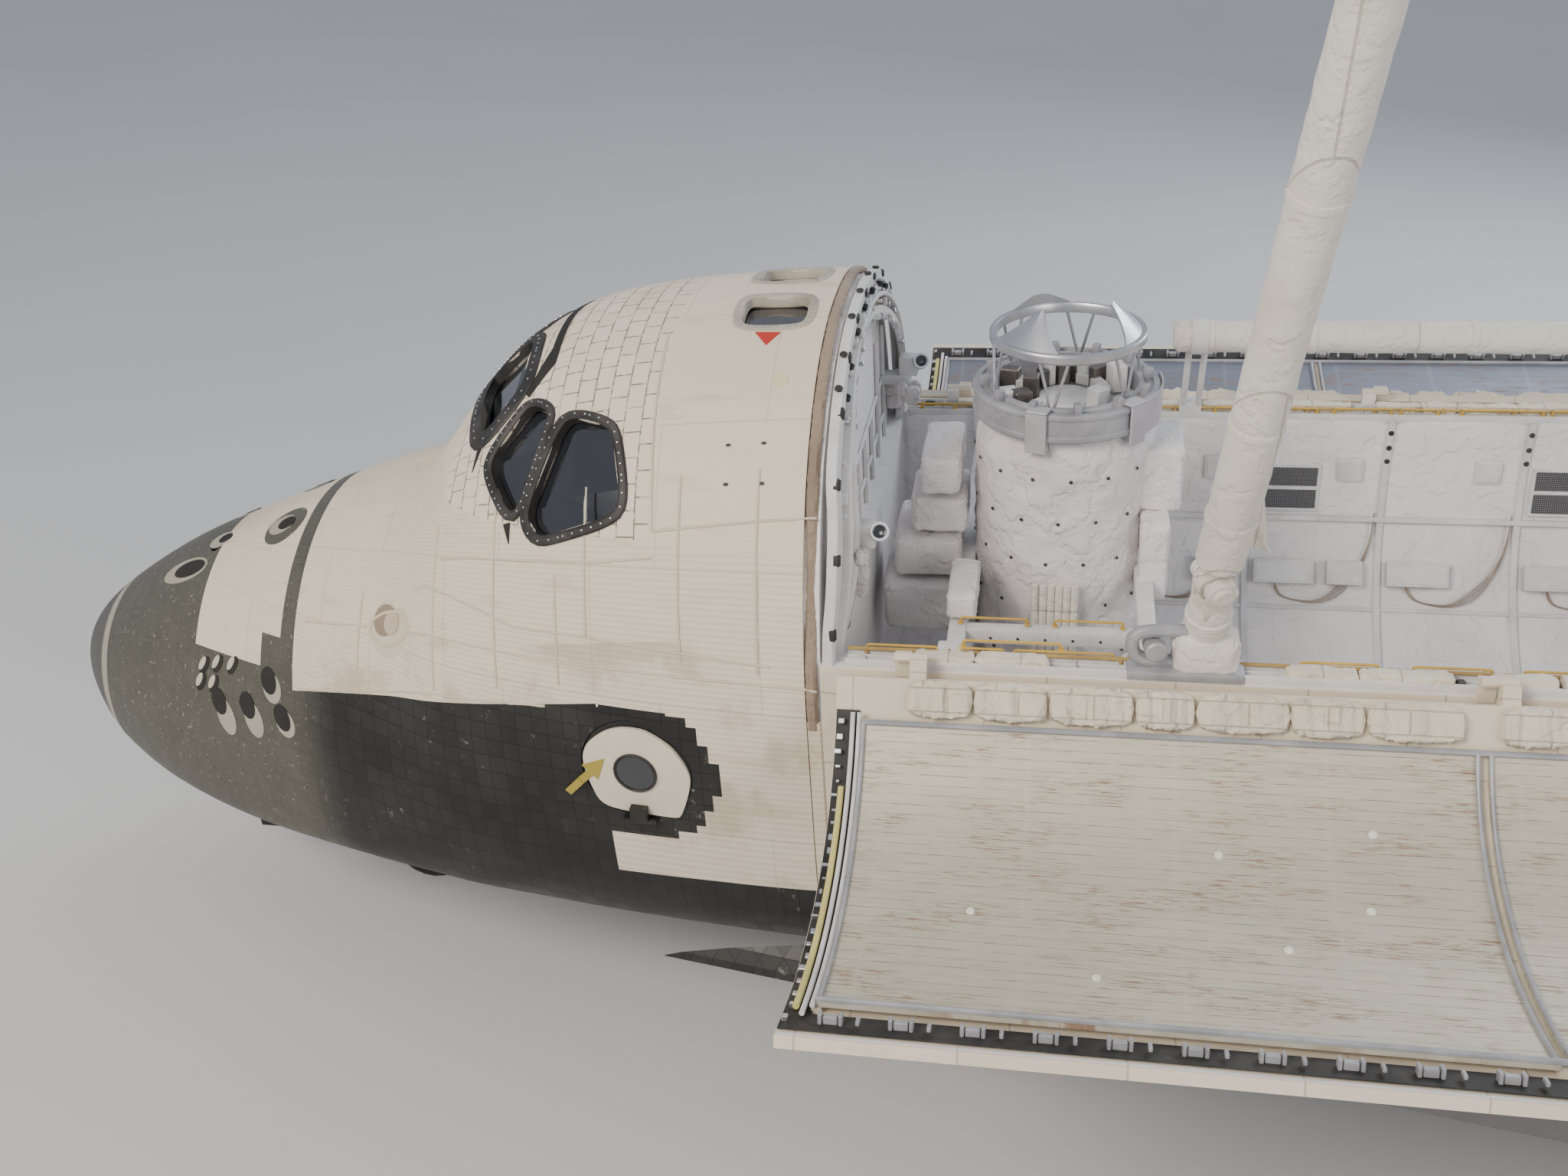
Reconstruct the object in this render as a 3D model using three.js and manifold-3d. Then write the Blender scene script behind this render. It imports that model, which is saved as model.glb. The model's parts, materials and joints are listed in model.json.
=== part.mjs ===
// A winged space shuttle orbiter, parked on its landing gear.
// Stations are in inches, as on the real vehicle: x runs aft from ahead of the nose, y to starboard, z up.
// The vehicle group turns them into millimetres, level on its wheels.
import * as THREE from 'three';
import { mergeVertices } from 'three/addons/utils/BufferGeometryUtils.js';
import Module from 'manifold-3d';

const wasm = await Module();
wasm.setup();
const rad = THREE.MathUtils.degToRad;

// Driving dimensions
const INCH = 25.4;
const NOSE_DOWN = 4.25; // parked attitude in degrees
const GAP = 0.016; // between pieces that rest on each other
const SLIT = 0.3; // between a moving edge and what it passes
const CABIN_END = 571;
const BAY_FRONT = 582;
const BAY_END = 1302;
const AFT_START = 1307;
const AFT_END = 1516;
const SILL = 414;
const BAY_HALF = 94;
const BAY_CENTRE = 400;
const HINGE = { y: 105.6, z: 420.5, r: 1.5 };
const DOOR_OPEN = 157; // degrees from closed
const WALL = 3;
const RING = 32;

// The fuselage's sections: station, top, bottom, half width, height of the widest point,
// and the exponents of the curve above and below it
const HULL = [
  [238.5, 341, 335, 3, 338, 2.0, 2.0],
  [243, 353, 322, 14, 338, 2.0, 2.0],
  [252, 364, 311, 26, 336, 2.0, 2.1],
  [268, 376, 301, 40, 333, 2.0, 2.3],
  [300, 394, 291, 57, 328, 2.0, 2.5],
  [340, 410, 285, 71, 325, 2.0, 2.7],
  [390, 428, 281, 84, 327, 2.0, 2.9],
  [415, 436, 279, 90, 331, 2.0, 3.0],
  [436, 461, 277, 94, 336, 2.0, 3.2],
  [460, 483, 275, 97, 344, 2.0, 3.4],
  [490, 496, 273, 100, 354, 2.1, 3.7],
  [525, 500, 272, 103, 368, 2.2, 4.1],
  [CABIN_END, 501, 271, 105, 385, 2.3, 4.6],
  [BAY_FRONT, 501, 271, 105, 400, 2.3, 5.0],
  [AFT_START, 501, 267, 105, 420.5, 2.3, 7.0],
  [1420, 501, 272, 110, 420.5, 2.3, 7.0],
  [AFT_END, 499, 280, 112, 420.5, 2.3, 7.0],
].map(([x, top, bottom, half, wide, above, below]) => ({ x, top, bottom, half, wide, above, below }));

const MATERIALS = {
  white_tile: [0xe6e0d2, 0.75, 0],
  white_blanket: [0xe2dccb, 0.9, 0],
  black_tile: [0x1c1c1e, 0.7, 0],
  carbon: [0x3c3d40, 0.55, 0.1],
  glass: [0x20242a, 0.1, 0],
  grey_metal: [0x9a9c9e, 0.4, 0.7],
  dark_metal: [0x4a4a4c, 0.45, 0.7],
  radiator: [0xb9bbbd, 0.3, 0.6],
  liner: [0xe9e8e4, 0.9, 0],
  tyre: [0x1b1b1b, 0.85, 0],
  cabin: [0x6b6258, 0.8, 0],
};

// Solids
function solid(geometry) {
  const bare = geometry.clone();
  for (const name of Object.keys(bare.attributes)) {
    if (name !== 'position') bare.deleteAttribute(name);
  }
  const merged = mergeVertices(bare, 1e-4);
  const mesh = new wasm.Mesh({
    numProp: 3,
    vertProperties: new Float32Array(merged.attributes.position.array),
    triVerts: new Uint32Array(merged.index.array),
  });
  return new wasm.Manifold(mesh);
}

function box(low, high) {
  const size = high.map((v, i) => v - low[i]);
  const geometry = new THREE.BoxGeometry(...size);
  geometry.translate(...low.map((v, i) => v + size[i] / 2));
  return solid(geometry);
}

// An outline pushed along an axis: points are (y, z) along x, (x, z) along y, or (x, y) along z
function prism(points, axis, from, to) {
  const shape = new THREE.Shape(points.map(([a, b]) => new THREE.Vector2(a, b)));
  const geometry = new THREE.ExtrudeGeometry(shape, { depth: to - from, bevelEnabled: false, steps: 1 });
  const e = { x: new THREE.Vector3(1, 0, 0), y: new THREE.Vector3(0, 1, 0), z: new THREE.Vector3(0, 0, 1) };
  const m = new THREE.Matrix4();
  if (axis === 'x') m.makeBasis(e.y, e.z, e.x);
  if (axis === 'y') m.makeBasis(e.x, e.z, e.y.clone().negate());
  geometry.applyMatrix4(m);
  const start = axis === 'y' ? -to : from;
  geometry.translate(...(axis === 'x' ? [start, 0, 0] : axis === 'y' ? [0, -start, 0] : [0, 0, start]));
  return solid(geometry);
}

// A profile of [radius, height] turned about a line from base towards tip
function turned(profile, base, tip, segments = 24, start = 0) {
  const geometry = new THREE.LatheGeometry(profile.map(([r, h]) => new THREE.Vector2(r, h)), segments, start);
  const direction = new THREE.Vector3(...tip).sub(new THREE.Vector3(...base)).normalize();
  geometry.applyQuaternion(new THREE.Quaternion().setFromUnitVectors(new THREE.Vector3(0, 1, 0), direction));
  geometry.translate(...base);
  return solid(geometry);
}

function rod(from, to, radius, segments = 16, endRadius = radius) {
  const length = new THREE.Vector3(...to).distanceTo(new THREE.Vector3(...from));
  return turned([[0, 0], [radius, 0], [endRadius, length], [0, length]], from, to, segments);
}

// The room for a turning pin: its flats lie a gap off the pin's corners, wherever the pin has turned to
function bore(from, to, radius, segments = 16, endRadius = radius) {
  const length = new THREE.Vector3(...to).distanceTo(new THREE.Vector3(...from));
  const [a, b] = [radius, endRadius].map((r) => (r + GAP) / Math.cos(Math.PI / segments));
  return turned([[0, 0], [a, 0], [b, length], [0, length]], from, to, segments, Math.PI / segments);
}

// A closed skin through rings of points, with a flat fan at each end
function loft(rings) {
  const n = rings[0].length;
  const vertices = rings.flat().flat();
  const triangles = [];
  for (let i = 0; i + 1 < rings.length; i++) {
    for (let j = 0; j < n; j++) {
      const a = i * n + j;
      const b = i * n + ((j + 1) % n);
      triangles.push(a, b, b + n, a, b + n, a + n);
    }
  }
  const first = vertices.length / 3;
  for (const [index, ring] of [[0, rings[0]], [rings.length - 1, rings.at(-1)]]) {
    const middle = [0, 1, 2].map((k) => ring.reduce((sum, p) => sum + p[k], 0) / n);
    const centre = first + (index ? 1 : 0);
    vertices.push(...middle);
    for (let j = 0; j < n; j++) {
      const a = index * n + j;
      const b = index * n + ((j + 1) % n);
      triangles.push(...(index ? [a, b, centre] : [b, a, centre]));
    }
  }
  const geometry = new THREE.BufferGeometry();
  geometry.setAttribute('position', new THREE.BufferAttribute(new Float32Array(vertices), 3));
  geometry.setIndex(triangles);
  let body = solid(geometry);
  if (body.volume() < 0) {
    for (let k = 0; k < triangles.length; k += 3) {
      [triangles[k], triangles[k + 1]] = [triangles[k + 1], triangles[k]];
    }
    geometry.setIndex(triangles);
    body = solid(geometry);
  }
  return body;
}

function join(...solids) {
  return solids.flat().reduce((sum, s) => sum.add(s));
}

function cut(body, ...tools) {
  return tools.flat().reduce((rest, tool) => rest.subtract(tool), body);
}

// The same solid on the other side of the middle plane
function mirrored(body) {
  const { vertProperties, triVerts, numProp } = body.getMesh();
  const vertices = new Float32Array((vertProperties.length / numProp) * 3);
  for (let i = 0; i < vertices.length / 3; i++) {
    vertices[3 * i] = vertProperties[numProp * i];
    vertices[3 * i + 1] = -vertProperties[numProp * i + 1];
    vertices[3 * i + 2] = vertProperties[numProp * i + 2];
  }
  const triangles = new Uint32Array(triVerts);
  for (let i = 0; i < triangles.length; i += 3) {
    [triangles[i], triangles[i + 1]] = [triangles[i + 1], triangles[i]];
  }
  return new wasm.Manifold(new wasm.Mesh({ numProp: 3, vertProperties: vertices, triVerts: triangles }));
}

function named(name, body, material, parent) {
  const { vertProperties, triVerts } = body.getMesh();
  const geometry = new THREE.BufferGeometry();
  geometry.setAttribute('position', new THREE.BufferAttribute(new Float32Array(vertProperties), 3));
  geometry.setIndex(new THREE.BufferAttribute(new Uint32Array(triVerts), 1));
  geometry.computeVertexNormals();
  const [color, roughness, metalness] = MATERIALS[material];
  const mesh = new THREE.Mesh(geometry, new THREE.MeshStandardMaterial({ color, roughness, metalness }));
  mesh.name = name;
  parent.add(mesh);
}

const vehicle = new THREE.Group();
const SIDES = [['port', -1], ['starboard', 1]];

// One side's solid is drawn to starboard and mirrored to port
function pair(name, body, material, parent = vehicle) {
  named(`starboard_${name}`, body, material, parent);
  named(`port_${name}`, mirrored(body), material, parent);
}

// A table's row at a station, between its nearest rows
function rowAt(table, key, value) {
  const i = Math.max(table.slice(0, -1).findIndex((s) => s[key] >= value), 1);
  const k = value > table.at(-2)[key] ? table.length - 1 : i;
  const [a, b] = [table[k - 1], table[k]];
  const t = THREE.MathUtils.clamp((value - a[key]) / (b[key] - a[key]), 0, 1);
  return Object.fromEntries(Object.keys(a).map((name) => [name, a[name] + (b[name] - a[name]) * t]));
}

// Fuselage skin
const sectionAt = (x) => rowAt(HULL, 'x', x);

function hullRing(x, inset = 0, count = RING) {
  const s = sectionAt(x);
  const ring = [];
  for (let i = 0; i < count; i++) {
    const angle = (2 * Math.PI * i) / count;
    const [c, w] = [Math.cos(angle), Math.sin(angle)];
    const power = 2 / (w >= 0 ? s.above : s.below);
    const rise = w >= 0 ? s.top - inset - s.wide : s.wide - s.bottom - inset;
    const y = (s.half - inset) * Math.sign(c) * Math.abs(c) ** power;
    const z = s.wide + rise * Math.sign(w) * Math.abs(w) ** power;
    ring.push([x, y, z]);
  }
  return ring;
}

function hull(from, to, inset = 0) {
  const stations = [from, ...HULL.map((s) => s.x).filter((x) => x > from + 1 && x < to - 1), to];
  return loft(stations.map((x) => hullRing(x, inset)));
}

// Nose
const CAP_END = 268;
const RCS = { from: CAP_END + GAP, to: 370, floor: 346 };
named('nose_cap', hull(238.5, CAP_END), 'carbon', vehicle);

const noseBlock = box([RCS.from, -120, RCS.floor], [RCS.to, 120, 460]);
// Thruster ports: station, side, height, and the way each points
const PORTS = [
  [334, -63, 359, 0, -1, 0],
  [348, -67, 361, 0, -1, 0],
  [360, -67, 371, 0, -1, 0.2],
  [366, -71, 359, 0, -1, 0],
  [353, -17, 412, 0, 0, 1],
  [319, -14, 399, 0, 0, 1],
].map(([x, y, z, dx, dy, dz]) => ({ at: [x, y, z], way: [dx, dy, dz] }));

function portCuts() {
  return PORTS.map(({ at, way }) => {
    const inner = at.map((v, i) => v - 5 * way[i]);
    const outer = at.map((v, i) => v + 12 * way[i]);
    return rod(inner, outer, 3.4, 8);
  });
}

const rcsPorts = portCuts();
const rcsBody = hull(RCS.from, RCS.to).intersect(noseBlock);
named('forward_rcs_module', cut(rcsBody, rcsPorts, rcsPorts.map(mirrored)), 'white_tile', vehicle);

// Windows: the corners of each pane on the port side, on the hull
const PANES = {
  side: [
    [486.6, -52.8, 475],
    [504.3, -59.8, 474.6],
    [510.3, -78.8, 453.5],
    [479.8, -76.8, 441.9],
    [474.6, -71.4, 447.2],
  ],
  middle: [[470.5, -43, 474.5], [480.4, -49.5, 474.6], [469.5, -71, 444.5], [456.5, -54, 457]],
  front: [[462, -5, 484.5], [465.5, -33, 477], [450.5, -43, 460.5], [442, -5, 467]],
};
const OVERHEAD = [[541, -8, 500], [563, -8, 500], [564, -28, 498], [542, -28, 498]];

// A pane's outline pushed through the wall, square to the pane
function paneCut(corners, depth) {
  const points = corners.map((c) => new THREE.Vector3(...c));
  const middle = points.reduce((sum, p) => sum.add(p.clone().divideScalar(points.length)), new THREE.Vector3());
  const normal = new THREE.Vector3();
  points.forEach((p, i) => {
    const q = points[(i + 1) % points.length];
    normal.add(new THREE.Vector3().crossVectors(p.clone().sub(middle), q.clone().sub(middle)));
  });
  normal.normalize().multiplyScalar(depth);
  return loft([-1, 1].map((k) => points.map((p) => p.clone().addScaledVector(normal, k).toArray())));
}

const windowCuts = [...Object.values(PANES), OVERHEAD].map((pane) => paneCut(pane, 9));

// The round crew door in the port side
const HATCH = { x: 511, z: 367.5, radius: 19.5, flat: 350, outer: 104.8 };
function hatchDisc(radius, flat) {
  const disc = rod([HATCH.x, -120, HATCH.z], [HATCH.x, -80, HATCH.z], radius, 28);
  return disc.intersect(box([400, -200, flat], [700, 0, 500]));
}

// Nose wheel well, cabin and the shell round them
const NOSE_WELL = { from: 304, to: 392, half: 20, top: 328 };
const CABIN_FRONT = 400;
const cabinRoom = hull(CABIN_FRONT, CABIN_END + 10, WALL);
const noseWell = box([NOSE_WELL.from, -NOSE_WELL.half, 200], [NOSE_WELL.to, NOSE_WELL.half, NOSE_WELL.top]);
const rcsSeat = box([RCS.from - 1, -121, RCS.floor - GAP], [RCS.to + GAP, 121, 461]);
const forwardShell = cut(
  hull(RCS.from, CABIN_END),
  rcsSeat,
  cabinRoom,
  noseWell,
  windowCuts,
  windowCuts.map(mirrored),
  hatchDisc(HATCH.radius + SLIT, HATCH.flat - SLIT),
);
const hatchHingeZ = HATCH.flat - 1.6;
const hatchLugs = [-1, 1].flatMap((k) => {
  const [from, to] = [k * (3 + GAP), k * 6].sort((a, b) => a - b).map((v) => HATCH.x + v);
  return [
    rod([from, -HATCH.outer, hatchHingeZ], [to, -HATCH.outer, hatchHingeZ], 0.8, 8),
    box([from, -HATCH.outer, hatchHingeZ - 0.7], [to, -HATCH.outer + 4.6, hatchHingeZ + 0.7]),
  ];
});
// The shell is made in three parts: the underside of the nose, and the cabin's lower and upper halves
const CABIN_SPLIT = { x: 398, z: 412 };
const [splitX, splitZ] = [CABIN_SPLIT.x, CABIN_SPLIT.z];
const shellPart = (low, high) => forwardShell.intersect(box(low, high));
named('nose_underside', shellPart([200, -150, 200], [splitX - GAP, 150, 600]), 'white_blanket', vehicle);
const lowerCabin = shellPart([splitX, -150, 200], [700, 150, splitZ - GAP]);
named('lower_forward_fuselage', join(lowerCabin, hatchLugs), 'white_blanket', vehicle);
named('upper_forward_fuselage', shellPart([splitX, -150, splitZ], [700, 150, 600]), 'white_blanket', vehicle);

const wallSkin = hull(CABIN_FRONT, CABIN_END).subtract(cabinRoom);
const [hingeFrom, hingeTo] = [HATCH.x - 3, HATCH.x + 3];
const hatchHinge = rod([hingeFrom, -HATCH.outer, hatchHingeZ], [hingeTo, -HATCH.outer, hatchHingeZ], 0.8, 8);
const hatchArm = box([hingeFrom, -HATCH.outer - 0.8, hatchHingeZ], [hingeTo, -HATCH.outer + 3, HATCH.flat + 4]);
const crewHatch = join(wallSkin.intersect(hatchDisc(HATCH.radius, HATCH.flat)), hatchHinge, hatchArm);
named('crew_hatch', crewHatch, 'white_tile', vehicle);

// Glass close behind the window openings
function innerSkin(inset, thick, low, high) {
  const skin = hull(CABIN_FRONT + 5, CABIN_END, inset).subtract(hull(CABIN_FRONT, CABIN_END + 1, inset + thick));
  return skin.intersect(box(low, high));
}
named('windshield_glass', innerSkin(WALL + GAP, 1, [436, -90, 439], [514, 90, 520]), 'glass', vehicle);
named('overhead_glass', innerSkin(WALL + GAP, 1, [537, -32, 480], [567, 32, 520]), 'glass', vehicle);

// The bulkhead at the cabin's end, with two windows over the bay
const BULKHEAD = { from: CABIN_END + GAP, to: CABIN_END + 5, inset: 2 };
const aftPane = { low: 7, high: 21, bottom: 470, top: 482 };
const aftWindows = [-1, 1].map((side) => {
  const y = [side * aftPane.low, side * aftPane.high].sort((a, b) => a - b);
  return box([560, y[0], aftPane.bottom], [590, y[1], aftPane.top]);
});
const bulkheadSlab = hull(BULKHEAD.from, BULKHEAD.to, BULKHEAD.inset);
named('forward_bulkhead', cut(bulkheadSlab, aftWindows), 'white_blanket', vehicle);
const aftGlass = box([CABIN_END - 1.2, -24, 467], [CABIN_END - GAP, 24, 485]);
named('aft_glass', aftGlass, 'glass', vehicle);

// Flight deck seen through the windows: floor, two seats and the panel ahead of them
const DECK = { floor: 418, from: 420, to: 566, half: 84 };
function seat(side) {
  return join(
    box([478, side * 22 - 10, DECK.floor], [498, side * 22 + 10, DECK.floor + 16]),
    box([494, side * 22 - 10, DECK.floor + 14], [500, side * 22 + 10, DECK.floor + 46]),
  );
}
const deckFloor = box([DECK.from, -DECK.half, DECK.floor - 4], [DECK.to, DECK.half, DECK.floor]);
const deckPanel = box([450, -50, DECK.floor - 1], [460, 50, DECK.floor + 30]);
const deckRoom = hull(CABIN_FRONT, CABIN_END - 2, WALL + GAP);
const deck = join(deckFloor, deckPanel, seat(-1), seat(1)).intersect(deckRoom);
named('flight_deck', deck, 'cabin', vehicle);

// Payload bay and the mid fuselage round it
function bayOutline(radius, top) {
  const points = [[-radius, top]];
  for (let i = 0; i <= 16; i++) {
    const a = Math.PI + (Math.PI * i) / 16;
    points.push([radius * Math.cos(a), BAY_CENTRE + radius * Math.sin(a)]);
  }
  points.push([radius, top]);
  return points;
}
const lowerHalf = box([500, -200, 200], [1400, 200, SILL]);
const midShell = hull(BULKHEAD.to + GAP, AFT_START).intersect(lowerHalf);
const bayRoom = prism(bayOutline(BAY_HALF, 600), 'x', BAY_FRONT, BAY_END);

// Door hinges along the sill: lugs on the fuselage, knuckles on the door
const HINGES = [600, 768, 936, 1104, 1272];
const LUG = { long: 5, thick: 3 };
function hingeLugs() {
  return HINGES.flatMap((x) => [
    rod([x, HINGE.y, HINGE.z], [x + LUG.long, HINGE.y, HINGE.z], HINGE.r, 8),
    box([x, HINGE.y - 3.4, SILL - 1], [x + LUG.long, HINGE.y - 0.7, HINGE.z]),
  ]);
}

// The arm's low cradles along the port sill, under the line that the arm takes at its lowest
const SHOULDER = { x: 692.2, y: -103, z: 449.6 };
const TILT = 19.2; // the arm's stand leans this far outboard
const CRADLES = [[911, 424], [1189, 420], [1256, 419]].map(([x, top]) => ({ x, top }));
const cradles = CRADLES.map(({ x, top }) => box([x - 5, -104, SILL - 1], [x + 5, -96, top]));
const lugs = hingeLugs();
const mid = join(cut(midShell, bayRoom), lugs, lugs.map(mirrored), cradles);
named('mid_fuselage', mid, 'liner', vehicle);

// Payload bay doors, drawn closed to starboard and swung open about the hinge line
const DOOR = { from: BAY_FRONT + 1, to: AFT_START - 1, thick: 3.4, power: 2.3, half: 105, rise: 80 };
function doorArc(inset, startAngle = 0, endAngle = 90, count = 10) {
  const points = [];
  for (let i = 0; i <= count; i++) {
    const t = rad(startAngle + ((endAngle - startAngle) * i) / count);
    const y = (DOOR.half - inset) * Math.cos(t) ** (2 / DOOR.power);
    const z = HINGE.z + (DOOR.rise - inset) * Math.sin(t) ** (2 / DOOR.power);
    points.push([y, z]);
  }
  return points;
}
const DOOR_EDGE = 3; // degrees of arc left free at the hinge
function doorSheet(outer, inner, from, to, start, end) {
  const outline = [...doorArc(outer, start, end), ...doorArc(inner, start, end).reverse()];
  return prism(outline, 'x', from, to);
}
const MEET = 89.7; // the doors stop just short of the middle
const doorSkin = doorSheet(0, DOOR.thick, DOOR.from, DOOR.to, DOOR_EDGE, MEET);
const RIB = { thick: 2.5 };
const PANELS = 4;
const RADIATOR = { from: 591.4, to: 1297, depth: 5.2, thick: 1.6, start: 11, end: 84 };
const panelLength = (RADIATOR.to - RADIATOR.from) / PANELS;
const ribs = [];
for (let i = 0; i <= PANELS; i++) {
  const x = RADIATOR.from + i * panelLength;
  const [from, to] = [x - RIB.thick / 2, x + RIB.thick / 2];
  const rib = doorSheet(2, RADIATOR.depth + 1, from, to, RADIATOR.start + 0.2, RADIATOR.end - 0.2);
  ribs.push(rib.subtract(doorSheet(RADIATOR.depth - GAP, 20, x - 5, x + 5, RADIATOR.start, RADIATOR.end)));
}
const knuckles = HINGES.flatMap((x) => {
  const from = x + LUG.long + GAP;
  return [
    rod([from, HINGE.y, HINGE.z], [from + LUG.long, HINGE.y, HINGE.z], HINGE.r, 8),
    box([from, HINGE.y - 3.6, HINGE.z + 0.2], [from + LUG.long, HINGE.y + 0.8, HINGE.z + 7]),
  ];
});
const door = join(doorSkin, ribs, knuckles);
const radiator = doorSheet(
  RADIATOR.depth,
  RADIATOR.depth + RADIATOR.thick,
  RADIATOR.from,
  RADIATOR.to,
  RADIATOR.start,
  RADIATOR.end,
);

function swung(side) {
  const swing = new THREE.Group();
  swing.position.set(0, side * HINGE.y, HINGE.z);
  swing.rotation.x = -side * rad(DOOR_OPEN);
  const inner = new THREE.Group();
  inner.position.set(0, -side * HINGE.y, -HINGE.z);
  swing.add(inner);
  vehicle.add(swing);
  return inner;
}
for (const [name, side] of SIDES) {
  const leaf = swung(side);
  named(`${name}_bay_door`, side > 0 ? door : mirrored(door), 'white_blanket', leaf);
  named(`${name}_radiators`, side > 0 ? radiator : mirrored(radiator), 'radiator', leaf);
}

// Aft fuselage
const aftBody = (grow = 0) => hull(AFT_START + GAP - grow, AFT_END + grow, -grow);

// Wings: trapezoid with a long glove ahead of it
const WING = { root: 105, tip: 468, hinge: 1387, kink: 190, noseX: 860, tail: 1549, tailSweep: 0.1773 };
const gloveSweep = Math.tan(rad(81));
const leading = (y) => WING.noseX + (y >= WING.kink ? y : WING.kink - (WING.kink - y) * gloveSweep);
const trailing = (y) => WING.tail - WING.tailSweep * y;

// Span station, thickness, height of the lower face, and where along the chord it is thickest
const WING_SECTIONS = [
  [105, 62, 268, 0.64],
  [150, 58, 269, 0.6],
  [190, 52, 271, 0.42],
  [260, 42, 277, 0.4],
  [360, 28, 286, 0.4],
  [450, 16, 294, 0.4],
  [464, 10, 297, 0.4],
  [468, 4, 299, 0.4],
].map(([y, thick, low, peak]) => ({ y, thick, low, peak }));
const CHORD_STEPS = [0, 0.008, 0.03, 0.08, 0.17, 0.32, 0.5, 0.68, 0.84, 1];

const wingAt = (y) => rowAt(WING_SECTIONS, 'y', y);

function thickness(s, share) {
  if (share <= s.peak) return s.thick * Math.sin((Math.PI / 2) * (share / s.peak) ** 0.72);
  return s.thick * (1 - ((share - s.peak) / (1 - s.peak)) ** 1.5) + 0.8;
}

// Upper and lower heights of the wing at a point
function wingFaces(x, y) {
  const s = wingAt(y);
  const share = (x - leading(y)) / (trailing(y) - leading(y));
  const t = Math.max(thickness(s, THREE.MathUtils.clamp(share, 0, 1)), 0.4);
  const middle = s.low + s.thick * 0.3 + 6 * Math.max(share - 0.5, 0);
  return { low: middle - 0.3 * t, high: middle + 0.7 * t };
}

function wingRing(y, toX) {
  const xs = CHORD_STEPS.map((share) => THREE.MathUtils.lerp(leading(y), toX, share));
  const low = xs.map((x) => [x, y, wingFaces(x, y).low]);
  const high = xs.map((x) => [x, y, wingFaces(x, y).high]);
  return [...low, ...high.reverse()];
}

// Hinged flaps: a round nose about the hinge line, tapering to the trailing edge
function hingeAt(y) {
  const f = wingFaces(WING.hinge, y);
  return { z: (f.low + f.high) / 2, r: (f.high - f.low) / 2 };
}

function flapRing(y) {
  const { z, r } = hingeAt(y);
  const ring = [];
  for (let i = 0; i <= 8; i++) {
    const a = Math.PI / 2 + (Math.PI * i) / 8;
    ring.push([WING.hinge + r * Math.cos(a), y, z + r * Math.sin(a)]);
  }
  const end = wingFaces(trailing(y) - 1, y);
  ring.push([trailing(y), y, end.low], [trailing(y), y, end.high]);
  return ring;
}

// A hinge line's fittings: a lug and its pin on the fixed piece, and the room for them in the moving one
const PIN = { r: 1.2, reach: 4, lug: 2.4, side: 0.25 };
function hingeFittings(from, to, shares, noseRadius, back) {
  const a = new THREE.Vector3(...from);
  const b = new THREE.Vector3(...to);
  const along = b.clone().sub(a).normalize();
  const out = { lugs: [], rooms: [] };
  for (const share of shares) {
    const c = a.clone().lerp(b, share);
    const at = (d, v = c) => v.clone().addScaledVector(along, d).toArray();
    const rear = c.clone().add(new THREE.Vector3(...back));
    out.lugs.push(rod(at(-PIN.reach), at(PIN.reach), PIN.r, 12));
    out.lugs.push(rod(at(-PIN.lug / 2), at(PIN.lug / 2), PIN.r * 2, 12));
    const web = [-1, 1].map((k) => {
      const up = new THREE.Vector3().crossVectors(along, new THREE.Vector3(...back)).normalize();
      const side = along.clone().multiplyScalar((k * PIN.lug) / 2);
      const corner = (v, h) => v.clone().add(side).addScaledVector(up, h).toArray();
      return [corner(c, -PIN.r * 2), corner(c, PIN.r * 2), corner(rear, PIN.r * 2), corner(rear, -PIN.r * 2)];
    });
    out.lugs.push(loft(web));
    const half = PIN.lug / 2 + PIN.side;
    out.rooms.push(rod(at(-half), at(half), noseRadius + 0.4, 20));
    out.rooms.push(bore(at(-PIN.reach - 0.2), at(PIN.reach + 0.2), PIN.r, 12));
  }
  return out;
}

const ELEVONS = [
  { name: 'inboard', from: 116, to: 310.4 },
  { name: 'outboard', from: 312, to: 436 },
];
const wingCuts = [];
const wingLugs = [];
const elevons = [];
for (const { name, from, to } of ELEVONS) {
  const [a, b] = [hingeAt(from), hingeAt(to)];
  const start = [WING.hinge, from, a.z];
  const end = [WING.hinge, to, b.z];
  const fit = hingeFittings(start, end, [0.2, 0.8], Math.max(a.r, b.r), [-a.r - 3, 0, 0]);
  wingLugs.push(...fit.lugs);
  wingCuts.push(rod([WING.hinge, from - 0.6, a.z], [WING.hinge, to + 0.6, b.z], a.r + SLIT, 32, b.r + SLIT));
  elevons.push({ name, body: cut(loft([flapRing(from), flapRing(to)]), fit.rooms) });
}

const MAIN_WELL = { from: 1040, to: 1196, inner: 112, outer: 172, top: 306 };
const wingEnd = WING.hinge - 5;
const wingSolid = loft(WING_SECTIONS.map((s) => wingRing(s.y, wingEnd)));
const tipTail = loft([436.6, 450, 464, 468].map((y) => {
  const [front, rear] = [wingEnd - 1, trailing(y)];
  const [a, b] = [wingFaces(front, y), wingFaces(rear, y)];
  return [[front, y, a.low], [rear, y, b.low], [rear, y, b.high], [front, y, a.high]];
}));
const mainWell = box([MAIN_WELL.from, MAIN_WELL.inner, 200], [MAIN_WELL.to, MAIN_WELL.outer, MAIN_WELL.top]);
const fuselageSide = hull(480, AFT_END + 5, -GAP);
const wing = join(cut(wingSolid, wingCuts, mainWell, fuselageSide), wingLugs, tipTail);
pair('wing', wing, 'white_tile');
for (const { name, body } of elevons) pair(`${name}_elevon`, body, 'black_tile');

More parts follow.
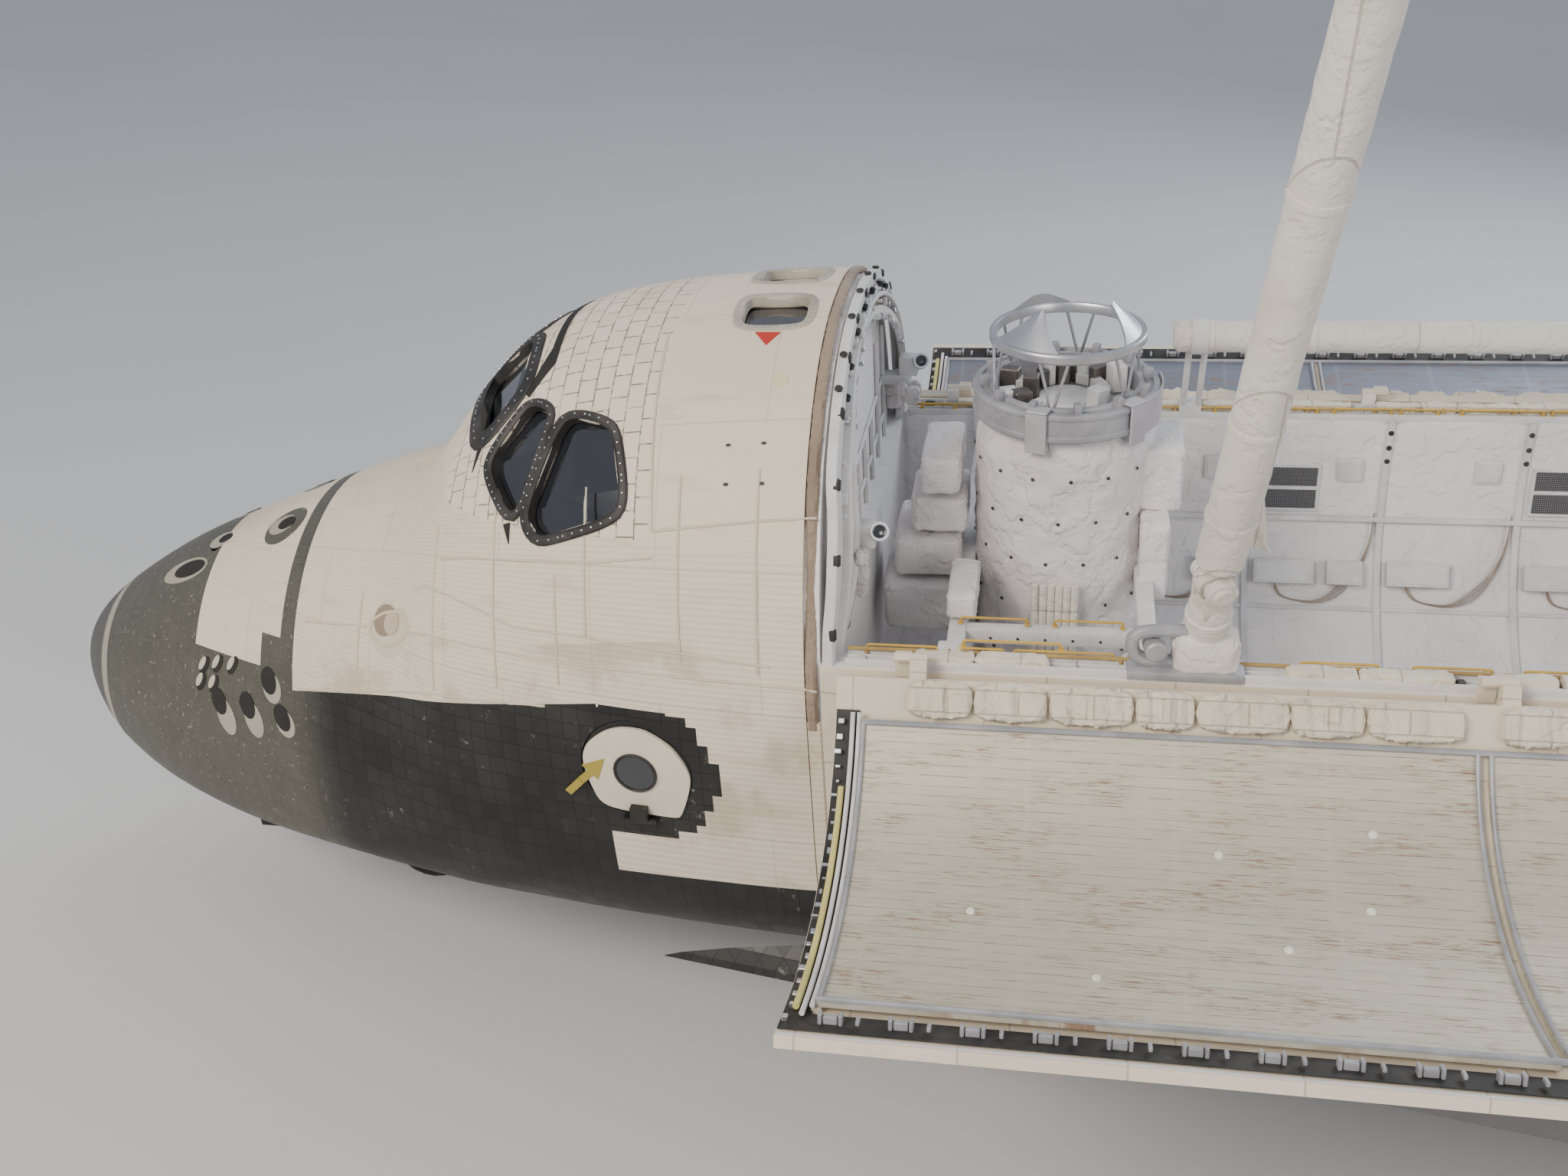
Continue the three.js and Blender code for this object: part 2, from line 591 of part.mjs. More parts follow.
// Body flap under the engines
const FLAP = { hinge: 1540, end: 1613, half: 126, z: 288, r: 7 };
function bodyFlapRing(y) {
  const ring = [];
  for (let i = 0; i <= 8; i++) {
    const a = Math.PI / 2 + (Math.PI * i) / 8;
    ring.push([FLAP.hinge + FLAP.r * Math.cos(a), y, FLAP.z + FLAP.r * Math.sin(a)]);
  }
  ring.push([FLAP.end, y, FLAP.z - 4], [FLAP.end, y, FLAP.z - 1.5]);
  return ring;
}
const [flapFrom, flapTo] = [-1, 1].map((side) => [FLAP.hinge, side * FLAP.half, FLAP.z]);
const flapFit = hingeFittings(flapFrom, flapTo, [0.15, 0.5, 0.85], FLAP.r, [-26, 0, 0]);
const flapBlock = loft([bodyFlapRing(-FLAP.half), bodyFlapRing(FLAP.half)]);
named('body_flap', cut(flapBlock, flapFit.rooms), 'black_tile', vehicle);

// Engines: gimbal point, cant up and outboard
const ENGINES = [
  ['top', 1488, 0, 443, 16, 0],
  ['port', 1492, -53, 342.6, 10, -3.5],
  ['starboard', 1492, 53, 342.6, 10, 3.5],
].map(([name, x, y, z, up, out]) => ({ name, at: [x, y, z], up, out }));
// Bell: outer and inner radius at distances from the gimbal point
const BELL = [[30, 11, 0], [38, 14, 10], [60, 29, 27], [95, 41, 39.5], [140, 47, 45.8]]
  .map(([along, outer, inner]) => ({ along, outer, inner }));

function bell(scale, stub) {
  const outer = BELL.map((b) => [b.outer * scale, b.along * scale]);
  const inner = BELL.slice().reverse().map((b) => [b.inner * scale, b.along * scale]);
  return [[0, stub.from], [stub.r, stub.from], [stub.r, outer[0][1]], ...outer, ...inner];
}

function aimed(at, up, out) {
  const dir = new THREE.Vector3(Math.cos(rad(up)) * Math.cos(rad(out)), Math.sin(rad(out)), Math.sin(rad(up)));
  return { base: at, tip: at.map((v, i) => v + dir.getComponent(i)) };
}

const engineSeats = [];
for (const engine of ENGINES) {
  const { base, tip } = aimed(engine.at, engine.up, engine.out);
  named(`${engine.name}_main_engine`, turned(bell(1, { from: 8, r: 17 }), base, tip, 20), 'grey_metal', vehicle);
  engineSeats.push(turned([[0, 0], [17 + GAP, 0], [17 + GAP, 32], [34, 46], [40, 60], [0, 60]], base, tip, 20));
}

const engineDomes = ENGINES.map((engine) => {
  const { base, tip } = aimed(engine.at, engine.up, engine.out);
  return turned([[0, -10], [44, -10], [44, 22], [30, 32], [0, 32]], base, tip, 20);
});
const heatShield = box([AFT_END - 1, -100, 296], [1530, 100, 494]).intersect(hull(AFT_START, AFT_END + 30, 3));
const aftRoom = join(aftBody(), heatShield, engineDomes);

// Vertical tail: a wedge section, thickest at the rudder's hinge line
const FIN = { root: 497, tip: 816, lead: 1276.5, tail: 1548, leadSlope: 1, tailSlope: 0.4888 };
const FIN_FLOOR = 503;
const finLead = (z) => FIN.lead + (z - FIN.root) * FIN.leadSlope;
const finTail = (z) => FIN.tail + (z - FIN.root) * FIN.tailSlope;
const RUDDER = { x: 1488, z: 555.3, slope: 32.42, length: 288, cone: 0.93, finEnd: -0.6, panelFront: 0.43 };
const rudderUp = [Math.sin(rad(RUDDER.slope)), 0, Math.cos(rad(RUDDER.slope))];
const rudderBack = [Math.cos(rad(RUDDER.slope)), 0, -Math.sin(rad(RUDDER.slope))];
const rudderPoint = (s, c = 0, y = 0) => [
  RUDDER.x + s * rudderUp[0] + c * rudderBack[0],
  y,
  RUDDER.z + s * rudderUp[2] + c * rudderBack[2],
];
const hingeX = (z) => RUDDER.x + (z - RUDDER.z) * Math.tan(rad(RUDDER.slope));
const finHalf = (z) => THREE.MathUtils.lerp(13, 5, (z - FIN.root) / (FIN.tip - FIN.root));

function finRing(z, grow = 0) {
  const h = finHalf(z) + grow;
  const [a, m, b] = [finLead(z), hingeX(z), finTail(z)];
  const near = THREE.MathUtils.lerp(a, m, 0.1);
  const side = [[a, 0.6, z], [near, h * 0.28, z], [m, h, z], [b, 1.2, z]];
  return [...side.map(([x, y]) => [x, -y, z]), ...side.reverse()];
}
const finWhole = loft([FIN.root - 8, FIN.root + 60, 700, FIN.tip - 4, FIN.tip].map((z) => finRing(z)));
const finSolid = finWhole.subtract(box([FIN.lead - 20, -40, 480], [AFT_START + 3, 40, 600]));
const coneRadius = (s) => finHalf(RUDDER.z + s * rudderUp[2]) * RUDDER.cone;
// The space behind a plane that stands a share of the cone's radius behind its axis
function rudderZone(from, to, share, side) {
  const faces = [from, to].map((s) => [
    rudderPoint(s, share * coneRadius(s), side[0]),
    rudderPoint(s, share * coneRadius(s), side[1]),
    rudderPoint(s, 140, side[1]),
    rudderPoint(s, 140, side[0]),
  ]);
  return loft(faces);
}
const shaftCone = (grow, over = 0) => rod(
  rudderPoint(-over),
  rudderPoint(RUDDER.length + over),
  coneRadius(-over) + grow,
  20,
  coneRadius(RUDDER.length + over) + grow,
);
const SHAFT_PIN = { reach: 6, r: 2 };
const shaftPin = (shape, over = 0) => shape(
  rudderPoint(-SHAFT_PIN.reach - over),
  rudderPoint(RUDDER.length + SHAFT_PIN.reach + over),
  SHAFT_PIN.r,
  12,
);
const finBody = cut(
  finSolid,
  rudderZone(-SLIT, RUDDER.length + SLIT, RUDDER.finEnd, [-40, 40]),
  shaftCone(SLIT, SLIT),
  shaftPin(bore, GAP),
  aftBody(GAP),
  box([AFT_END - 6, -60, 400], [FIN.tail + 60, 60, FIN_FLOOR]),
);
named('vertical_tail', finBody, 'white_tile', vehicle);
named('rudder_shaft', join(shaftCone(0), shaftPin(rod)), 'dark_metal', vehicle);
const PANEL_SIDES = 48;
const coneBore = bore(
  rudderPoint(-1),
  rudderPoint(RUDDER.length + 1),
  coneRadius(-1),
  PANEL_SIDES,
  coneRadius(RUDDER.length + 1),
);
for (const [name, side] of SIDES) {
  const width = [0.15 * side, 40 * side];
  const zone = rudderZone(GAP, RUDDER.length - GAP, RUDDER.panelFront, width);
  named(`${name}_rudder_panel`, cut(finSolid.intersect(zone), coneBore), 'white_tile', vehicle);
}

// Pods beside the tail: station, middle, height of the middle, half width, half height
const POD = [
  [1313, 66, 486, 10, 8],
  [1350, 68, 484, 32, 30],
  [1400, 71, 482, 44, 46],
  [1470, 74, 480, 48, 50],
  [1530, 76, 479, 48, 49],
  [1556, 78, 478, 44, 44],
].map(([x, y, z, half, tall]) => ({ x, y, z, half, tall }));
const POD_NOZZLE = { at: [1528, 88, 492], up: 12, out: 5 };
function podRing(s) {
  return Array.from({ length: 20 }, (_, i) => {
    const a = (2 * Math.PI * i) / 20;
    const p = 0.8;
    const [c, w] = [Math.cos(a), Math.sin(a)];
    return [s.x, s.y + s.half * Math.sign(c) * Math.abs(c) ** p, s.z + s.tall * Math.sign(w) * Math.abs(w) ** p];
  });
}
const nozzleAim = aimed(POD_NOZZLE.at, POD_NOZZLE.up, POD_NOZZLE.out);
const seatProfile = [[0, 6], [13 + GAP, 6], [13 + GAP, 13], [24, 13], [24, 60], [0, 60]];
const nozzleSeat = turned(seatProfile, nozzleAim.base, nozzleAim.tip, 16);
const finSide = loft([FIN.root - 8, FIN.root + 60, 700].map((z) => finRing(z, GAP)));
const inboard = box([1200, -200, 380], [1600, 12, 600]);
const podBlock = cut(loft(POD.map(podRing)), aftBody(GAP), inboard, finSide, nozzleSeat);
const podBelow = box([1200, -300, 300], [1700, 300, 440]);
pair('engine_pod', podBlock.subtract(podBelow), 'white_blanket');
const nozzleProfile = bell(0.48, { from: 6 + GAP, r: 13 });
pair('pod_nozzle', turned(nozzleProfile, nozzleAim.base, nozzleAim.tip, 16), 'dark_metal');

const podClear = loft(POD.map((s) => podRing({ ...s, half: s.half + GAP, tall: s.tall + GAP })));
const aftParts = cut(
  aftRoom,
  engineSeats,
  podClear.subtract(aftBody()),
  mirrored(podClear.subtract(aftBody())),
);
const [seatFrom, seatTo] = [-1, 1].map((side) => [FLAP.hinge, side * (FLAP.half + 1), FLAP.z]);
const flapSeat = rod(seatFrom, seatTo, FLAP.r + SLIT, 32);
const flapBeam = box([AFT_END - 10, -104, FLAP.z - FLAP.r], [FLAP.hinge - 1, 104, FLAP.z + FLAP.r]);
named('aft_fuselage', join(cut(join(aftParts, flapBeam), flapSeat), flapFit.lugs), 'white_blanket', vehicle);

// Landing gear. The ground slopes in these stations, because the vehicle parks nose down.
const groundAt = (x) => 172 - Math.tan(rad(NOSE_DOWN)) * (x - 1172);
const TYRE_STEPS = 3;
function wheel(radius, width, y, x, z) {
  const rim = radius * 0.52;
  const half = width / 2;
  const profile = [[0, -half * 0.7], [rim, -half * 0.7], [rim + 1, -half]];
  for (let i = 0; i <= TYRE_STEPS; i++) {
    const a = (Math.PI * i) / TYRE_STEPS - Math.PI / 2;
    profile.push([radius * (0.78 + 0.22 * Math.cos(a)), half * Math.sin(a)]);
  }
  profile.push([rim + 1, half], [rim, half * 0.7], [0, half * 0.7]);
  return turned(profile, [x, y, z], [x, y + 1, z], 20);
}

function wheelPair({ radius, width, spread, x, y, axle }) {
  const z = groundAt(x) + radius / Math.cos(rad(NOSE_DOWN));
  return {
    z,
    body: join(
      wheel(radius, width, y - spread / 2, x, z),
      wheel(radius, width, y + spread / 2, x, z),
      rod([x, y - spread / 2, z], [x, y + spread / 2, z], axle, 16),
    ),
  };
}

const NOSE_GEAR = { x: 378, y: 0, radius: 15.7, width: 8.8, spread: 22, axle: 2.2, piston: 2.6 };
const noseWheels = wheelPair(NOSE_GEAR);
named('nose_wheels', noseWheels.body, 'tyre', vehicle);
const noseAxleZ = noseWheels.z;
const STEER_TOP = noseAxleZ + 34;
const nosePiston = join(
  rod([NOSE_GEAR.x, 0, noseAxleZ + 3], [NOSE_GEAR.x, 0, STEER_TOP], NOSE_GEAR.piston),
  rod([NOSE_GEAR.x, -4.5, noseAxleZ], [NOSE_GEAR.x, 4.5, noseAxleZ], 4.4, 16),
  box([NOSE_GEAR.x - 3, -4, noseAxleZ], [NOSE_GEAR.x + 3, 4, noseAxleZ + 8]),
);
const noseBore = bore([NOSE_GEAR.x, -8, noseAxleZ], [NOSE_GEAR.x, 8, noseAxleZ], NOSE_GEAR.axle);
named('nose_gear_piston', cut(nosePiston, noseBore), 'grey_metal', vehicle);
const wellTop = NOSE_WELL.top - GAP;
const noseSleeve = rod([NOSE_GEAR.x, 0, STEER_TOP - 18], [NOSE_GEAR.x, 0, wellTop], 4.6, 16);
const noseLegBody = join(
  noseSleeve,
  rod([NOSE_GEAR.x, -NOSE_WELL.half + GAP, 316], [NOSE_GEAR.x, NOSE_WELL.half - GAP, 316], 3, 12),
  rod([NOSE_GEAR.x - 52, 0, 320], [NOSE_GEAR.x - 2, 0, 287], 2.2, 10),
  box([NOSE_GEAR.x - 56, -6, 316], [NOSE_GEAR.x - 48, 6, wellTop]),
);
const pistonBore = bore([NOSE_GEAR.x, 0, STEER_TOP - 30], [NOSE_GEAR.x, 0, STEER_TOP + GAP], NOSE_GEAR.piston);
named('nose_gear_leg', cut(noseLegBody, pistonBore), 'grey_metal', vehicle);

const MAIN_GEAR = { x: 1172, y: 136, radius: 22.4, width: 16, spread: 28, axle: 3.4 };
const mainWheels = wheelPair(MAIN_GEAR);
pair('main_wheels', mainWheels.body, 'tyre');
const mainAxleZ = mainWheels.z;
const mainTop = MAIN_WELL.top - GAP;
const mainLeg = join(
  rod([MAIN_GEAR.x, MAIN_GEAR.y, mainAxleZ + 4], [MAIN_GEAR.x, MAIN_GEAR.y, mainAxleZ + 50], 4, 16),
  rod([MAIN_GEAR.x, MAIN_GEAR.y, mainAxleZ + 40], [MAIN_GEAR.x, MAIN_GEAR.y, mainTop], 6.5, 16),
  rod([MAIN_GEAR.x, MAIN_GEAR.y - 5, mainAxleZ], [MAIN_GEAR.x, MAIN_GEAR.y + 5, mainAxleZ], 6, 16),
  rod([MAIN_GEAR.x, MAIN_WELL.inner + GAP, 294], [MAIN_GEAR.x, MAIN_WELL.outer - GAP, 294], 4.5, 14),
  rod([MAIN_GEAR.x - 80, MAIN_GEAR.y, 300], [MAIN_GEAR.x - 3, MAIN_GEAR.y, 250], 3.2, 12),
  box([MAIN_GEAR.x - 86, MAIN_GEAR.y - 8, 292], [MAIN_GEAR.x - 74, MAIN_GEAR.y + 8, mainTop]),
);
const [boreFrom, boreTo] = [-9, 9].map((reach) => [MAIN_GEAR.x, MAIN_GEAR.y + reach, mainAxleZ]);
const mainBore = bore(boreFrom, boreTo, MAIN_GEAR.axle);
pair('main_gear_leg', cut(mainLeg, mainBore), 'grey_metal');

// Gear doors hang open beside the wells
const doorBlock = (well, wall, thick, low, high) => box([well.from + 2, wall, low], [well.to - 2, wall + thick, high]);
const noseDoor = doorBlock(NOSE_WELL, NOSE_WELL.half + GAP, 1.6 - GAP, 262, 300);
pair('nose_gear_door', noseDoor.subtract(hull(CAP_END, CABIN_END, -GAP)), 'black_tile');
const wingClear = loft(WING_SECTIONS.map((s) => wingRing(s.y, wingEnd).map(([x, y, z], i, all) => {
  const lower = i < all.length / 2;
  return [x, y, lower ? z - GAP : z + 5];
})));
const mainDoor = doorBlock(MAIN_WELL, MAIN_WELL.outer + 0.5, 3, 206, 290);
pair('main_gear_door', mainDoor.subtract(wingClear), 'black_tile');

// Docking module at the bay's forward end: a padded chamber on a truss, with its ring on top
const DOCK = { x: 649, front: -36, rear: 26, shoulder: 405, neck: 455, ring: 458, ringTop: 468, guide: 484 };
const dockTruss = [];
const [dockFront, dockRear] = [DOCK.x + DOCK.front, DOCK.x + DOCK.rear];
for (const y of [-60, 60]) {
  dockTruss.push(box([dockFront, y - 3, DOCK.shoulder - 6], [dockRear + 6, y + 3, DOCK.shoulder]));
  for (const x of [dockFront, dockRear]) {
    dockTruss.push(box([x, y - 3, 345], [x + 6, y + 3, DOCK.shoulder]));
  }
}
for (const x of [dockFront, dockRear]) {
  dockTruss.push(box([x, -BAY_HALF + 2, DOCK.shoulder - 6], [x + 6, BAY_HALF - 2, DOCK.shoulder]));
}
const chamberBelow = [[0, 330], [28, 330], [31, 340]];
const chamberAbove = [[31, DOCK.neck - 4], [27, DOCK.neck], [27, DOCK.ring - GAP], [0, DOCK.ring - GAP]];
const dockChamber = turned([...chamberBelow, ...chamberAbove], [DOCK.x, 0, 0], [DOCK.x, 0, 1], 28);
const dockFeet = [-1, 1].flatMap((side) => [dockFront, dockRear].map((x) => {
  const y = [side * (BAY_HALF - 4), side * (BAY_HALF + 4)].sort((a, b) => a - b);
  return box([x, y[0], DOCK.shoulder - 4], [x + 6, y[1], SILL + 4]);
}));
const betweenSills = box([500, -BAY_HALF + GAP, 200], [1500, BAY_HALF - GAP, 600]);
const sillTop = box([600, -200, 300], [1400, 200, SILL + GAP]).subtract(betweenSills);
const dockBody = cut(join(dockChamber, dockTruss, dockFeet), sillTop);
named('docking_module', dockBody, 'liner', vehicle);
function ring(inner, outer, low, high) {
  const outline = [[inner, low], [outer, low], [outer, high], [inner, high], [inner, low]];
  return turned(outline, [DOCK.x, 0, 0], [DOCK.x, 0, 1], 28);
}
const guideRods = [0, 120, 240].map((a) => {
  const [c, s] = [Math.cos(rad(a + 30)), Math.sin(rad(a + 30))];
  return rod([DOCK.x + 28 * c, 28 * s, DOCK.ringTop - 1], [DOCK.x + 25 * c, 25 * s, DOCK.guide - 1], 1.6, 8);
});
const dockRing = join(ring(23, 32, DOCK.ring, DOCK.ringTop), ring(24, 26.5, DOCK.guide - 2, DOCK.guide), guideRods);
named('docking_ring', dockRing, 'grey_metal', vehicle);

// Inspection boom on the starboard sill, held in four stands
const BOOM = { y: 82.4, z: 452.8, r: 6.3, from: 690, to: 1286 };
const standOutline = [[95.5, SILL + GAP], [102, SILL + GAP], [100, 428], [86, BOOM.z], [80, BOOM.z], [92, 428]];
const boomStands = [700, 911, 1189, 1262].map((x) => prism(standOutline, 'x', x - 4, x + 4));
const boomBody = join(rod([BOOM.from, BOOM.y, BOOM.z], [BOOM.to, BOOM.y, BOOM.z], BOOM.r, 16), boomStands);
named('inspection_boom', boomBody, 'liner', vehicle);

// Manipulator arm. Each link is drawn along its own x axis and hangs in its parent's group.
const ARM = {
  pitch: 85.5,
  yaw: 20,
  elbow: -20,
  wristPitch: -60,
  upper: 252,
  fore: 278,
  wrist: 20,
  hand: 26,
  tool: 30,
  radius: 7,
  elbowDrop: 9,
  lug: 5,
  lugHalf: 3.2,
  ear: 1.6,
  neck: 14,
  pin: 1.4,
};

// A lug about a cross axis at the origin, reaching along +x
function lug(axis) {
  const ends = (h) => (axis === 'y' ? [[0, -h, 0], [0, h, 0]] : [[0, 0, -h], [0, 0, h]]);
  const round = rod(...ends(ARM.lugHalf), ARM.lug, 16);
  const deep = axis === 'y' ? [ARM.lugHalf, ARM.lug * 0.6] : [ARM.lug * 0.6, ARM.lugHalf];
  const web = box([0, -deep[0], -deep[1]], [ARM.neck, deep[0], deep[1]]);
  return { solid: join(round, web), room: bore(...ends(ARM.lugHalf + 1), ARM.pin) };
}

// Ears and a pin about a cross axis at x, carried by a link that ends before it
function clevis(x, axis) {
  const [a, b] = [ARM.lugHalf + 0.22, ARM.lugHalf + 0.22 + ARM.ear];
  const at = (h) => (axis === 'y' ? [x, h, 0] : [x, 0, h]);
  const pieces = [rod(at(-b), at(b), ARM.pin)];
  for (const k of [-1, 1]) {
    pieces.push(rod(at(k * a), at(k * b), ARM.lug * 0.8, 16));
    const low = Math.min(k * a, k * b);
    const high = Math.max(k * a, k * b);
    const w = ARM.lug * 0.8;
    if (axis === 'y') pieces.push(box([x - ARM.neck - 4, low, -w], [x, high, w]));
    else pieces.push(box([x - ARM.neck - 4, -w, low], [x, w, high]));
  }
  const w = ARM.lug * 0.8;
  if (axis === 'y') pieces.push(box([x - ARM.neck - 4, -b, -w], [x - ARM.neck + 6, b, w]));
  else pieces.push(box([x - ARM.neck - 4, -w, -b], [x - ARM.neck + 6, w, b]));
  return pieces;
}

function link(length, radius, rootAxis, tipAxis) {
  const root = lug(rootAxis);
  const tube = rod([ARM.neck - 4, 0, 0], [length - ARM.neck, 0, 0], radius, 16);
  return join(root.solid, tube, clevis(length, tipAxis)).subtract(root.room);
}

const armStand = new THREE.Group();
armStand.position.set(SHOULDER.x, SHOULDER.y, SHOULDER.z);
armStand.rotation.x = rad(TILT);
vehicle.add(armStand);

// The stand leans outboard from the sill; its own z axis is the arm's turning axis
const YAW = { plane: -16, housing: 6.6 };
const standPoint = ([y, z]) => {
  const [dy, dz] = [y - SHOULDER.y, z - SHOULDER.z];
  const [c, s] = [Math.cos(rad(TILT)), Math.sin(rad(TILT))];
  return [dy * c + dz * s, dz * c - dy * s];
};
const footOutline = [[-104, SILL + GAP], [-95.5, SILL + GAP], [-88, 425], [-99, 429]].map(standPoint);
const standBody = join(
  rod([0, 0, -26], [0, 0, YAW.plane - GAP], YAW.housing, 20),
  prism(footOutline, 'x', -6, 12),
);
named('arm_stand', standBody, 'liner', armStand);

const shoulderYaw = new THREE.Group();
shoulderYaw.rotation.z = rad(ARM.yaw);
armStand.add(shoulderYaw);
const shoulderEars = [-1, 1].flatMap((k) => {
  const [a, b] = [k * (ARM.lugHalf + 0.22), k * (ARM.lugHalf + 0.22 + ARM.ear)].sort((p, q) => p - q);
  return [rod([0, a, 0], [0, b, 0], 4, 16), box([-4, a, -12], [4, b, 0])];
});
const shoulderBody = join(
  rod([0, 0, YAW.plane], [0, 0, -9], YAW.housing, 20),
  shoulderEars,
  rod([0, -ARM.lugHalf - 1, 0], [0, ARM.lugHalf + 1, 0], ARM.pin),
);
named('arm_shoulder', shoulderBody, 'liner', shoulderYaw);

// Pitch turns the link from lying aft (0) to upright (90)
function hung(parent, x, z, axis, turn) {
  const group = new THREE.Group();
  group.position.set(x, 0, z);
  if (axis === 'y') group.rotation.y = -rad(turn);
  else group.rotation.z = rad(turn);
  parent.add(group);
  return group;
}

const upperGroup = hung(shoulderYaw, 0, 0, 'y', ARM.pitch);
// The elbow's axis lies above the boom's line, so that the forearm folds back beside it
const upperRoot = lug('y');
const upperTube = rod([ARM.neck - 4, 0, 0], [ARM.upper - 5, 0, 0], ARM.radius, 16);
const elbowEars = [-1, 1].map((k) => {
  const [a, b] = [k * (ARM.lugHalf + 0.22), k * (ARM.lugHalf + 0.22 + ARM.ear)].sort((p, q) => p - q);
  const outline = [[-26, 0], [-6, 0], [3.4, ARM.elbowDrop], [0, ARM.elbowDrop + 3.4], [-3, ARM.elbowDrop + 2]];
  return prism(outline.map(([x, z]) => [ARM.upper + x, z]), 'y', a, b);
});
const elbowPin = rod(
  [ARM.upper, -ARM.lugHalf - 1, ARM.elbowDrop],
  [ARM.upper, ARM.lugHalf + 1, ARM.elbowDrop],
  ARM.pin,
);
const upperBoom = join(upperRoot.solid, upperTube, elbowEars, elbowPin).subtract(upperRoot.room);
named('arm_upper_boom', upperBoom, 'liner', upperGroup);

const foreGroup = hung(upperGroup, ARM.upper, ARM.elbowDrop, 'y', -ARM.elbow);
const foreLine = -ARM.elbowDrop;
const foreWeb = [[-1, -3], [1, 3.2], [24, foreLine + 2], [24, foreLine - 2], [5.4, foreLine - 2], [5.4, foreLine]];
const foreLug = join(
  rod([0, -ARM.lugHalf, 0], [0, ARM.lugHalf, 0], 3.4, 16),
  prism(foreWeb, 'y', -ARM.lugHalf, ARM.lugHalf),
);
const foreTube = rod([5.4, 0, -ARM.elbowDrop], [ARM.fore - ARM.neck, 0, -ARM.elbowDrop], ARM.radius * 0.93, 16);
const wristEars = clevis(ARM.fore, 'y');
const foreBore = bore([0, -5, 0], [0, 5, 0], ARM.pin);

// The wrist's ears are drawn on the forearm's own line
function shiftedDown(solids, drop) {
  return solids.map((s) => {
    const { vertProperties, triVerts, numProp } = s.getMesh();
    const vertices = new Float32Array(vertProperties);
    for (let i = 2; i < vertices.length; i += numProp) vertices[i] -= drop;
    return new wasm.Manifold(new wasm.Mesh({ numProp: 3, vertProperties: vertices, triVerts }));
  });
}
const forearm = join(foreLug, foreTube, shiftedDown(wristEars, ARM.elbowDrop)).subtract(foreBore);
named('arm_forearm', forearm, 'liner', foreGroup);

const wristGroup = hung(foreGroup, ARM.fore, -ARM.elbowDrop, 'y', ARM.wristPitch);
named('arm_wrist_pitch', link(ARM.wrist + 2 * ARM.neck, 6, 'y', 'z'), 'liner', wristGroup);
const handGroup = hung(wristGroup, ARM.wrist + 2 * ARM.neck, 0, 'z', 0);
const handRoot = lug('z');
const handEnd = ARM.neck + ARM.hand;
const hand = join(handRoot.solid, rod([ARM.neck - 4, 0, 0], [handEnd, 0, 0], 6, 16)).subtract(handRoot.room);
named('arm_wrist_yaw', hand, 'liner', handGroup);
const toolFrom = handEnd + GAP;
const toolProfile = [[0, 0], [6.6, 0], [6.8, ARM.tool], [5.4, ARM.tool], [5.2, ARM.tool - 10], [0, ARM.tool - 10]];
const tool = turned(toolProfile, [toolFrom, 0, 0], [toolFrom + 1, 0, 0], 20);
named('arm_end_effector', tool, 'grey_metal', handGroup);

// Level on the wheels, in millimetres, with the origin on the ground under the middle
const parked = new THREE.Group();
vehicle.rotation.y = -rad(NOSE_DOWN);
vehicle.scale.setScalar(INCH);
parked.add(vehicle);
parked.updateMatrixWorld(true);
const bounds = new THREE.Box3().setFromObject(parked, true);
vehicle.position.set(-(bounds.min.x + bounds.max.x) / 2, -(bounds.min.y + bounds.max.y) / 2, -bounds.min.z);

export default parked;
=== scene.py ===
# %% [markdown]
# # Dressing a space shuttle orbiter
#
# The solids of the orbiter are already made, at full size, and they move on their joints. This lesson gives
# them their looks: smooth skins, tiles, blankets, glass, metal and the many small fittings of the payload
# bay. Every new piece is drawn in inches, in the vehicle's own stations, because that is how its drawings
# number each place, and is then moved into the frame of the solids in one step.

# %% Start from the fixed solids
import math
import random
from contextlib import contextmanager

import bpy
import numpy as np
from mathutils import Matrix, Vector, noise
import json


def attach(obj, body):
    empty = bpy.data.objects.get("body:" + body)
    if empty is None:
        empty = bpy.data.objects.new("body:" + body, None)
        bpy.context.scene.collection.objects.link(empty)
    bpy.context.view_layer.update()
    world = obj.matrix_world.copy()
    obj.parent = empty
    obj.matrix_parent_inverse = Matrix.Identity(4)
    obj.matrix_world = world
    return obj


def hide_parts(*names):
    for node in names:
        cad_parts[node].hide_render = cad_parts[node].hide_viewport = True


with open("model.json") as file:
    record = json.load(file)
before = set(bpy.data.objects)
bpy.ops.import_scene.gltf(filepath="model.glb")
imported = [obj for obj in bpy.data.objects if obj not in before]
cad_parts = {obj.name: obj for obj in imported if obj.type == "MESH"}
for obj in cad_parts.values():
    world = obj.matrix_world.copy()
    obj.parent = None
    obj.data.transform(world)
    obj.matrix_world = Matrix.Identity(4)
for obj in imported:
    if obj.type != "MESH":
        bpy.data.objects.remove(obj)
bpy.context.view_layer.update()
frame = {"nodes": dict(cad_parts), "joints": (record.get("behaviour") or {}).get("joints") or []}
NODES = frame["nodes"]

# %% [markdown]
# The vehicle stands a little nose down on its wheels. One matrix turns a place in its stations (x aft, y to
# starboard, z up, all in inches) into metres in the frame, so no piece has to be fitted by eye.

# %% From the vehicle's inches to the frame's metres
INCH = 0.0254
NOSE_DOWN = math.radians(4.25)
ORIGIN = Vector((-23.51205, 0.0, -6.57573))
VEHICLE = Matrix.Translation(ORIGIN) @ Matrix.Rotation(-NOSE_DOWN, 4, "Y") @ Matrix.Scale(INCH, 4)
PORT, STARBOARD = -1, 1
ALONG = Vector((1, 0, 0))


def deselect():
    bpy.ops.object.select_all(action="DESELECT")


def choose(piece):
    deselect()
    piece.select_set(True)
    bpy.context.view_layer.objects.active = piece
    return piece


def newest(name):
    piece = bpy.context.object
    piece.name = piece.data.name = name
    return piece


STARTS = {}


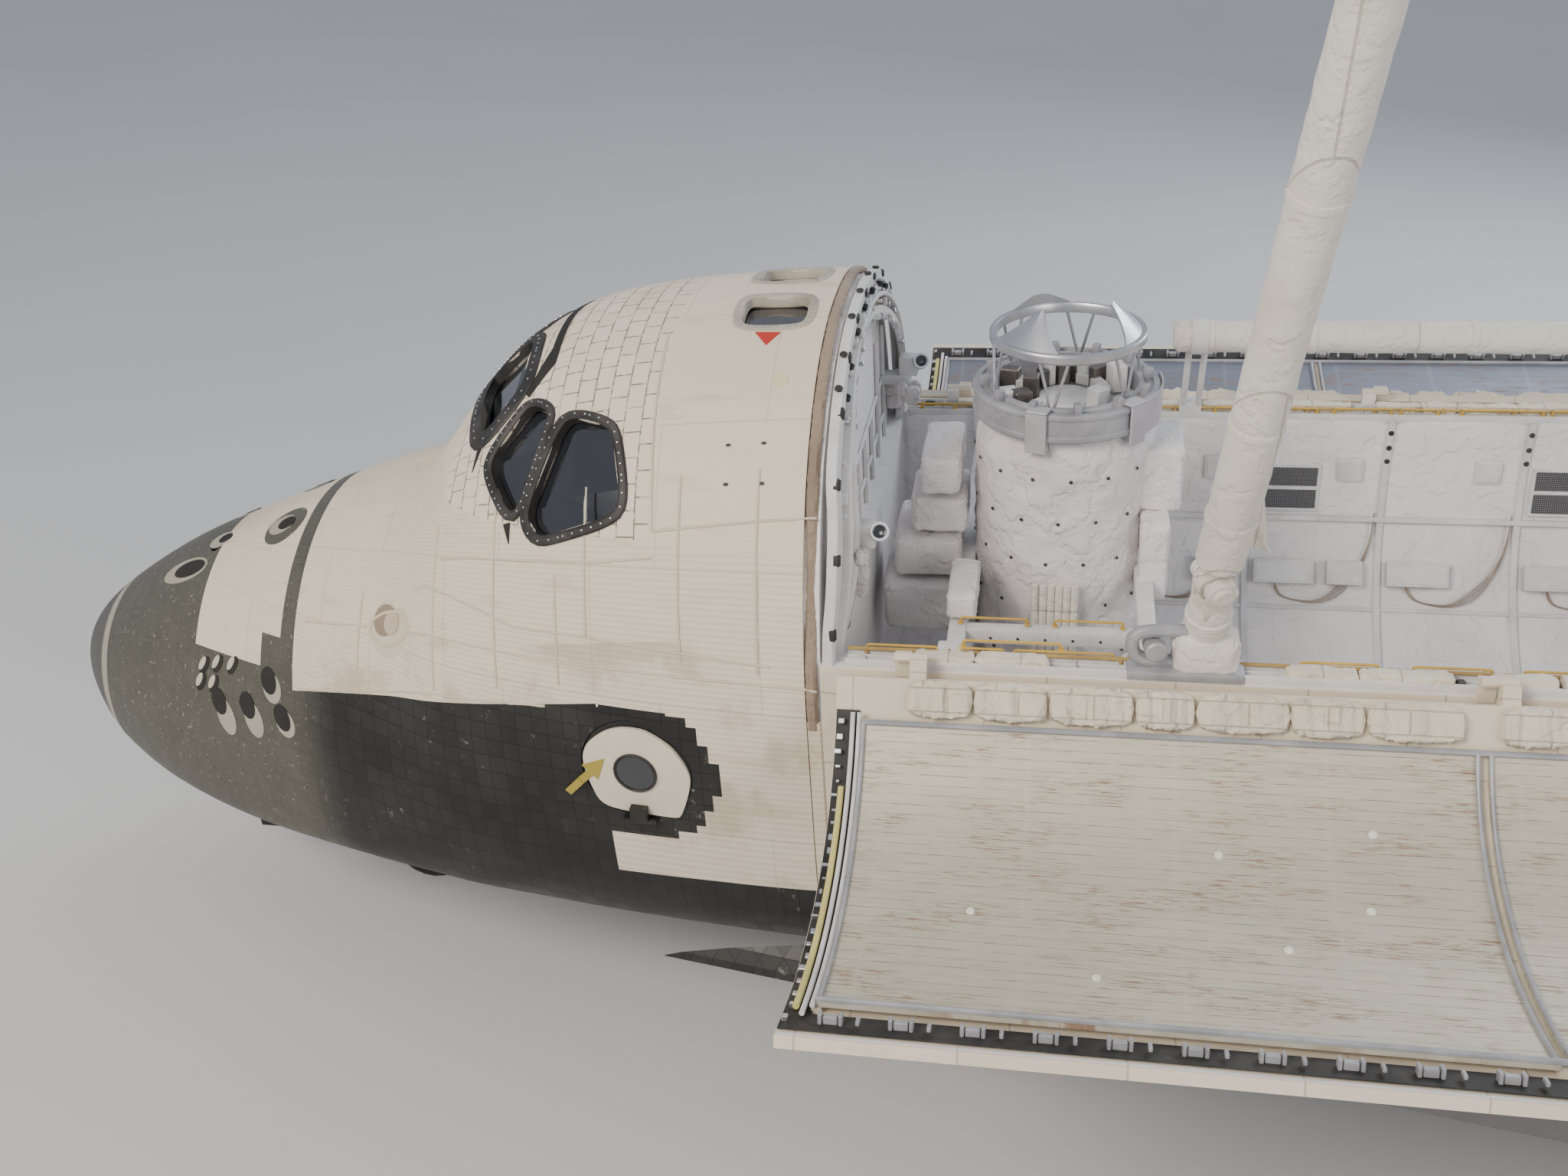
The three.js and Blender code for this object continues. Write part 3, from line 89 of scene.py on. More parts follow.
def started(name, kind, shape):
    """A primitive is made once by its operator, and every piece that starts from it gets its own copy."""
    key = (kind, *shape.items())
    if key not in STARTS:
        deselect()
        getattr(bpy.ops.mesh, kind)(**shape)
        STARTS[key] = bpy.context.object.data.copy()
        bpy.data.objects.remove(bpy.context.object)
    return shown(STARTS[key].copy(), name)


def shown(data, name):
    piece = bpy.data.objects.new(name, data)
    data.name = name
    bpy.context.scene.collection.objects.link(piece)
    return piece


def points_of(piece, attribute="co"):
    flat = np.zeros(len(piece.data.vertices) * 3)
    piece.data.vertices.foreach_get(attribute, flat)
    return flat.reshape(-1, 3)


def laid_on(piece, points):
    piece.data.vertices.foreach_set("co", np.asarray(points, float).reshape(-1))
    piece.data.update()
    return piece


def merged(pieces, name):
    deselect()
    for piece in pieces:
        piece.select_set(True)
    bpy.context.view_layer.objects.active = pieces[0]
    if len(pieces) > 1:
        bpy.ops.object.join()
    return newest(name)


@contextmanager
def editing(piece):
    """Edit mode, with the whole piece selected."""
    choose(piece)
    bpy.ops.object.mode_set(mode="EDIT")
    bpy.ops.mesh.select_all(action="SELECT")
    yield
    bpy.ops.object.mode_set(mode="OBJECT")


def tidied(piece, gap=0.002, outside=True):
    """Closes seams and poles, and turns the faces outwards."""
    with editing(piece):
        bpy.ops.mesh.remove_doubles(threshold=gap)
        if outside:
            bpy.ops.mesh.normals_make_consistent(inside=False)
    return piece


def smooth(piece, degrees=35):
    choose(piece)
    bpy.ops.object.shade_smooth_by_angle(angle=math.radians(degrees))
    return piece


def modified(piece, kind, **settings):
    """Adds a modifier and applies it."""
    choose(piece)
    modifier = piece.modifiers.new(kind.lower(), kind)
    for key, value in settings.items():
        setattr(modifier, key, value)
    bpy.ops.object.modifier_apply(modifier=modifier.name)
    return piece


made = []


def finished(piece, body, finish, stands_for=(), place=VEHICLE, degrees=35):
    """Moves a piece into the frame, gives it its finish and fixes it to a body."""
    piece.data.transform(place)
    smooth(piece, degrees)
    piece.data.materials.clear()
    piece.data.materials.append(finish)
    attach(piece, body)
    if stands_for:
        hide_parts(*stands_for)
    made.append(piece)
    return piece


print("an inch is", INCH, "m, and the nose points down by", round(math.degrees(NOSE_DOWN), 2), "degrees")

# %% [markdown]
# The camera stands where the photograph was taken from: off the port side, a little aft of the cabin and
# above the sill. Its place comes from known stations of the vehicle, such as the nose, the windows and the
# front of the bay, and it is given as a target, a distance and three angles.

# %% The camera
VIEW = {"azimuth": 11.857, "elevation": 30.206, "roll": -4.006, "distance": 680.7, "lens": 33.838}
TARGET = Vector((525.17, 93.68, 325.04))


def add_camera():
    azimuth, elevation, roll = (math.radians(VIEW[key]) for key in ("azimuth", "elevation", "roll"))
    level = math.cos(elevation)
    back = Vector((math.sin(azimuth) * level, -math.cos(azimuth) * level, math.sin(elevation)))
    right = (-back).cross(Vector((0, 0, 1))).normalized()
    up = right.cross(-back)
    side = right * math.cos(roll) + up * math.sin(roll)
    head = up * math.cos(roll) - right * math.sin(roll)
    turn = Matrix((side, head, back)).transposed().to_4x4()
    attitude = Matrix.Rotation(-NOSE_DOWN, 4, "Y")
    camera = bpy.data.objects.new("camera", bpy.data.cameras.new("camera"))
    bpy.context.scene.collection.objects.link(camera)
    camera.data.lens = VIEW["lens"]
    camera.data.sensor_width = 36
    camera.data.clip_start, camera.data.clip_end = 0.1, 2000
    camera.matrix_world = Matrix.Translation(VEHICLE @ (TARGET + back * VIEW["distance"])) @ attitude @ turn
    bpy.context.scene.camera = camera
    return camera


camera = add_camera()
print("camera at", [round(c, 2) for c in camera.matrix_world.translation])

# %% [markdown]
# A finish is a tree of shader nodes. Long trees are hard to read, so one small class lets a value that runs
# along a wire be written in ordinary sums, and one method makes any other node.

# %% Sums on wires


class Wire:
    """The output of one node, which can be used in sums."""

    def __init__(self, finish, socket):
        self.finish, self.socket = finish, socket

    def sum(self, operation, first, second=None):
        return self.finish.sum(operation, first, second)

    def __add__(self, other):
        return self.sum("ADD", self, other)

    def __sub__(self, other):
        return self.sum("SUBTRACT", self, other)

    def __rsub__(self, other):
        return self.sum("SUBTRACT", other, self)

    def __mul__(self, other):
        return self.sum("MULTIPLY", self, other)

    def __truediv__(self, other):
        return self.sum("DIVIDE", self, other)

    def __gt__(self, other):
        return self.sum("GREATER_THAN", self, other)

    def __lt__(self, other):
        return self.sum("LESS_THAN", self, other)

    def __abs__(self):
        return self.sum("ABSOLUTE", self)

    def __or__(self, other):
        return self.sum("MAXIMUM", self, other)

    def __and__(self, other):
        return self.sum("MINIMUM", self, other)

    __radd__ = __add__
    __rmul__ = __mul__

    def cell(self, size):
        """The middle of the step that the value falls in."""
        return self.sum("SNAP", self, size) + size / 2


class Finish:
    """A material on the Principled shader. Steady values are set on the shader's own sockets."""

    def __init__(self, name, **steady):
        self.material = bpy.data.materials.new(name)
        self.material.use_nodes = True
        self.tree = self.material.node_tree
        self.shader = self.tree.nodes["Principled BSDF"]
        for socket, value in steady.items():
            self.feed(self.shader.inputs[socket.replace("_", " ")], value)

    def feed(self, socket, value):
        if isinstance(value, Wire):
            self.tree.links.new(value.socket, socket)
        elif isinstance(value, tuple) and socket.type == "RGBA":
            socket.default_value = (*value, 1.0)
        else:
            socket.default_value = value

    def node(self, kind, settings=None, inputs=None, output=0):
        """Makes any node. Its settings come first, then the values or wires of its sockets."""
        added = self.tree.nodes.new(kind)
        for key, value in (settings or {}).items():
            if key == "stops":
                ramp = added.color_ramp
                while len(ramp.elements) < len(value):
                    ramp.elements.new(0.5)
                for element, (place, colour) in zip(ramp.elements, value):
                    element.position = place
                    element.color = (*colour, 1.0)
            else:
                setattr(added, key, value)
        for key, value in (inputs or {}).items():
            self.feed(added.inputs[key], value)
        return Wire(self, added.outputs[output])

    def sum(self, operation, first, second=None):
        inputs = {0: first} if second is None else {0: first, 1: second}
        return self.node("ShaderNodeMath", {"operation": operation}, inputs)

    def place(self):
        """The place of a point in the frame, in metres."""
        return self.node("ShaderNodeTexCoord", output="Object")

    def mapped(self, **inputs):
        return self.node("ShaderNodeMapping", None, {"Vector": self.place(), **inputs})

    def station(self):
        """The place of a point in the vehicle's stations, in inches, as three wires."""
        turned = self.mapped(Location=STATION_SHIFT, Rotation=(0, NOSE_DOWN, 0), Scale=(1 / INCH,) * 3)
        return [self.node("ShaderNodeSeparateXYZ", None, {0: turned}, k) for k in range(3)]

    def vector(self, x, y, z=0.0):
        return self.node("ShaderNodeCombineXYZ", None, {0: x, 1: y, 2: z})

    def mix(self, share, first, second):
        return self.node("ShaderNodeMix", {"data_type": "RGBA"}, {0: share, 6: first, 7: second}, 2)

    def noise(self, where, scale, detail=3.0, rough=0.5):
        inputs = {"Vector": where, "Scale": scale, "Detail": detail, "Roughness": rough}
        return self.node("ShaderNodeTexNoise", None, inputs, "Fac")

    def ramp(self, value, low, high):
        """0 below low, 1 above high, and a soft step between them."""
        settings = {"interpolation_type": "SMOOTHSTEP"}
        inputs = {"Value": value, "From Min": low, "From Max": high}
        return self.node("ShaderNodeMapRange", settings, inputs)

    def bricks(self, where, width, height, gap, shift=0.5):
        """The joints of a brick pattern as 1, and a shade for each brick."""
        settings = {"offset": shift}
        inputs = {"Vector": where, "Color1": (0, 0, 0), "Color2": (1, 1, 1), "Mortar": (0.5, 0.5, 0.5),
                  "Scale": 1.0, "Mortar Size": gap, "Mortar Smooth": 0.3, "Brick Width": width,
                  "Row Height": height}
        shade = self.node("ShaderNodeTexBrick", settings, inputs, "Color")
        joints = Wire(self, shade.socket.node.outputs["Fac"])
        return joints, shade

    def paint(self, colour, roughness=None, height=None, depth=0.002, **others):
        """Wires the pattern to the shader, and returns the material."""
        self.feed(self.shader.inputs["Base Color"], colour)
        if roughness is not None:
            self.feed(self.shader.inputs["Roughness"], roughness)
        if height is not None:
            bump = self.node("ShaderNodeBump", None, {"Height": height, "Distance": depth, "Strength": 0.8})
            self.feed(self.shader.inputs["Normal"], bump)
        for socket, value in others.items():
            self.feed(self.shader.inputs[socket], value)
        return self.material


STATION_SHIFT = Matrix.Rotation(NOSE_DOWN, 3, "Y") @ (-ORIGIN / INCH)
print("station 0 lies at", [round(c, 2) for c in ORIGIN], "m")

# %% [markdown]
# Tiles and felt blankets meet along lines that are known in stations, so one finish serves the whole forward
# body. Black tiles cover the nose, the belly and a rounded field about the crew door, white tiles surround
# the windows, and ribbed blankets cover the rest. The field's edge steps from tile to tile, so the test that
# draws it reads the middle of each tile and not the point itself.

# %% The skin of the forward body
CREAM = (0.78, 0.69, 0.55)
PALE_TILE = (0.80, 0.71, 0.58)
BLACK = (0.012, 0.012, 0.013)
SEAM = (0.20, 0.17, 0.13)


def black_tiles(f, u, v, where, size=6.0):
    """Colour, roughness and height of worn black tiles."""
    joints, shade = f.bricks(f.vector(u, v), size, size, 0.14, 0.0)
    cloud = f.noise(where, 0.9, 5.0, 0.6)
    scuff = f.ramp(f.noise(where, 9.0, 6.0, 0.7), 0.60, 0.70) * f.ramp(cloud, 0.47, 0.60)
    base = f.mix(shade * 0.35 + f.ramp(cloud, 0.35, 0.7) * 0.65, BLACK, (0.034, 0.033, 0.028))
    worn = f.mix(scuff * 0.6, base, (0.36, 0.33, 0.28))
    colour = f.mix(joints * 0.7, worn, (0.004, 0.004, 0.004))
    return colour, 0.38 + scuff * 0.4 + shade * 0.12, 1.0 - joints


def band_edge(x):
    """The height of the long edge between black tiles and pale blankets, at a station."""
    return (x - 373.8) * 0.167 + 371.2


def forward_skin():
    f = Finish("forward_skin", Specular_IOR_Level=0.35)
    where = f.place()
    x, y, z = f.station()
    side = abs(y)
    girth = f.sum("ARCTAN2", z - 395.0, side) * 100.0
    xs, zs = x.cell(3.4), z.cell(3.4)

    door = ((xs - 511.0) * (xs - 511.0) + (zs - 367.0) * (zs - 367.0) < 28.5**2) * (y < 0.0)
    black = ((z < band_edge(x)) * (x < 499.0)) | (door * (z < 392.0) * (z > 340.0)) | (z < 321.5)
    front = f.ramp(z, 393.5, 394.5) * 9.0 + f.ramp(z, 398.5, 399.5) * 5.0 + 321.8
    module = (x < 364.5) * (z > 386.5) * (x > front)
    apron = (x < 355.5) * (z > 376.0) * (x > 321.8)
    port = ((x - 353.0) * (x - 353.0) + (side - 18.0) * (side - 18.0) < 81.0) * (z > 400.0)
    black = black | ((x < 371.0) * (1.0 - ((module | apron) * (1.0 - port))))
    band = (x > 364.5) * (x < 370.0) * (z > 371.0)

    dark, dark_rough, dark_height = black_tiles(f, x, girth, where)
    ahead = 1.0 - f.ramp(x, 366.0, 392.0)
    speck = f.ramp(f.noise(where, 22.0, 5.0, 0.7), 0.60, 0.68)
    dark = f.mix(ahead * (0.55 + f.noise(where, 3.0, 5.0, 0.65) * 0.4), dark, (0.115, 0.112, 0.088))
    dark = f.mix(ahead * speck * 0.6, dark, (0.42, 0.40, 0.34))
    joints, shade = f.bricks(f.vector(girth, x), 8.6, 6.2, 0.26, 0.5)
    tiled = (x > 436.0) * (x < 519.5) * (z > (x - 436.0) * 0.06 + 442.0)
    stain = f.ramp(f.noise(where, 1.6, 6.0, 0.6), 0.50, 0.72)
    grime = f.ramp(f.noise(where, 0.5, 4.0, 0.55), 0.35, 0.75)
    streak = f.noise(f.mapped(Scale=(0.35, 3.0, 3.0)), 2.2, 5.0, 0.6)
    ribs = f.sum("SINE", girth * 3.0)
    panels, patch = f.bricks(f.vector(x, girth), 58.0, 46.0, 0.2, 0.4)

    short = f.ramp(f.noise(where, 14.0, 3.0, 0.6), 0.40, 0.56)
    tile = f.mix(shade * 0.35 + stain * 0.3, PALE_TILE, (0.70, 0.57, 0.44))
    tile = f.mix(joints * (0.35 + short * 0.65), tile, SEAM)
    felt = f.mix(patch * 0.35 + grime * 0.35, CREAM, (0.70, 0.60, 0.47))
    felt = f.mix(f.ramp(streak, 0.56, 0.72) * 0.35, felt, (0.50, 0.38, 0.26))
    felt = f.mix(panels * 0.25, felt, SEAM)
    felt = f.mix(f.ramp(ribs, 0.1, 0.95) * (z < 446.0) * 0.22, felt, (0.46, 0.37, 0.27))
    stained = f.ramp(f.noise(where, 1.1, 5.0, 0.65), 0.50, 0.66) * (z < band_edge(x) + 20.8) * (x > 380.0)
    felt = f.mix(stained * 0.5, felt, (0.40, 0.31, 0.22))
    light = f.mix(tiled, felt, tile)
    light = f.mix(band, light, (0.16, 0.14, 0.115))
    colour = f.mix(black, light, dark)
    lower = z < 446.0
    height = (1.0 - joints) * tiled + (1.0 - tiled) * (ribs * (lower * 0.34 + 0.02) + (1.0 - panels) * 0.5)
    height = height * (1.0 - black) + dark_height * black
    return f.paint(colour, 0.78 * (1.0 - black) + dark_rough * black, height, 0.004)


FORWARD_SKIN = forward_skin()
print("forward skin:", len(FORWARD_SKIN.node_tree.nodes), "nodes")

# %% [markdown]
# The other finishes are smaller. Each is a function of where the point is, with the grain, quilting, scuffs
# or streaks that the real surface shows, at their real size.

# %% Blankets, tiles, metals and glass


def carbon_finish():
    f = Finish("carbon", Specular_IOR_Level=0.5)
    where = f.place()
    x, y, z = f.station()
    rim = f.ramp(x, 261.5, 263.5) * (1.0 - f.ramp(x, 266.0, 267.8))
    cloud = f.noise(where, 1.4, 5.0, 0.6)
    flake = f.ramp(f.noise(where, 14.0, 5.0, 0.6), 0.52, 0.7)
    colour = f.mix(cloud, (0.045, 0.043, 0.040), (0.13, 0.125, 0.115))
    colour = f.mix(rim * 0.75 + flake * 0.08, colour, (0.46, 0.42, 0.34))
    return f.paint(colour, 0.45 + cloud * 0.25, flake, 0.001)


def tile_finish(name, dark):
    """Tiles on wings, tail and belly: black below or white above."""
    f = Finish(name, Specular_IOR_Level=0.4)
    where = f.place()
    x, y, z = f.station()
    if dark:
        colour, rough, height = black_tiles(f, x + y, x - y + z * 0.7, where, 8.5)
        return f.paint(colour, rough, height, 0.003)
    joints, shade = f.bricks(f.vector(x, y + z), 8.0, 8.0, 0.16, 0.5)
    grime = f.noise(where, 0.7, 5.0, 0.6)
    colour = f.mix(shade * 0.4 + grime * 0.5, PALE_TILE, (0.62, 0.55, 0.45))
    colour = f.mix(joints * 0.7, colour, SEAM)
    return f.paint(colour, 0.7, 1.0 - joints, 0.003)


def blanket_finish(name, base, tint, width=30.0, height=22.0, crinkle=0.006, quilt=True, sewn=0.5):
    """A quilted or crinkled cloth blanket. Sewn is how dark its seams are."""
    f = Finish(name, Specular_IOR_Level=0.3, Sheen_Weight=0.15)
    where = f.place()
    x, y, z = f.station()
    seams, patch = f.bricks(f.vector(x, y * 0.8 + z), width, height, 0.3, 0.3)
    crease = f.noise(where, 5.0, 6.0, 0.62)
    fold = f.noise(f.mapped(Scale=(1.0, 0.4, 2.2)), 3.0, 4.0, 0.5)
    tufts = f.sum("SINE", x * 1.3) * f.sum("SINE", (y + z) * 1.3)
    grime = f.noise(where, 0.8, 4.0, 0.6)
    ridge = f.ramp(abs(f.noise(f.mapped(Rotation=(0.5, 0.3, 0.7)), 2.4, 5.0, 0.55) - 0.5), 0.0, 0.07)
    colour = f.mix(f.ramp(grime, 0.4, 0.75) * 0.6 + patch * sewn * 0.5, base, tint)
    colour = f.mix(seams * sewn, colour, (tint[0] * 0.5, tint[1] * 0.48, tint[2] * 0.45))
    relief = crease * 1.2 + fold * 1.4 - seams * sewn + ridge * 0.8
    if quilt:
        relief = relief + tufts * 0.12
    return f.paint(colour, 0.62 + grime * 0.2, relief, crinkle)


def metal_finish(name, colour, worn, rough=0.4, metallic=0.8, scale=3.0):
    f = Finish(name)
    where = f.place()
    cloud = f.noise(where, scale, 5.0, 0.6)
    grain = f.noise(f.mapped(Scale=(1.0, 6.0, 6.0)), scale * 12.0, 3.0, 0.5)
    spot = f.ramp(f.noise(where, scale * 5.0, 5.0, 0.65), 0.6, 0.72)
    shade = f.mix(f.ramp(cloud, 0.35, 0.7), colour, worn)
    shade = f.mix(spot * 0.25, shade, (0.10, 0.085, 0.07))
    return f.paint(shade, rough + cloud * 0.2, grain, 0.0006, Metallic=metallic - metallic * 0.4 * spot)


def glass_finish():
    f = Finish("dark_glass", Specular_IOR_Level=0.8, Coat_Roughness=0.03)
    haze = f.noise(f.place(), 1.5, 3.0)
    colour = f.mix(haze, (0.006, 0.007, 0.010), (0.020, 0.022, 0.028))
    return f.paint(colour, 0.05 + haze * 0.06, None, 0.0, **{"Coat Weight": 0.6 + haze * 0.3})


STRIP = 3.7


def radiator_finish(name, base):
    """Strips of silvered tape, worn brown at their edges. They follow the panel's own map, in inches."""
    f = Finish(name, Specular_IOR_Level=0.5)
    across = f.node("ShaderNodeUVMap")
    u = f.node("ShaderNodeSeparateXYZ", None, {0: across}, 0)
    v = f.node("ShaderNodeSeparateXYZ", None, {0: across}, 1)
    _, shade = f.bricks(f.vector(u, v), 90.0, STRIP, 0.02, 0.37)
    edge = 1.0 - f.ramp(f.sum("PINGPONG", v, STRIP / 2) / (STRIP / 2), 0.0, 0.16)
    broken = f.ramp(f.noise(f.vector(u * 0.05, v * 0.5), 3.0, 5.0, 0.7), 0.42, 0.60)
    fine = f.noise(f.vector(u * 0.012, v * 1.6), 5.0, 4.0, 0.6)
    cloud = f.noise(f.vector(u * 0.02, v * 0.04), 2.2, 4.0, 0.6)
    smear = f.noise(f.vector(u * 0.035, v * 0.55), 3.4, 6.0, 0.7)
    patch = f.ramp(f.noise(f.vector(u * 0.012, v * 0.03), 2.6, 3.0), 0.46, 0.60)
    run = f.ramp(smear, 0.50, 0.60) * patch
    joint = 1.0 - f.ramp(f.sum("PINGPONG", u - 8.0, 21.0), 0.0, 1.4)
    colour = f.mix(cloud * 0.8 + shade * 0.25, base, (base[0] * 0.82, base[1] * 0.86, base[2] * 0.86))
    colour = f.mix(f.ramp(fine, 0.48, 0.62) * 0.6, colour, (base[0] * 0.66, base[1] * 0.60, base[2] * 0.50))
    colour = f.mix(edge * broken * 0.85, colour, (0.20, 0.16, 0.12))
    colour = f.mix(run * 0.9, colour, (0.27, 0.15, 0.09))
    colour = f.mix(joint * 0.07, colour, (0.84, 0.80, 0.72))
    return f.paint(colour, 0.40 + cloud * 0.15 + run * 0.2, fine - edge * 0.6, 0.0015,
                   Metallic=0.28 - run * 0.2)


def mid_skin():
    """White felt outside, black tiles low down, and the bay's own lining inside."""
    f = Finish("mid_skin", Specular_IOR_Level=0.35)
    where = f.place()
    x, y, z = f.station()
    side = abs(y)
    outside = (side > 103.3) | (z < 285.0)
    low = outside * (z < 306.0)
    dark, dark_rough, dark_height = black_tiles(f, x, side + z, where, 7.0)
    panels, patch = f.bricks(f.vector(x, z), 38.0, 27.0, 0.3, 0.5)
    grime = f.ramp(f.noise(where, 0.6, 5.0, 0.6), 0.4, 0.75)
    felt = f.mix(patch * 0.3 + grime * 0.4, CREAM, (0.66, 0.57, 0.45))
    felt = f.mix(panels * 0.45, felt, SEAM)
    seams, quilt = f.bricks(f.vector(x, side + z), 27.0, 19.0, 0.35, 0.0)
    crease = f.noise(where, 4.0, 6.0, 0.6)
    lining = f.mix(quilt * 0.1 + crease * 0.3, (0.82, 0.80, 0.79), (0.66, 0.63, 0.61))
    lining = f.mix(seams * 0.12, lining, (0.30, 0.28, 0.27))
    colour = f.mix(outside, lining, felt)
    colour = f.mix(low, colour, dark)
    inner = crease * 1.5 + (1.0 - seams)
    outer = (1.0 - panels) * 0.5 + low * dark_height * 0.5
    height = (1.0 - outside) * inner + outside * outer
    return f.paint(colour, 0.7 * (1.0 - low) + dark_rough * low, height, 0.006)


def wing_skin():
    """White above, black below, and grey carbon along the leading edge."""
    f = Finish("wing_skin", Specular_IOR_Level=0.4)
    where = f.place()
    x, y, z = f.station()
    side = abs(y)
    normal = f.node("ShaderNodeNewGeometry", output="True Normal")
    below = f.node("ShaderNodeSeparateXYZ", None, {0: normal}, 2) < -0.25
    outer = x - side - 860.0
    glove = (x - 1050.0 + (190.0 - side) * 6.31) * 0.157
    edge = (outer * 0.707 | (side < 190.0) * -900.0) & 900.0
    inner = (glove | (side > 190.0) * -900.0)
    below = below | (x < 700.0)
    lead = ((edge < 11.0) * (side > 190.0)) | ((inner < 7.0) * (side < 190.5) * (side > 118.0))
    dark, dark_rough, dark_height = black_tiles(f, x + y, x - y, where, 9.0)
    panels, patch = f.bricks(f.vector(x, side), 42.0, 30.0, 0.3, 0.5)
    grime = f.ramp(f.noise(where, 0.5, 5.0, 0.6), 0.4, 0.75)
    felt = f.mix(patch * 0.3 + grime * 0.4, CREAM, (0.66, 0.57, 0.45))
    felt = f.mix(panels * 0.4, felt, SEAM)
    ribs = f.sum("PINGPONG", (side - 190.0), 12.0) < 0.35
    cloud = f.noise(where, 1.4, 5.0, 0.6)
    grey = f.mix(cloud, (0.12, 0.12, 0.125), (0.22, 0.215, 0.21))
    grey = f.mix(ribs * 0.8, grey, (0.02, 0.02, 0.02))
    colour = f.mix(below, felt, dark)
    colour = f.mix(lead, colour, grey)
    rough = 0.75 * (1.0 - below) + dark_rough * below
    height = (1.0 - panels) * 0.5 * (1.0 - below) + dark_height * below
    return f.paint(colour, rough, height - lead * ribs, 0.003)


def glossy_rubber():
    f = Finish("tyre_rubber", Specular_IOR_Level=0.4)
    dust = f.noise(f.place(), 6.0, 5.0, 0.6)
    colour = f.mix(f.ramp(dust, 0.45, 0.75), (0.016, 0.016, 0.017), (0.07, 0.066, 0.06))
    return f.paint(colour, 0.6 + dust * 0.2, dust, 0.001)


CARBON = carbon_finish()
BLACK_TILE = tile_finish("black_tile", True)
WHITE_TILE = tile_finish("white_tile", False)
WING_SKIN = wing_skin()
MID_SKIN = mid_skin()
FELT = blanket_finish("outer_felt", CREAM, (0.64, 0.55, 0.43), 40.0, 30.0, 0.003, False)
LINING = blanket_finish("bay_lining", (0.84, 0.82, 0.81), (0.68, 0.64, 0.62), 52.7, 40.0, 0.014, False, 0.06)
MODULE_WRAP = blanket_finish("module_wrap", (0.80, 0.77, 0.76), (0.62, 0.57, 0.55), 300.0, 300.0,
                             0.016, False, 0.0)
FOIL = blanket_finish("silver_foil", (0.72, 0.69, 0.66), (0.50, 0.46, 0.42), 300.0, 300.0, 0.02, False, 0.0)
FUZZ = blanket_finish("felt_seam", (0.33, 0.25, 0.18), (0.14, 0.10, 0.075), 60.0, 60.0, 0.012, False, 0.0)
WRAP = blanket_finish("arm_wrap", (0.80, 0.76, 0.68), (0.60, 0.55, 0.46), 60.0, 46.0, 0.012, False)
SILL_WRAP = blanket_finish("sill_blanket", (0.80, 0.73, 0.60), (0.60, 0.50, 0.36), 22.0, 9.0, 0.016, True)
GREY = metal_finish("grey_metal", (0.34, 0.34, 0.36), (0.46, 0.46, 0.48), 0.42, 0.35)
BRIGHT = metal_finish("bright_metal", (0.66, 0.66, 0.68), (0.52, 0.52, 0.54), 0.24, 0.95)
DARK = metal_finish("dark_metal", (0.035, 0.034, 0.033), (0.075, 0.07, 0.065), 0.5, 0.5)
WHITE_METAL = metal_finish("white_paint", (0.74, 0.73, 0.72), (0.62, 0.60, 0.58), 0.45, 0.0)
GEAR = metal_finish("gear_metal", (0.60, 0.60, 0.58), (0.46, 0.45, 0.43), 0.4, 0.3)
YELLOW = metal_finish("yellow_paint", (0.66, 0.42, 0.06), (0.52, 0.33, 0.07), 0.45, 0.0)
GOLD = metal_finish("gold_rail", (0.52, 0.36, 0.12), (0.38, 0.24, 0.09), 0.4, 0.3)
YELLOW_TUBE = metal_finish("yellow_tube", (0.70, 0.62, 0.22), (0.58, 0.50, 0.18), 0.45, 0.0)
PALE_DISC = metal_finish("pale_disc_paint", (0.86, 0.84, 0.74), (0.76, 0.73, 0.62), 0.5, 0.0)
STRAP = metal_finish("collar_strap", (0.56, 0.54, 0.58), (0.47, 0.45, 0.47), 0.4, 0.3)
HARNESS = metal_finish("cable_sleeve", (0.40, 0.34, 0.28), (0.24, 0.19, 0.15), 0.7, 0.0)
BELL = metal_finish("bell_metal", (0.17, 0.155, 0.145), (0.27, 0.24, 0.21), 0.38, 0.9)
BELL_HOOP = metal_finish("bell_hoop", (0.30, 0.28, 0.26), (0.42, 0.38, 0.33), 0.35, 0.9)
GLASS = glass_finish()
RUBBER = glossy_rubber()
# Both doors carry the same silvered film in two tones. The near door's cream is painted warm light, and the
# far door's blue-grey is a painted cool reflection of the sky.
RADIATOR_WARM_LIGHT = radiator_finish("radiator_near_warm_light", (0.68, 0.63, 0.51))
RADIATOR_COOL_REFLECTION = radiator_finish("radiator_far_cool_reflection", (0.24, 0.27, 0.34))
print("finishes:", len(bpy.data.materials))

# %% [markdown]
# The body's shape is a table of sections, one row for each station: how high its top and bottom are, how wide
# it is and where, and how square its upper and lower halves are. Between the rows the values follow smooth
# curves, so that the real hull's sweep from nose to cabin shows no corners. An angle of 0 degrees is the port
# side, 90 the top, 180 starboard and 270 the belly.

# %% The hull's sections
HULL = np.array([
    # station, top, bottom, half width, widest height, upper power, lower power
    (238.5, 341, 335, 3, 338, 2, 2), (243, 353, 322, 14, 338, 2, 2), (252, 364, 311, 26, 336, 2, 2.1),
    (268, 376, 301, 40, 333, 2, 2.3), (300, 394, 291, 57, 328, 2, 2.5), (340, 410, 285, 71, 325, 2, 2.7),
    (390, 428, 281, 84, 327, 2, 2.9), (415, 436, 279, 90, 331, 2, 3), (436, 461, 277, 94, 336, 2, 3.2),
    (460, 483, 275, 97, 344, 2, 3.4), (490, 496, 273, 100, 354, 2.1, 3.7),
    (525, 500, 272, 103, 368, 2.2, 4.1), (571, 501, 271, 105, 385, 2.3, 4.6),
    (582, 501, 271, 105, 400, 2.3, 5), (1307, 501, 267, 105, 420.5, 2.3, 7),
    (1420, 501, 272, 110, 420.5, 2.3, 7), (1516, 499, 280, 112, 420.5, 2.3, 7),
], float)
STATIONS = HULL[:, 0]


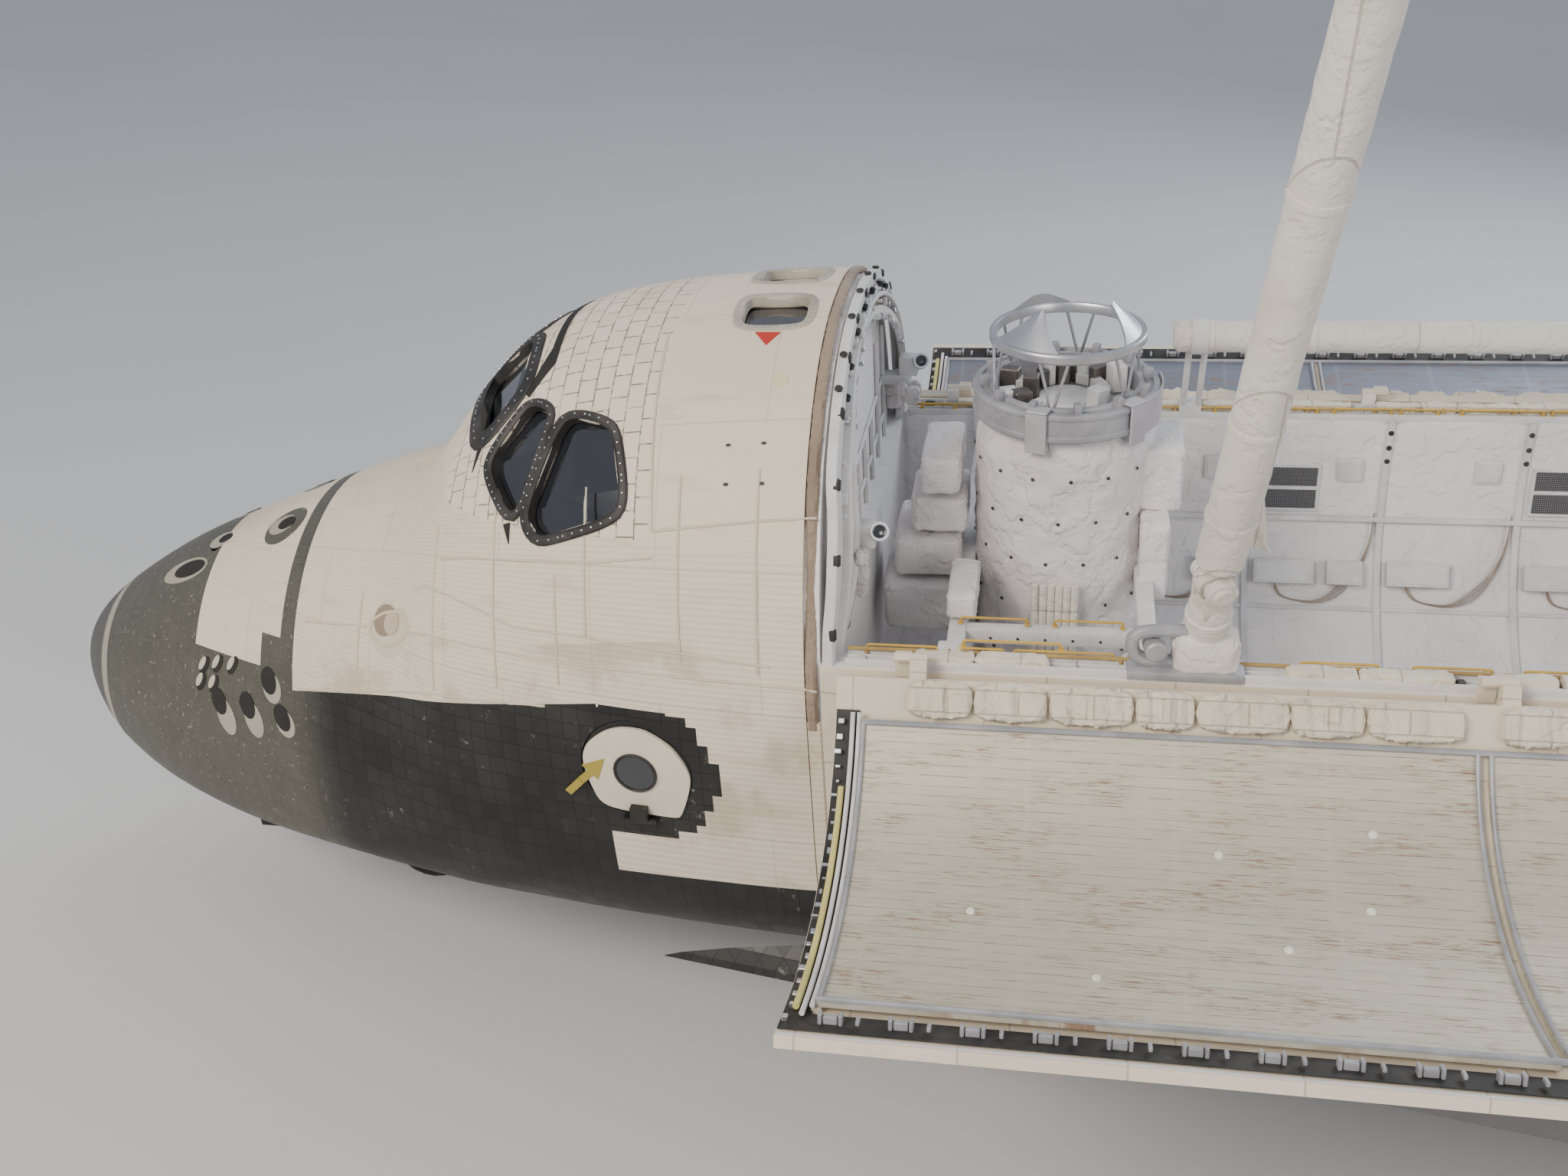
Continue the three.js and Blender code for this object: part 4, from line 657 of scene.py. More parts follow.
def slopes():
    """The slope at each row, which is flat wherever the values turn, so that nothing overshoots."""
    steps = np.diff(HULL[:, 1:], axis=0) / np.diff(STATIONS)[:, None]
    before, after = steps[:-1], steps[1:]
    both = np.where(before + after == 0, 1, before + after)
    inner = np.where(before * after > 0, 2 * before * after / both, 0)
    return np.vstack([steps[:1], inner, steps[-1:]])


SLOPES = slopes()


def section(x):
    """The hull's values at stations x, each as an array."""
    x = np.asarray(x, float)
    k = np.clip(np.searchsorted(STATIONS, x) - 1, 0, len(STATIONS) - 2)
    length = STATIONS[k + 1] - STATIONS[k]
    t = np.clip((x - STATIONS[k]) / length, 0, 1)[..., None]
    length = length[..., None]
    a, b = HULL[k, 1:], HULL[k + 1, 1:]
    curve = (2 * t**3 - 3 * t**2 + 1) * a + (t**3 - 2 * t**2 + t) * length * SLOPES[k]
    curve = curve + (3 * t**2 - 2 * t**3) * b + (t**3 - t**2) * length * SLOPES[k + 1]
    return np.moveaxis(curve, -1, 0)


def hull_radius(x, angle):
    """How far the hull lies from its own centre line, along each angle."""
    top, bottom, half, wide, above, below = section(x)
    y, z = -np.cos(angle), np.sin(angle)
    rise = np.where(z >= 0, top - wide, wide - bottom)
    power = np.where(z >= 0, above, below)
    return ((np.abs(y) / half) ** power + (np.abs(z) / rise) ** power) ** (-1 / power)


def on_hull(x, degrees, lift=0.0):
    """Points on the hull, or lifted off it, as an array of x, y, z."""
    x, angle = np.broadcast_arrays(np.asarray(x, float), np.radians(degrees))

    def at(x, angle):
        r = hull_radius(x, angle)
        return np.stack([x, -r * np.cos(angle), section(x)[3] + r * np.sin(angle)], -1)

    here = at(x, angle)
    along = at(x + 0.2, angle) - at(x - 0.2, angle)
    around = at(x, angle + 0.004) - at(x, angle - 0.004)
    normal = np.cross(around, along)
    normal /= np.maximum(np.linalg.norm(normal, axis=-1, keepdims=True), 1e-9)
    outwards = np.stack([np.zeros_like(x), -np.cos(angle), np.sin(angle)], -1)
    normal *= np.sign((normal * outwards).sum(-1, keepdims=True) + 1e-9)
    return here + normal * np.asarray(lift, float)[..., None]


def hull_angle(x, y, z):
    """The angle, in degrees, at which the hull is seen from its centre line."""
    return np.degrees(np.arctan2(np.asarray(z, float) - section(x)[3], -np.asarray(y, float)))


print("hull at the windows, half width:", round(float(section(500.0)[2]), 1), "inches")

# %% [markdown]
# A grid primitive is the best start for any curved sheet: it already has even faces and a map, and its points
# can then be moved onto a shape. The same helper makes hull patches, window frames, doors and radiators.

# %% A grid laid on a shape


def laid_grid(name, columns, rows, place, close=True):
    """A grid whose points go to place(u, v), with u and v from 0 to 1."""
    shape = {"x_subdivisions": columns, "y_subdivisions": rows, "size": 1}
    piece = started(name, "primitive_grid_add", shape)
    u, v, _ = points_of(piece).T + 0.5
    laid_on(piece, place(u, v))
    return tidied(piece) if close else piece


def turned(name, outline, steps=48, foot=(0, 0, 0), head=(0, 0, 1)):
    """An outline of (radius, distance along the axis) points, spun about the axis from foot to head."""
    curve = bpy.data.curves.new(name, "CURVE")
    curve.dimensions = "3D"
    spline = curve.splines.new("POLY")
    spline.points.add(len(outline) - 1)
    for point, (radius, along) in zip(spline.points, outline):
        point.co = (radius, 0, along, 1)
    piece = bpy.data.objects.new(name, curve)
    bpy.context.scene.collection.objects.link(piece)
    choose(piece)
    bpy.ops.object.convert(target="MESH")
    piece = newest(name)
    with editing(piece):
        bpy.ops.mesh.spin(steps=steps, angle=2 * math.pi, center=(0, 0, 0), axis=(0, 0, 1))
    tidied(piece)
    piece.data.transform(Matrix.Translation(Vector(foot)) @ facing(Vector(head) - Vector(foot)))
    return piece


EDGES = {}


def block(name, low, high, bevel=0.4, segments=2, place=None):
    """A box between two corners: a copy of one cube with rounded edges, with its faces moved."""
    if segments not in EDGES:
        cube = started("cube", "primitive_cube_add", {"size": 2})
        EDGES[segments] = modified(cube, "BEVEL", width=0.5, segments=segments).data.copy()
        bpy.data.objects.remove(cube)
    piece = shown(EDGES[segments].copy(), name)
    corner = points_of(piece)
    low, high = np.array(low, float), np.array(high, float)
    inwards = (1 - np.abs(corner)) / 0.5 * bevel
    laid_on(piece, (low + high) / 2 + np.sign(corner) * ((high - low) / 2 - inwards))
    if place:
        piece.data.transform(place)
    return piece


def slab(name, half, low, high, bevel, place, segments=1):
    """A block that is centred on the origin in x and y, and then put in its place."""
    return block(name, (-half[0], -half[1], low), (*half, high), bevel, segments, place)


def pipes(name, routes, radius, sides=10, bend=None):
    """Bars or tubes that follow routes, with their corners rounded where bend is given."""
    curve = bpy.data.curves.new(name, "CURVE")
    curve.dimensions = "3D"
    curve.bevel_depth = radius
    curve.bevel_resolution = max(sides // 4, 1)
    curve.use_fill_caps = True
    for points in routes:
        route = [Vector(p) for p in points]
        route = rounded_route(route, bend) if bend else route
        spline = curve.splines.new("POLY")
        spline.points.add(len(route) - 1)
        for point, place in zip(spline.points, route):
            point.co = (*place, 1)
    piece = bpy.data.objects.new(name, curve)
    bpy.context.scene.collection.objects.link(piece)
    choose(piece)
    bpy.ops.object.convert(target="MESH")
    return tidied(newest(name))


def pipe(name, points, radius, sides=10, bend=None):
    return pipes(name, [points], radius, sides, bend)


def rounded_route(points, bend):
    route = [points[0]]
    for before, corner, after in zip(points, points[1:], points[2:]):
        near = corner + (before - corner).normalized() * min(bend, (before - corner).length / 2)
        far = corner + (after - corner).normalized() * min(bend, (after - corner).length / 2)
        for t in (0.0, 0.33, 0.67, 1.0):
            route.append(near.lerp(corner, t).lerp(corner.lerp(far, t), t))
    return [*route, points[-1]]


def facing(way):
    """Turns the z axis to a way."""
    return Vector(way).to_track_quat("Z", "Y").to_matrix().to_4x4()


def standing(place, up):
    """Local x runs aft and z runs up from the place."""
    up = Vector(up).normalized()
    return Matrix.Translation(Vector(place)) @ Matrix((ALONG, up.cross(ALONG), up)).transposed().to_4x4()


def copied(piece, name, matrix):
    twin = piece.copy()
    twin.data = piece.data.copy()
    twin.name = twin.data.name = name
    bpy.context.scene.collection.objects.link(twin)
    twin.data.transform(matrix)
    if matrix.determinant() < 0:
        with editing(twin):
            bpy.ops.mesh.flip_normals()
    return twin


MIRROR = Matrix.Scale(-1, 4, (0, 1, 0))
SIDES = (("port", PORT), ("starboard", STARBOARD))


def finished_pair(piece, name, finish):
    """Finishes a piece of the port side and its mirror image."""
    twin = copied(piece, f"starboard_{name}", MIRROR)
    piece.name = piece.data.name = f"port_{name}"
    for one in (piece, twin):
        finished(one, "airframe", finish)


def lumpy(piece, size, depth, seed=0):
    """Pushes the faces in and out by a soft noise of two scales."""
    points = points_of(piece)
    where = [Vector(p) / size + Vector((seed * 7.3, 0, 0)) for p in points]
    push = np.array([noise.noise(w) + 0.5 * noise.noise(w * 2.3) for w in where])
    return laid_on(piece, points + points_of(piece, "normal") * (push * depth * 0.6)[:, None])


def sharp(where):
    """1 along the lines where the noise is zero, and 0 away from them."""
    return max(0.0, 1 - 6 * abs(noise.noise(where)))


def creased(piece, size, depth, seed=0):
    """Lifts sharp folds, as in cloth that is pulled tight over something."""
    points = points_of(piece)
    where = [Vector(p) / size + Vector((0, seed * 5.1, 0)) for p in points]
    fold = np.array([sharp(w) + 0.6 * sharp(w * 1.9) for w in where])
    return laid_on(piece, points + points_of(piece, "normal") * (fold * depth * 0.6)[:, None])


def scattered(model, places, name):
    """One piece made of a copy of the model at each matrix."""
    copies = [copied(model, name, place) for place in places]
    bpy.data.objects.remove(model)
    return merged(copies, name)


print("the sides, as signs across the vehicle:", dict(SIDES))

# %% [markdown]
# The solids are built from flat facets, which is right for collision and wrong for the eye. A copy of the
# solid is merged, its outer faces are split until they are small, and each new point is pushed out onto the
# smooth hull. Every opening stays where it is, because only points that already lie close to the hull are
# moved.

# %% Smooth skins from the solids
REACH = (-0.5, 2.4)


def merged_copy(node, name):
    piece = NODES[node].copy()
    piece.data = NODES[node].data.copy()
    piece.parent = None
    for key in list(piece.keys()):
        del piece[key]
    bpy.context.scene.collection.objects.link(piece)
    piece.name = piece.data.name = name
    piece.data.materials.clear()
    piece.data.transform(VEHICLE.inverted())
    choose(piece)
    bpy.ops.mesh.customdata_custom_splitnormals_clear()
    return tidied(piece, 0.01, outside=False)


def hull_snap(points, normals=None):
    """Where the hull is beside each point, and which points are on the hull's outer face."""
    x, y, z = points.T
    wide = section(x)[3]
    angle = np.arctan2(z - wide, -y)
    reach = np.hypot(y, z - wide)
    gap = hull_radius(x, angle) - reach
    near = (gap > REACH[0]) & (gap < REACH[1]) & (reach > 1)
    if normals is not None:
        near &= normals[:, 1] * y + normals[:, 2] * (z - wide) > 0.15 * reach
    scale = 1 + gap / np.maximum(reach, 1)
    return np.stack([x, y * scale, wide + (z - wide) * scale], -1), near


def refined(piece, longest, snap, rounds=7, measure=None):
    """Splits the long edges of the faces that lie on the shape, and lays their points on it."""
    for turn in range(rounds):
        mesh = piece.data
        points = points_of(piece)
        laid, near = snap(points, points_of(piece, "normal"))
        points[near] = laid[near]
        laid_on(piece, points)
        ends = np.zeros(len(mesh.edges) * 2, int)
        mesh.edges.foreach_get("vertices", ends)
        ends = ends.reshape(-1, 2)
        span = points[ends[:, 0]] - points[ends[:, 1]]
        length = measure(span) if measure else np.linalg.norm(span, axis=1)
        middle = (points[ends[:, 0]] + points[ends[:, 1]]) / 2
        split = near[ends].all(axis=1) & (length > longest) & snap(middle)[1]
        if not split.any() or turn == rounds - 1:
            break
        choose(piece)
        bpy.context.tool_settings.mesh_select_mode = (False, True, False)
        bpy.ops.object.mode_set(mode="EDIT")
        bpy.ops.mesh.select_all(action="DESELECT")
        bpy.ops.object.mode_set(mode="OBJECT")
        mesh.edges.foreach_set("select", split)
        bpy.ops.object.mode_set(mode="EDIT")
        bpy.ops.mesh.subdivide(number_cuts=1, ngon=False)
        bpy.ops.mesh.select_all(action="SELECT")
        bpy.ops.mesh.quads_convert_to_tris(quad_method="SHORTEST_DIAGONAL")
        bpy.ops.object.mode_set(mode="OBJECT")
    bpy.context.tool_settings.mesh_select_mode = (True, False, False)
    return piece


cap = laid_grid("nose_cap_skin", 96, 26, lambda u, v: on_hull(238.5 + 29.4 * v**1.6, u * 360.0))
with editing(cap):
    bpy.ops.mesh.fill_holes(sides=200)
    bpy.ops.mesh.normals_make_consistent(inside=False)
finished(cap, "airframe", CARBON, ["nose_cap"])

for node in ("forward_rcs_module", "nose_underside", "lower_forward_fuselage", "upper_forward_fuselage"):
    piece = refined(merged_copy(node, node + "_skin"), 6.5, hull_snap)
    slot = "hull_skin" if node.endswith("fuselage") else "white_tile"
    finished(piece, "airframe", FORWARD_SKIN, [node])
    print(node, "faces:", len(piece.data.polygons))

# %% [markdown]
# Each window has a thick black frame held by a row of bolts. The frame is a ring of faces: its points follow
# the pane's rounded outline, and its profile climbs from the skin to a rounded top and goes down to the
# glass.

# %% Windows
PANES = {
    "side": [(486.6, -52.8, 475), (504.3, -59.8, 474.6), (510.3, -78.8, 453.5), (479.8, -76.8, 441.9),
             (474.6, -71.4, 447.2)],
    "middle": [(470.5, -43, 474.5), (480.4, -49.5, 474.6), (469.5, -71, 444.5), (456.5, -54, 457)],
    "front": [(462, -5, 484.5), (465.5, -33, 477), (450.5, -43, 460.5), (442, -5, 467)],
    "overhead": [(541, -8, 500), (563, -8, 500), (564, -28, 498), (542, -28, 498)],
}


def rounded_outline(corners, count=64, softness=0.14):
    """The corners' outline with its corners cut and evened out into count points."""
    points = np.array(corners, float)
    for share in (softness, 0.25, 0.25):
        after = np.roll(points, -1, axis=0)
        cut = [points + (after - points) * share, after + (points - after) * share]
        points = np.stack(cut, 1).reshape(-1, 3)
    ring = np.vstack([points, points[:1]])
    run = np.concatenate([[0], np.cumsum(np.linalg.norm(np.diff(ring, axis=0), axis=1))])
    even = np.linspace(0, run[-1], count, endpoint=False)
    return np.stack([np.interp(even, run, ring[:, k]) for k in range(3)], -1)


def outline_frame(ring):
    """The outline's middle, the way it faces, and the outward way of each of its points."""
    middle = ring.mean(axis=0)
    normal = np.cross(ring - middle, np.roll(ring, -1, axis=0) - middle).sum(axis=0)
    normal /= np.linalg.norm(normal)
    if normal @ (middle - np.array([middle[0] + 30, 0, 380])) < 0:
        normal = -normal
    tangent = np.roll(ring, -1, axis=0) - np.roll(ring, 1, axis=0)
    out = np.cross(tangent, normal)
    out /= np.linalg.norm(out, axis=1, keepdims=True)
    if ((ring - middle) * out).sum() < 0:
        out = -out
    return middle, normal, out


def seated(points, lift):
    """Points moved along the hull's own radius until they lie lift above it."""
    x, y, z = points.T
    return on_hull(x, hull_angle(x, y, z), lift)


def window_frame(name, corners, inside, width, height, depth):
    """A ring round a pane. Inside is how far the opening reaches past the outline."""
    ring = rounded_outline(corners)
    middle, normal, out = outline_frame(ring)
    # distance out from the outline, and height over the skin
    profile = [(width, -0.6), (width, height * 0.5), (width - 0.5, height), (inside + 1.0, height * 1.1),
               (inside, height * 0.4), (inside - 0.5, -depth), (inside + 1.2, -depth)]

    def place(u, v):
        i = np.round(u * len(ring)).astype(int) % len(ring)
        k = np.round(v * (len(profile) - 1)).astype(int)
        step = np.array(profile)[k]
        flat = ring[i] + out[i] * step[:, :1]
        on_skin = seated(flat, np.maximum(step[:, 1], -0.6))
        sunk = on_skin + normal * np.minimum(step[:, 1] + 0.6, 0)[:, None]
        return np.where(step[:, 1:] < -0.6, sunk, on_skin)

    return laid_grid(name, len(ring), len(profile) - 1, place), ring, normal, out


def bolts_round(name, ring, out, distance, height, count, size):
    """A dome on each of count places round the ring."""
    model = turned(name, [(0, size * 0.7), (size * 0.7, size * 0.5), (size, 0), (size, -0.5)], 6)
    places = []
    for k in np.linspace(0, len(ring), count, endpoint=False).astype(int):
        spot = seated((ring[k] + out[k] * distance)[None], np.array([height]))[0]
        over = seated((ring[k] + out[k] * distance)[None], np.array([height + 1.0]))[0]
        places.append(Matrix.Translation(Vector(spot)) @ facing(over - spot))
    return scattered(model, places, name)


STAINED = metal_finish("stained_rim", (0.50, 0.46, 0.38), (0.34, 0.30, 0.24), 0.6, 0.0)
for pane, corners in PANES.items():
    top = pane == "overhead"
    width, height = {"overhead": (3.2, 0.5), "front": (7.0, 0.7)}.get(pane, (3.6, 1.0))
    frame_piece, ring, normal, out = window_frame(f"port_{pane}_frame", corners, 0.2, width, height, 3.0)
    studs = bolts_round(f"port_{pane}_bolts", ring, out, width * 0.55, height * 1.05, 30 if top else 34, 0.42)
    for kind, piece in (("frame", frame_piece), ("bolts", studs)):
        finish = (STAINED if top else DARK) if kind == "frame" else (GREY if top else BRIGHT)
        finished_pair(piece, f"{pane}_{kind}", finish)
print("window frames:", 2 * len(PANES))

# %% [markdown]
# The markings and plates that lie on the skin are thin fans of faces: a middle point, an edge that follows
# the hull, and a small rim. They are true geometry, so they also show on the printed or exported mesh.

# %% Plates on the skin


def hull_plate(name, corners, lift, count=48, softness=None, rows=8):
    """A thin plate whose outline is given by places near the hull."""
    if softness is None:
        ring = dense_outline(corners, count)
    else:
        ring = rounded_outline(corners, count, softness)
    middle = ring.mean(axis=0)

    def place(u, v):
        i = np.round(u * len(ring)).astype(int) % len(ring)
        share = np.clip(v * (rows + 1) / rows, 0, 1)[:, None]
        flat = middle + (ring[i] - middle) * share
        return seated(flat, np.where(v > 0.999, -0.3, lift))

    return laid_grid(name, len(ring), rows + 1, place)


def dense_outline(corners, count):
    """Points all along straight edges, with each corner kept."""
    points = np.array(corners, float)
    after = np.roll(points, -1, axis=0)
    length = np.linalg.norm(after - points, axis=1)
    shares = np.maximum(np.round(length / length.sum() * count).astype(int), 1)
    return np.vstack([p + (q - p) * (np.arange(n) / n)[:, None] for p, q, n in zip(points, after, shares)])


def disc_outline(centre, radius, plane, count=32):
    a, b = plane
    turns = np.linspace(0, 2 * math.pi, count, endpoint=False)
    ring = np.tile(np.array(centre, float), (count, 1))
    ring[:, a] += radius * np.cos(turns)
    ring[:, b] += radius * np.sin(turns)
    return ring


def plain_paint(name, colour, second, rough=0.6):
    f = Finish(name, Specular_IOR_Level=0.35)
    where = f.place()
    cloud = f.noise(where, 3.0, 5.0, 0.6)
    fleck = f.ramp(f.noise(where, 30.0, 4.0, 0.6), 0.62, 0.75)
    return f.paint(f.mix(cloud * 0.7 + fleck * 0.3, colour, second), rough + cloud * 0.15, fleck, 0.0008)


RED = plain_paint("red_mark", (0.55, 0.045, 0.03), (0.42, 0.05, 0.035))
ARROW = plain_paint("yellow_mark", (0.42, 0.33, 0.06), (0.32, 0.25, 0.06))
PALE = plain_paint("pale_mark", (0.74, 0.68, 0.42), (0.62, 0.56, 0.36))

triangle = hull_plate("red_triangle",
                      [(547.8, -31.7, 496.6), (556.6, -32.3, 496.9), (552.6, -38.4, 494.7)], 0.25, 36)
finished(triangle, "airframe", RED)
disc = hull_plate("pale_disc", disc_outline((559.3, -52.9, 488.8), 2.9, (0, 1)), 0.25, softness=0.25)
finished(disc, "airframe", PALE)
marks = [(545.0, -70.2, 473.9), (556.6, -70.9, 475.1), (545.1, -78.6, 464.3), (556.9, -79.7, 465.5)]
dots = [hull_plate(f"mark_{k}", disc_outline(spot, 0.9, (0, 2), 12), 0.2, 12, 0.25, 2)
        for k, spot in enumerate(marks)]
print("plates: a triangle, a disc and", len(dots), "dots")
finished(merged(dots, "panel_marks"), "airframe", DARK)

# %% [markdown]
# The crew door's outer plate is not round: it has a flat lower edge and rounded corners. It carries a round
# black window. Plate, window and the arrow's head ride on the door, so they swing down with it.

# %% The crew door's plate
DOOR_PLATE = [(494.5, 377.5), (501.1, 382.8), (507.2, 385.0), (515.8, 384.9), (524.7, 379.4), (529.0, 372.4),
              (530.5, 367.5), (529.0, 360.3), (525.5, 350.6), (523.0, 350.2), (497.3, 351.0), (493.7, 361.6),
              (492.1, 371.4)]
plate = hull_plate("crew_door_plate", [(x, -101.0, z) for x, z in DOOR_PLATE], 0.9, 64, 0.2)
DOOR_PAINT = plain_paint("door_plate_paint", (0.76, 0.68, 0.55), (0.60, 0.52, 0.40), 0.7)
finished(plate, "crew_hatch", DOOR_PAINT)
WINDOW = (511.1, -101.8, 367.6)
rim_ring = disc_outline(WINDOW, 7.2, (0, 2), 40)
pane = hull_plate("crew_door_window", rim_ring, 1.3, 40, 0.25, 3)
finished(pane, "crew_hatch", GLASS)
ring_path = [tuple(p) for p in seated(np.vstack([rim_ring, rim_ring[:1]]), 1.3)]
finished(pipe("crew_door_window_rim", ring_path, 0.55), "crew_hatch", DARK)
ARROW_PARTS = {
    "head": [(497.2, 362.9), (500.5, 371.9), (491.8, 368.2)],
    "neck": [(489.9, 362.6), (491.8, 360.7), (495.8, 364.6), (493.9, 366.5)],
    "shaft": [(484.3, 356.6), (486.3, 354.9), (491.6, 360.5), (489.7, 362.4)]}
arrow = {part: hull_plate(part, [(x, -101, z) for x, z in outline], 1.15, 24)
         for part, outline in ARROW_PARTS.items()}
finished(merged([arrow["head"], arrow["neck"]], "door_arrow"), "crew_hatch", ARROW)
finished(merged([arrow["shaft"]], "arrow_shaft"), "airframe", ARROW)
print("crew door plate:", len(DOOR_PLATE), "corners, and an arrow in", len(ARROW_PARTS), "parts")

# %% [markdown]
# The nose carries small openings. Thrusters on its side fire through round ports with pale scooped troughs.
# The ports' near-black plates are partly the nozzles' own dark and partly painted shade of the deep openings,
# and the near-black rims round the small scoops are painted shade. A star tracker looks out of a round well
# whose upper part holds a painted shadow and a mid-brown lobe of painted shade, and dark fins and a dark
# surround frame the windshield. The cloth blankets meet under raised piping, which is a thin tube laid on the
# hull.

# %% Ports, wells and piping
TROUGH = plain_paint("trough", (0.44, 0.41, 0.33), (0.28, 0.26, 0.20), 0.7)
# Near-black paint. It is the black of the fins and of the pod nozzles, and at the nose ports it is the
# nozzles' own dark together with painted shade of the deep openings and of the scoops' sunken rims.
NEAR_BLACK = plain_paint("near_black_paint", (0.012, 0.012, 0.012), (0.05, 0.046, 0.04), 0.7)
SCOOP = plain_paint("scoop", (0.62, 0.58, 0.46), (0.40, 0.37, 0.28), 0.7)
# A mid-brown paint for the lobe of painted shade inside the star tracker's well.
WELL_SHADE_LOBE = plain_paint("well", (0.50, 0.41, 0.31), (0.60, 0.50, 0.38), 0.7)
SHADE = plain_paint("well_shade", (0.26, 0.20, 0.15), (0.36, 0.29, 0.21), 0.8)
PIPING = plain_paint("piping", (0.70, 0.62, 0.49), (0.54, 0.45, 0.33), 0.8)


def round_plate(centre, radius, lift, name, count=28, stretch=1.0, way=(1.0, 0.0, 0.0)):
    """A disc on the hull that can be stretched along one way."""
    spot = np.array(centre, float)
    middle = seated(spot[None], np.array([0.0]))[0]
    normal = seated(spot[None], np.array([1.0]))[0] - middle
    first = np.array(way) - normal * (normal @ way)
    first /= np.linalg.norm(first)
    second = np.cross(normal, first)
    turns = np.linspace(0, 2 * math.pi, count, endpoint=False)[:, None]
    ring = middle + radius * (first * np.cos(turns) * stretch + second * np.sin(turns))
    return hull_plate(name, ring, lift, count, 0.25, max(4, round(radius)))


SIDE_PORTS = [((334.6, -63.1, 359.1), (5.4, -11.5)), ((348.9, -67.1, 360.8), (4.6, -10.8)),
              ((359.8, -65.8, 371.7), (2.6, -6.1)), ((365.5, -72.4, 359.7), (2.3, -4.4))]
SCOOPS = [(326.3, -54.6, 370.4), (333.3, -56.2, 372.5), (340.9, -58.5, 373.7), (324.8, -57.1, 364.6),
          (331.3, -59.2, 365.3)]
UPPER_PORTS = [(353.3, -17.3, 412.3), (321.5, -11.7, 401.3), (309.0, -22.0, 392.7)]
throats_and_painted_shade, troughs, scoops = [], [], []
for (x, y, z), (dx, dz) in SIDE_PORTS:
    way, length = (dx, 0.0, dz), math.hypot(dx, dz)
    # The dark plate over each port is partly the nozzle's own dark and partly painted shade of the deep
    # opening.
    throats_and_painted_shade.append(round_plate((x, y, z), 3.6, 0.34, "throat", stretch=1.5, way=way))
    troughs.append(round_plate((x + dx * 0.55, y, z + dz * 0.55), 4.3, 0.18, "trough",
                               stretch=1 + length * 0.06, way=way))
for x, y, z in SCOOPS:
    scoops.append(round_plate((x, y, z), 1.3, 0.42, "scoop", stretch=2.3, way=(-0.4, 0.0, -1.0)))
    # This dark rim round each scoop is painted shade in its sunken edge.
    throats_and_painted_shade.append(round_plate((x + 0.9, y, z - 1.0), 2.1, 0.2, "throat", stretch=1.9, way=(-0.4, 0.0, -1.0)))
for (x, y, z), size, stretch in zip(UPPER_PORTS, (3.4, 2.6, 4.0), (1.2, 1.3, 2.2)):
    # As at the side ports, each dark plate is partly the nozzle's own dark and partly painted shade of the
    # deep opening.
    throats_and_painted_shade.append(round_plate((x, y, z), size, 0.34, "throat", stretch=stretch))
    troughs.append(round_plate((x - 2.4, y, z), size + 1.8, 0.18, "trough", stretch=stretch))
TRACKER = (414.8, -68.2, 399.0)
well = round_plate(TRACKER, 11.0, 0.2, "well", 40, 0.79)
shadow = round_plate((412.6, -67.2, 402.0), 5.8, 0.45, "shadow", 32, 0.9)
# This cap is no cover. It is a mid-brown lobe of painted shade in the well, beside the painted shadow.
cap = round_plate((416.0, -67.8, 400.8), 4.2, 0.7, "cap", 28, 0.9)
ring = disc_outline(TRACKER, 11.2, (0, 2), 40)
ring[:, 0] = TRACKER[0] + (ring[:, 0] - TRACKER[0]) * 0.79
ring[:, 2] = TRACKER[2] + (ring[:, 2] - TRACKER[2]) * 0.75
rim = pipe("rim", [tuple(p) for p in seated(ring[[*range(40), 0]], 0.1)], 0.7, 8)
NOSE_FITTINGS = [
    ("thruster_throats_and_painted_shade", "dark_metal", merged(throats_and_painted_shade, "throats_and_painted_shade"), NEAR_BLACK),
    ("thruster_troughs", "dark_metal", merged(troughs, "troughs"), TROUGH),
    ("thruster_scoops", "dark_metal", merged(scoops, "scoops"), SCOOP),
    ("star_tracker_well", "hull_skin", merged([well, rim], "well"), PIPING),
    ("star_tracker_shadow", "hull_skin", shadow, SHADE), ("star_tracker_shade_lobe", "hull_skin", cap, WELL_SHADE_LOBE)]
for name, slot, piece, finish in NOSE_FITTINGS:
    finished_pair(piece, name, finish)

FINS = [[(450.3, -44.2, 459.0), (452.6, -45.4, 460.6), (449.4, -51.6, 452.6)],
        [(465.4, -70.6, 443.9), (468.2, -70.4, 444.0), (468.0, -74.6, 438.2)],
        [(441.5, -1, 466.5), (441.5, -22, 464.5), (448.5, -35, 461.5), (449.5, -44.0, 459.2),
         (452.0, -43.2, 461.4), (451.5, -34.0, 463.6), (444.5, -21, 467.0), (444.0, -1, 469.5)],
        [(476.4, 0, 490.0), (477.6, -31.0, 484.2), (469.6, -40.0, 475.9), (468.2, -38.6, 476.6),
         (474.5, -30.4, 482.4), (473.2, 0, 488.6)]]
finished_pair(merged([hull_plate("fin", fin, 0.3, 36) for fin in FINS], "fins"), "windshield_surround",
              NEAR_BLACK)


def on_skin(points, spacing=2.0):
    """A route through places near the hull, laid on its skin."""
    points = np.array(points, float)
    steps = [np.linspace(a, b, max(int(np.linalg.norm(b - a) / spacing), 2), endpoint=False)
             for a, b in zip(points, points[1:])]
    return [tuple(p) for p in seated(np.vstack([*steps, points[-1:]]), 0.12)]


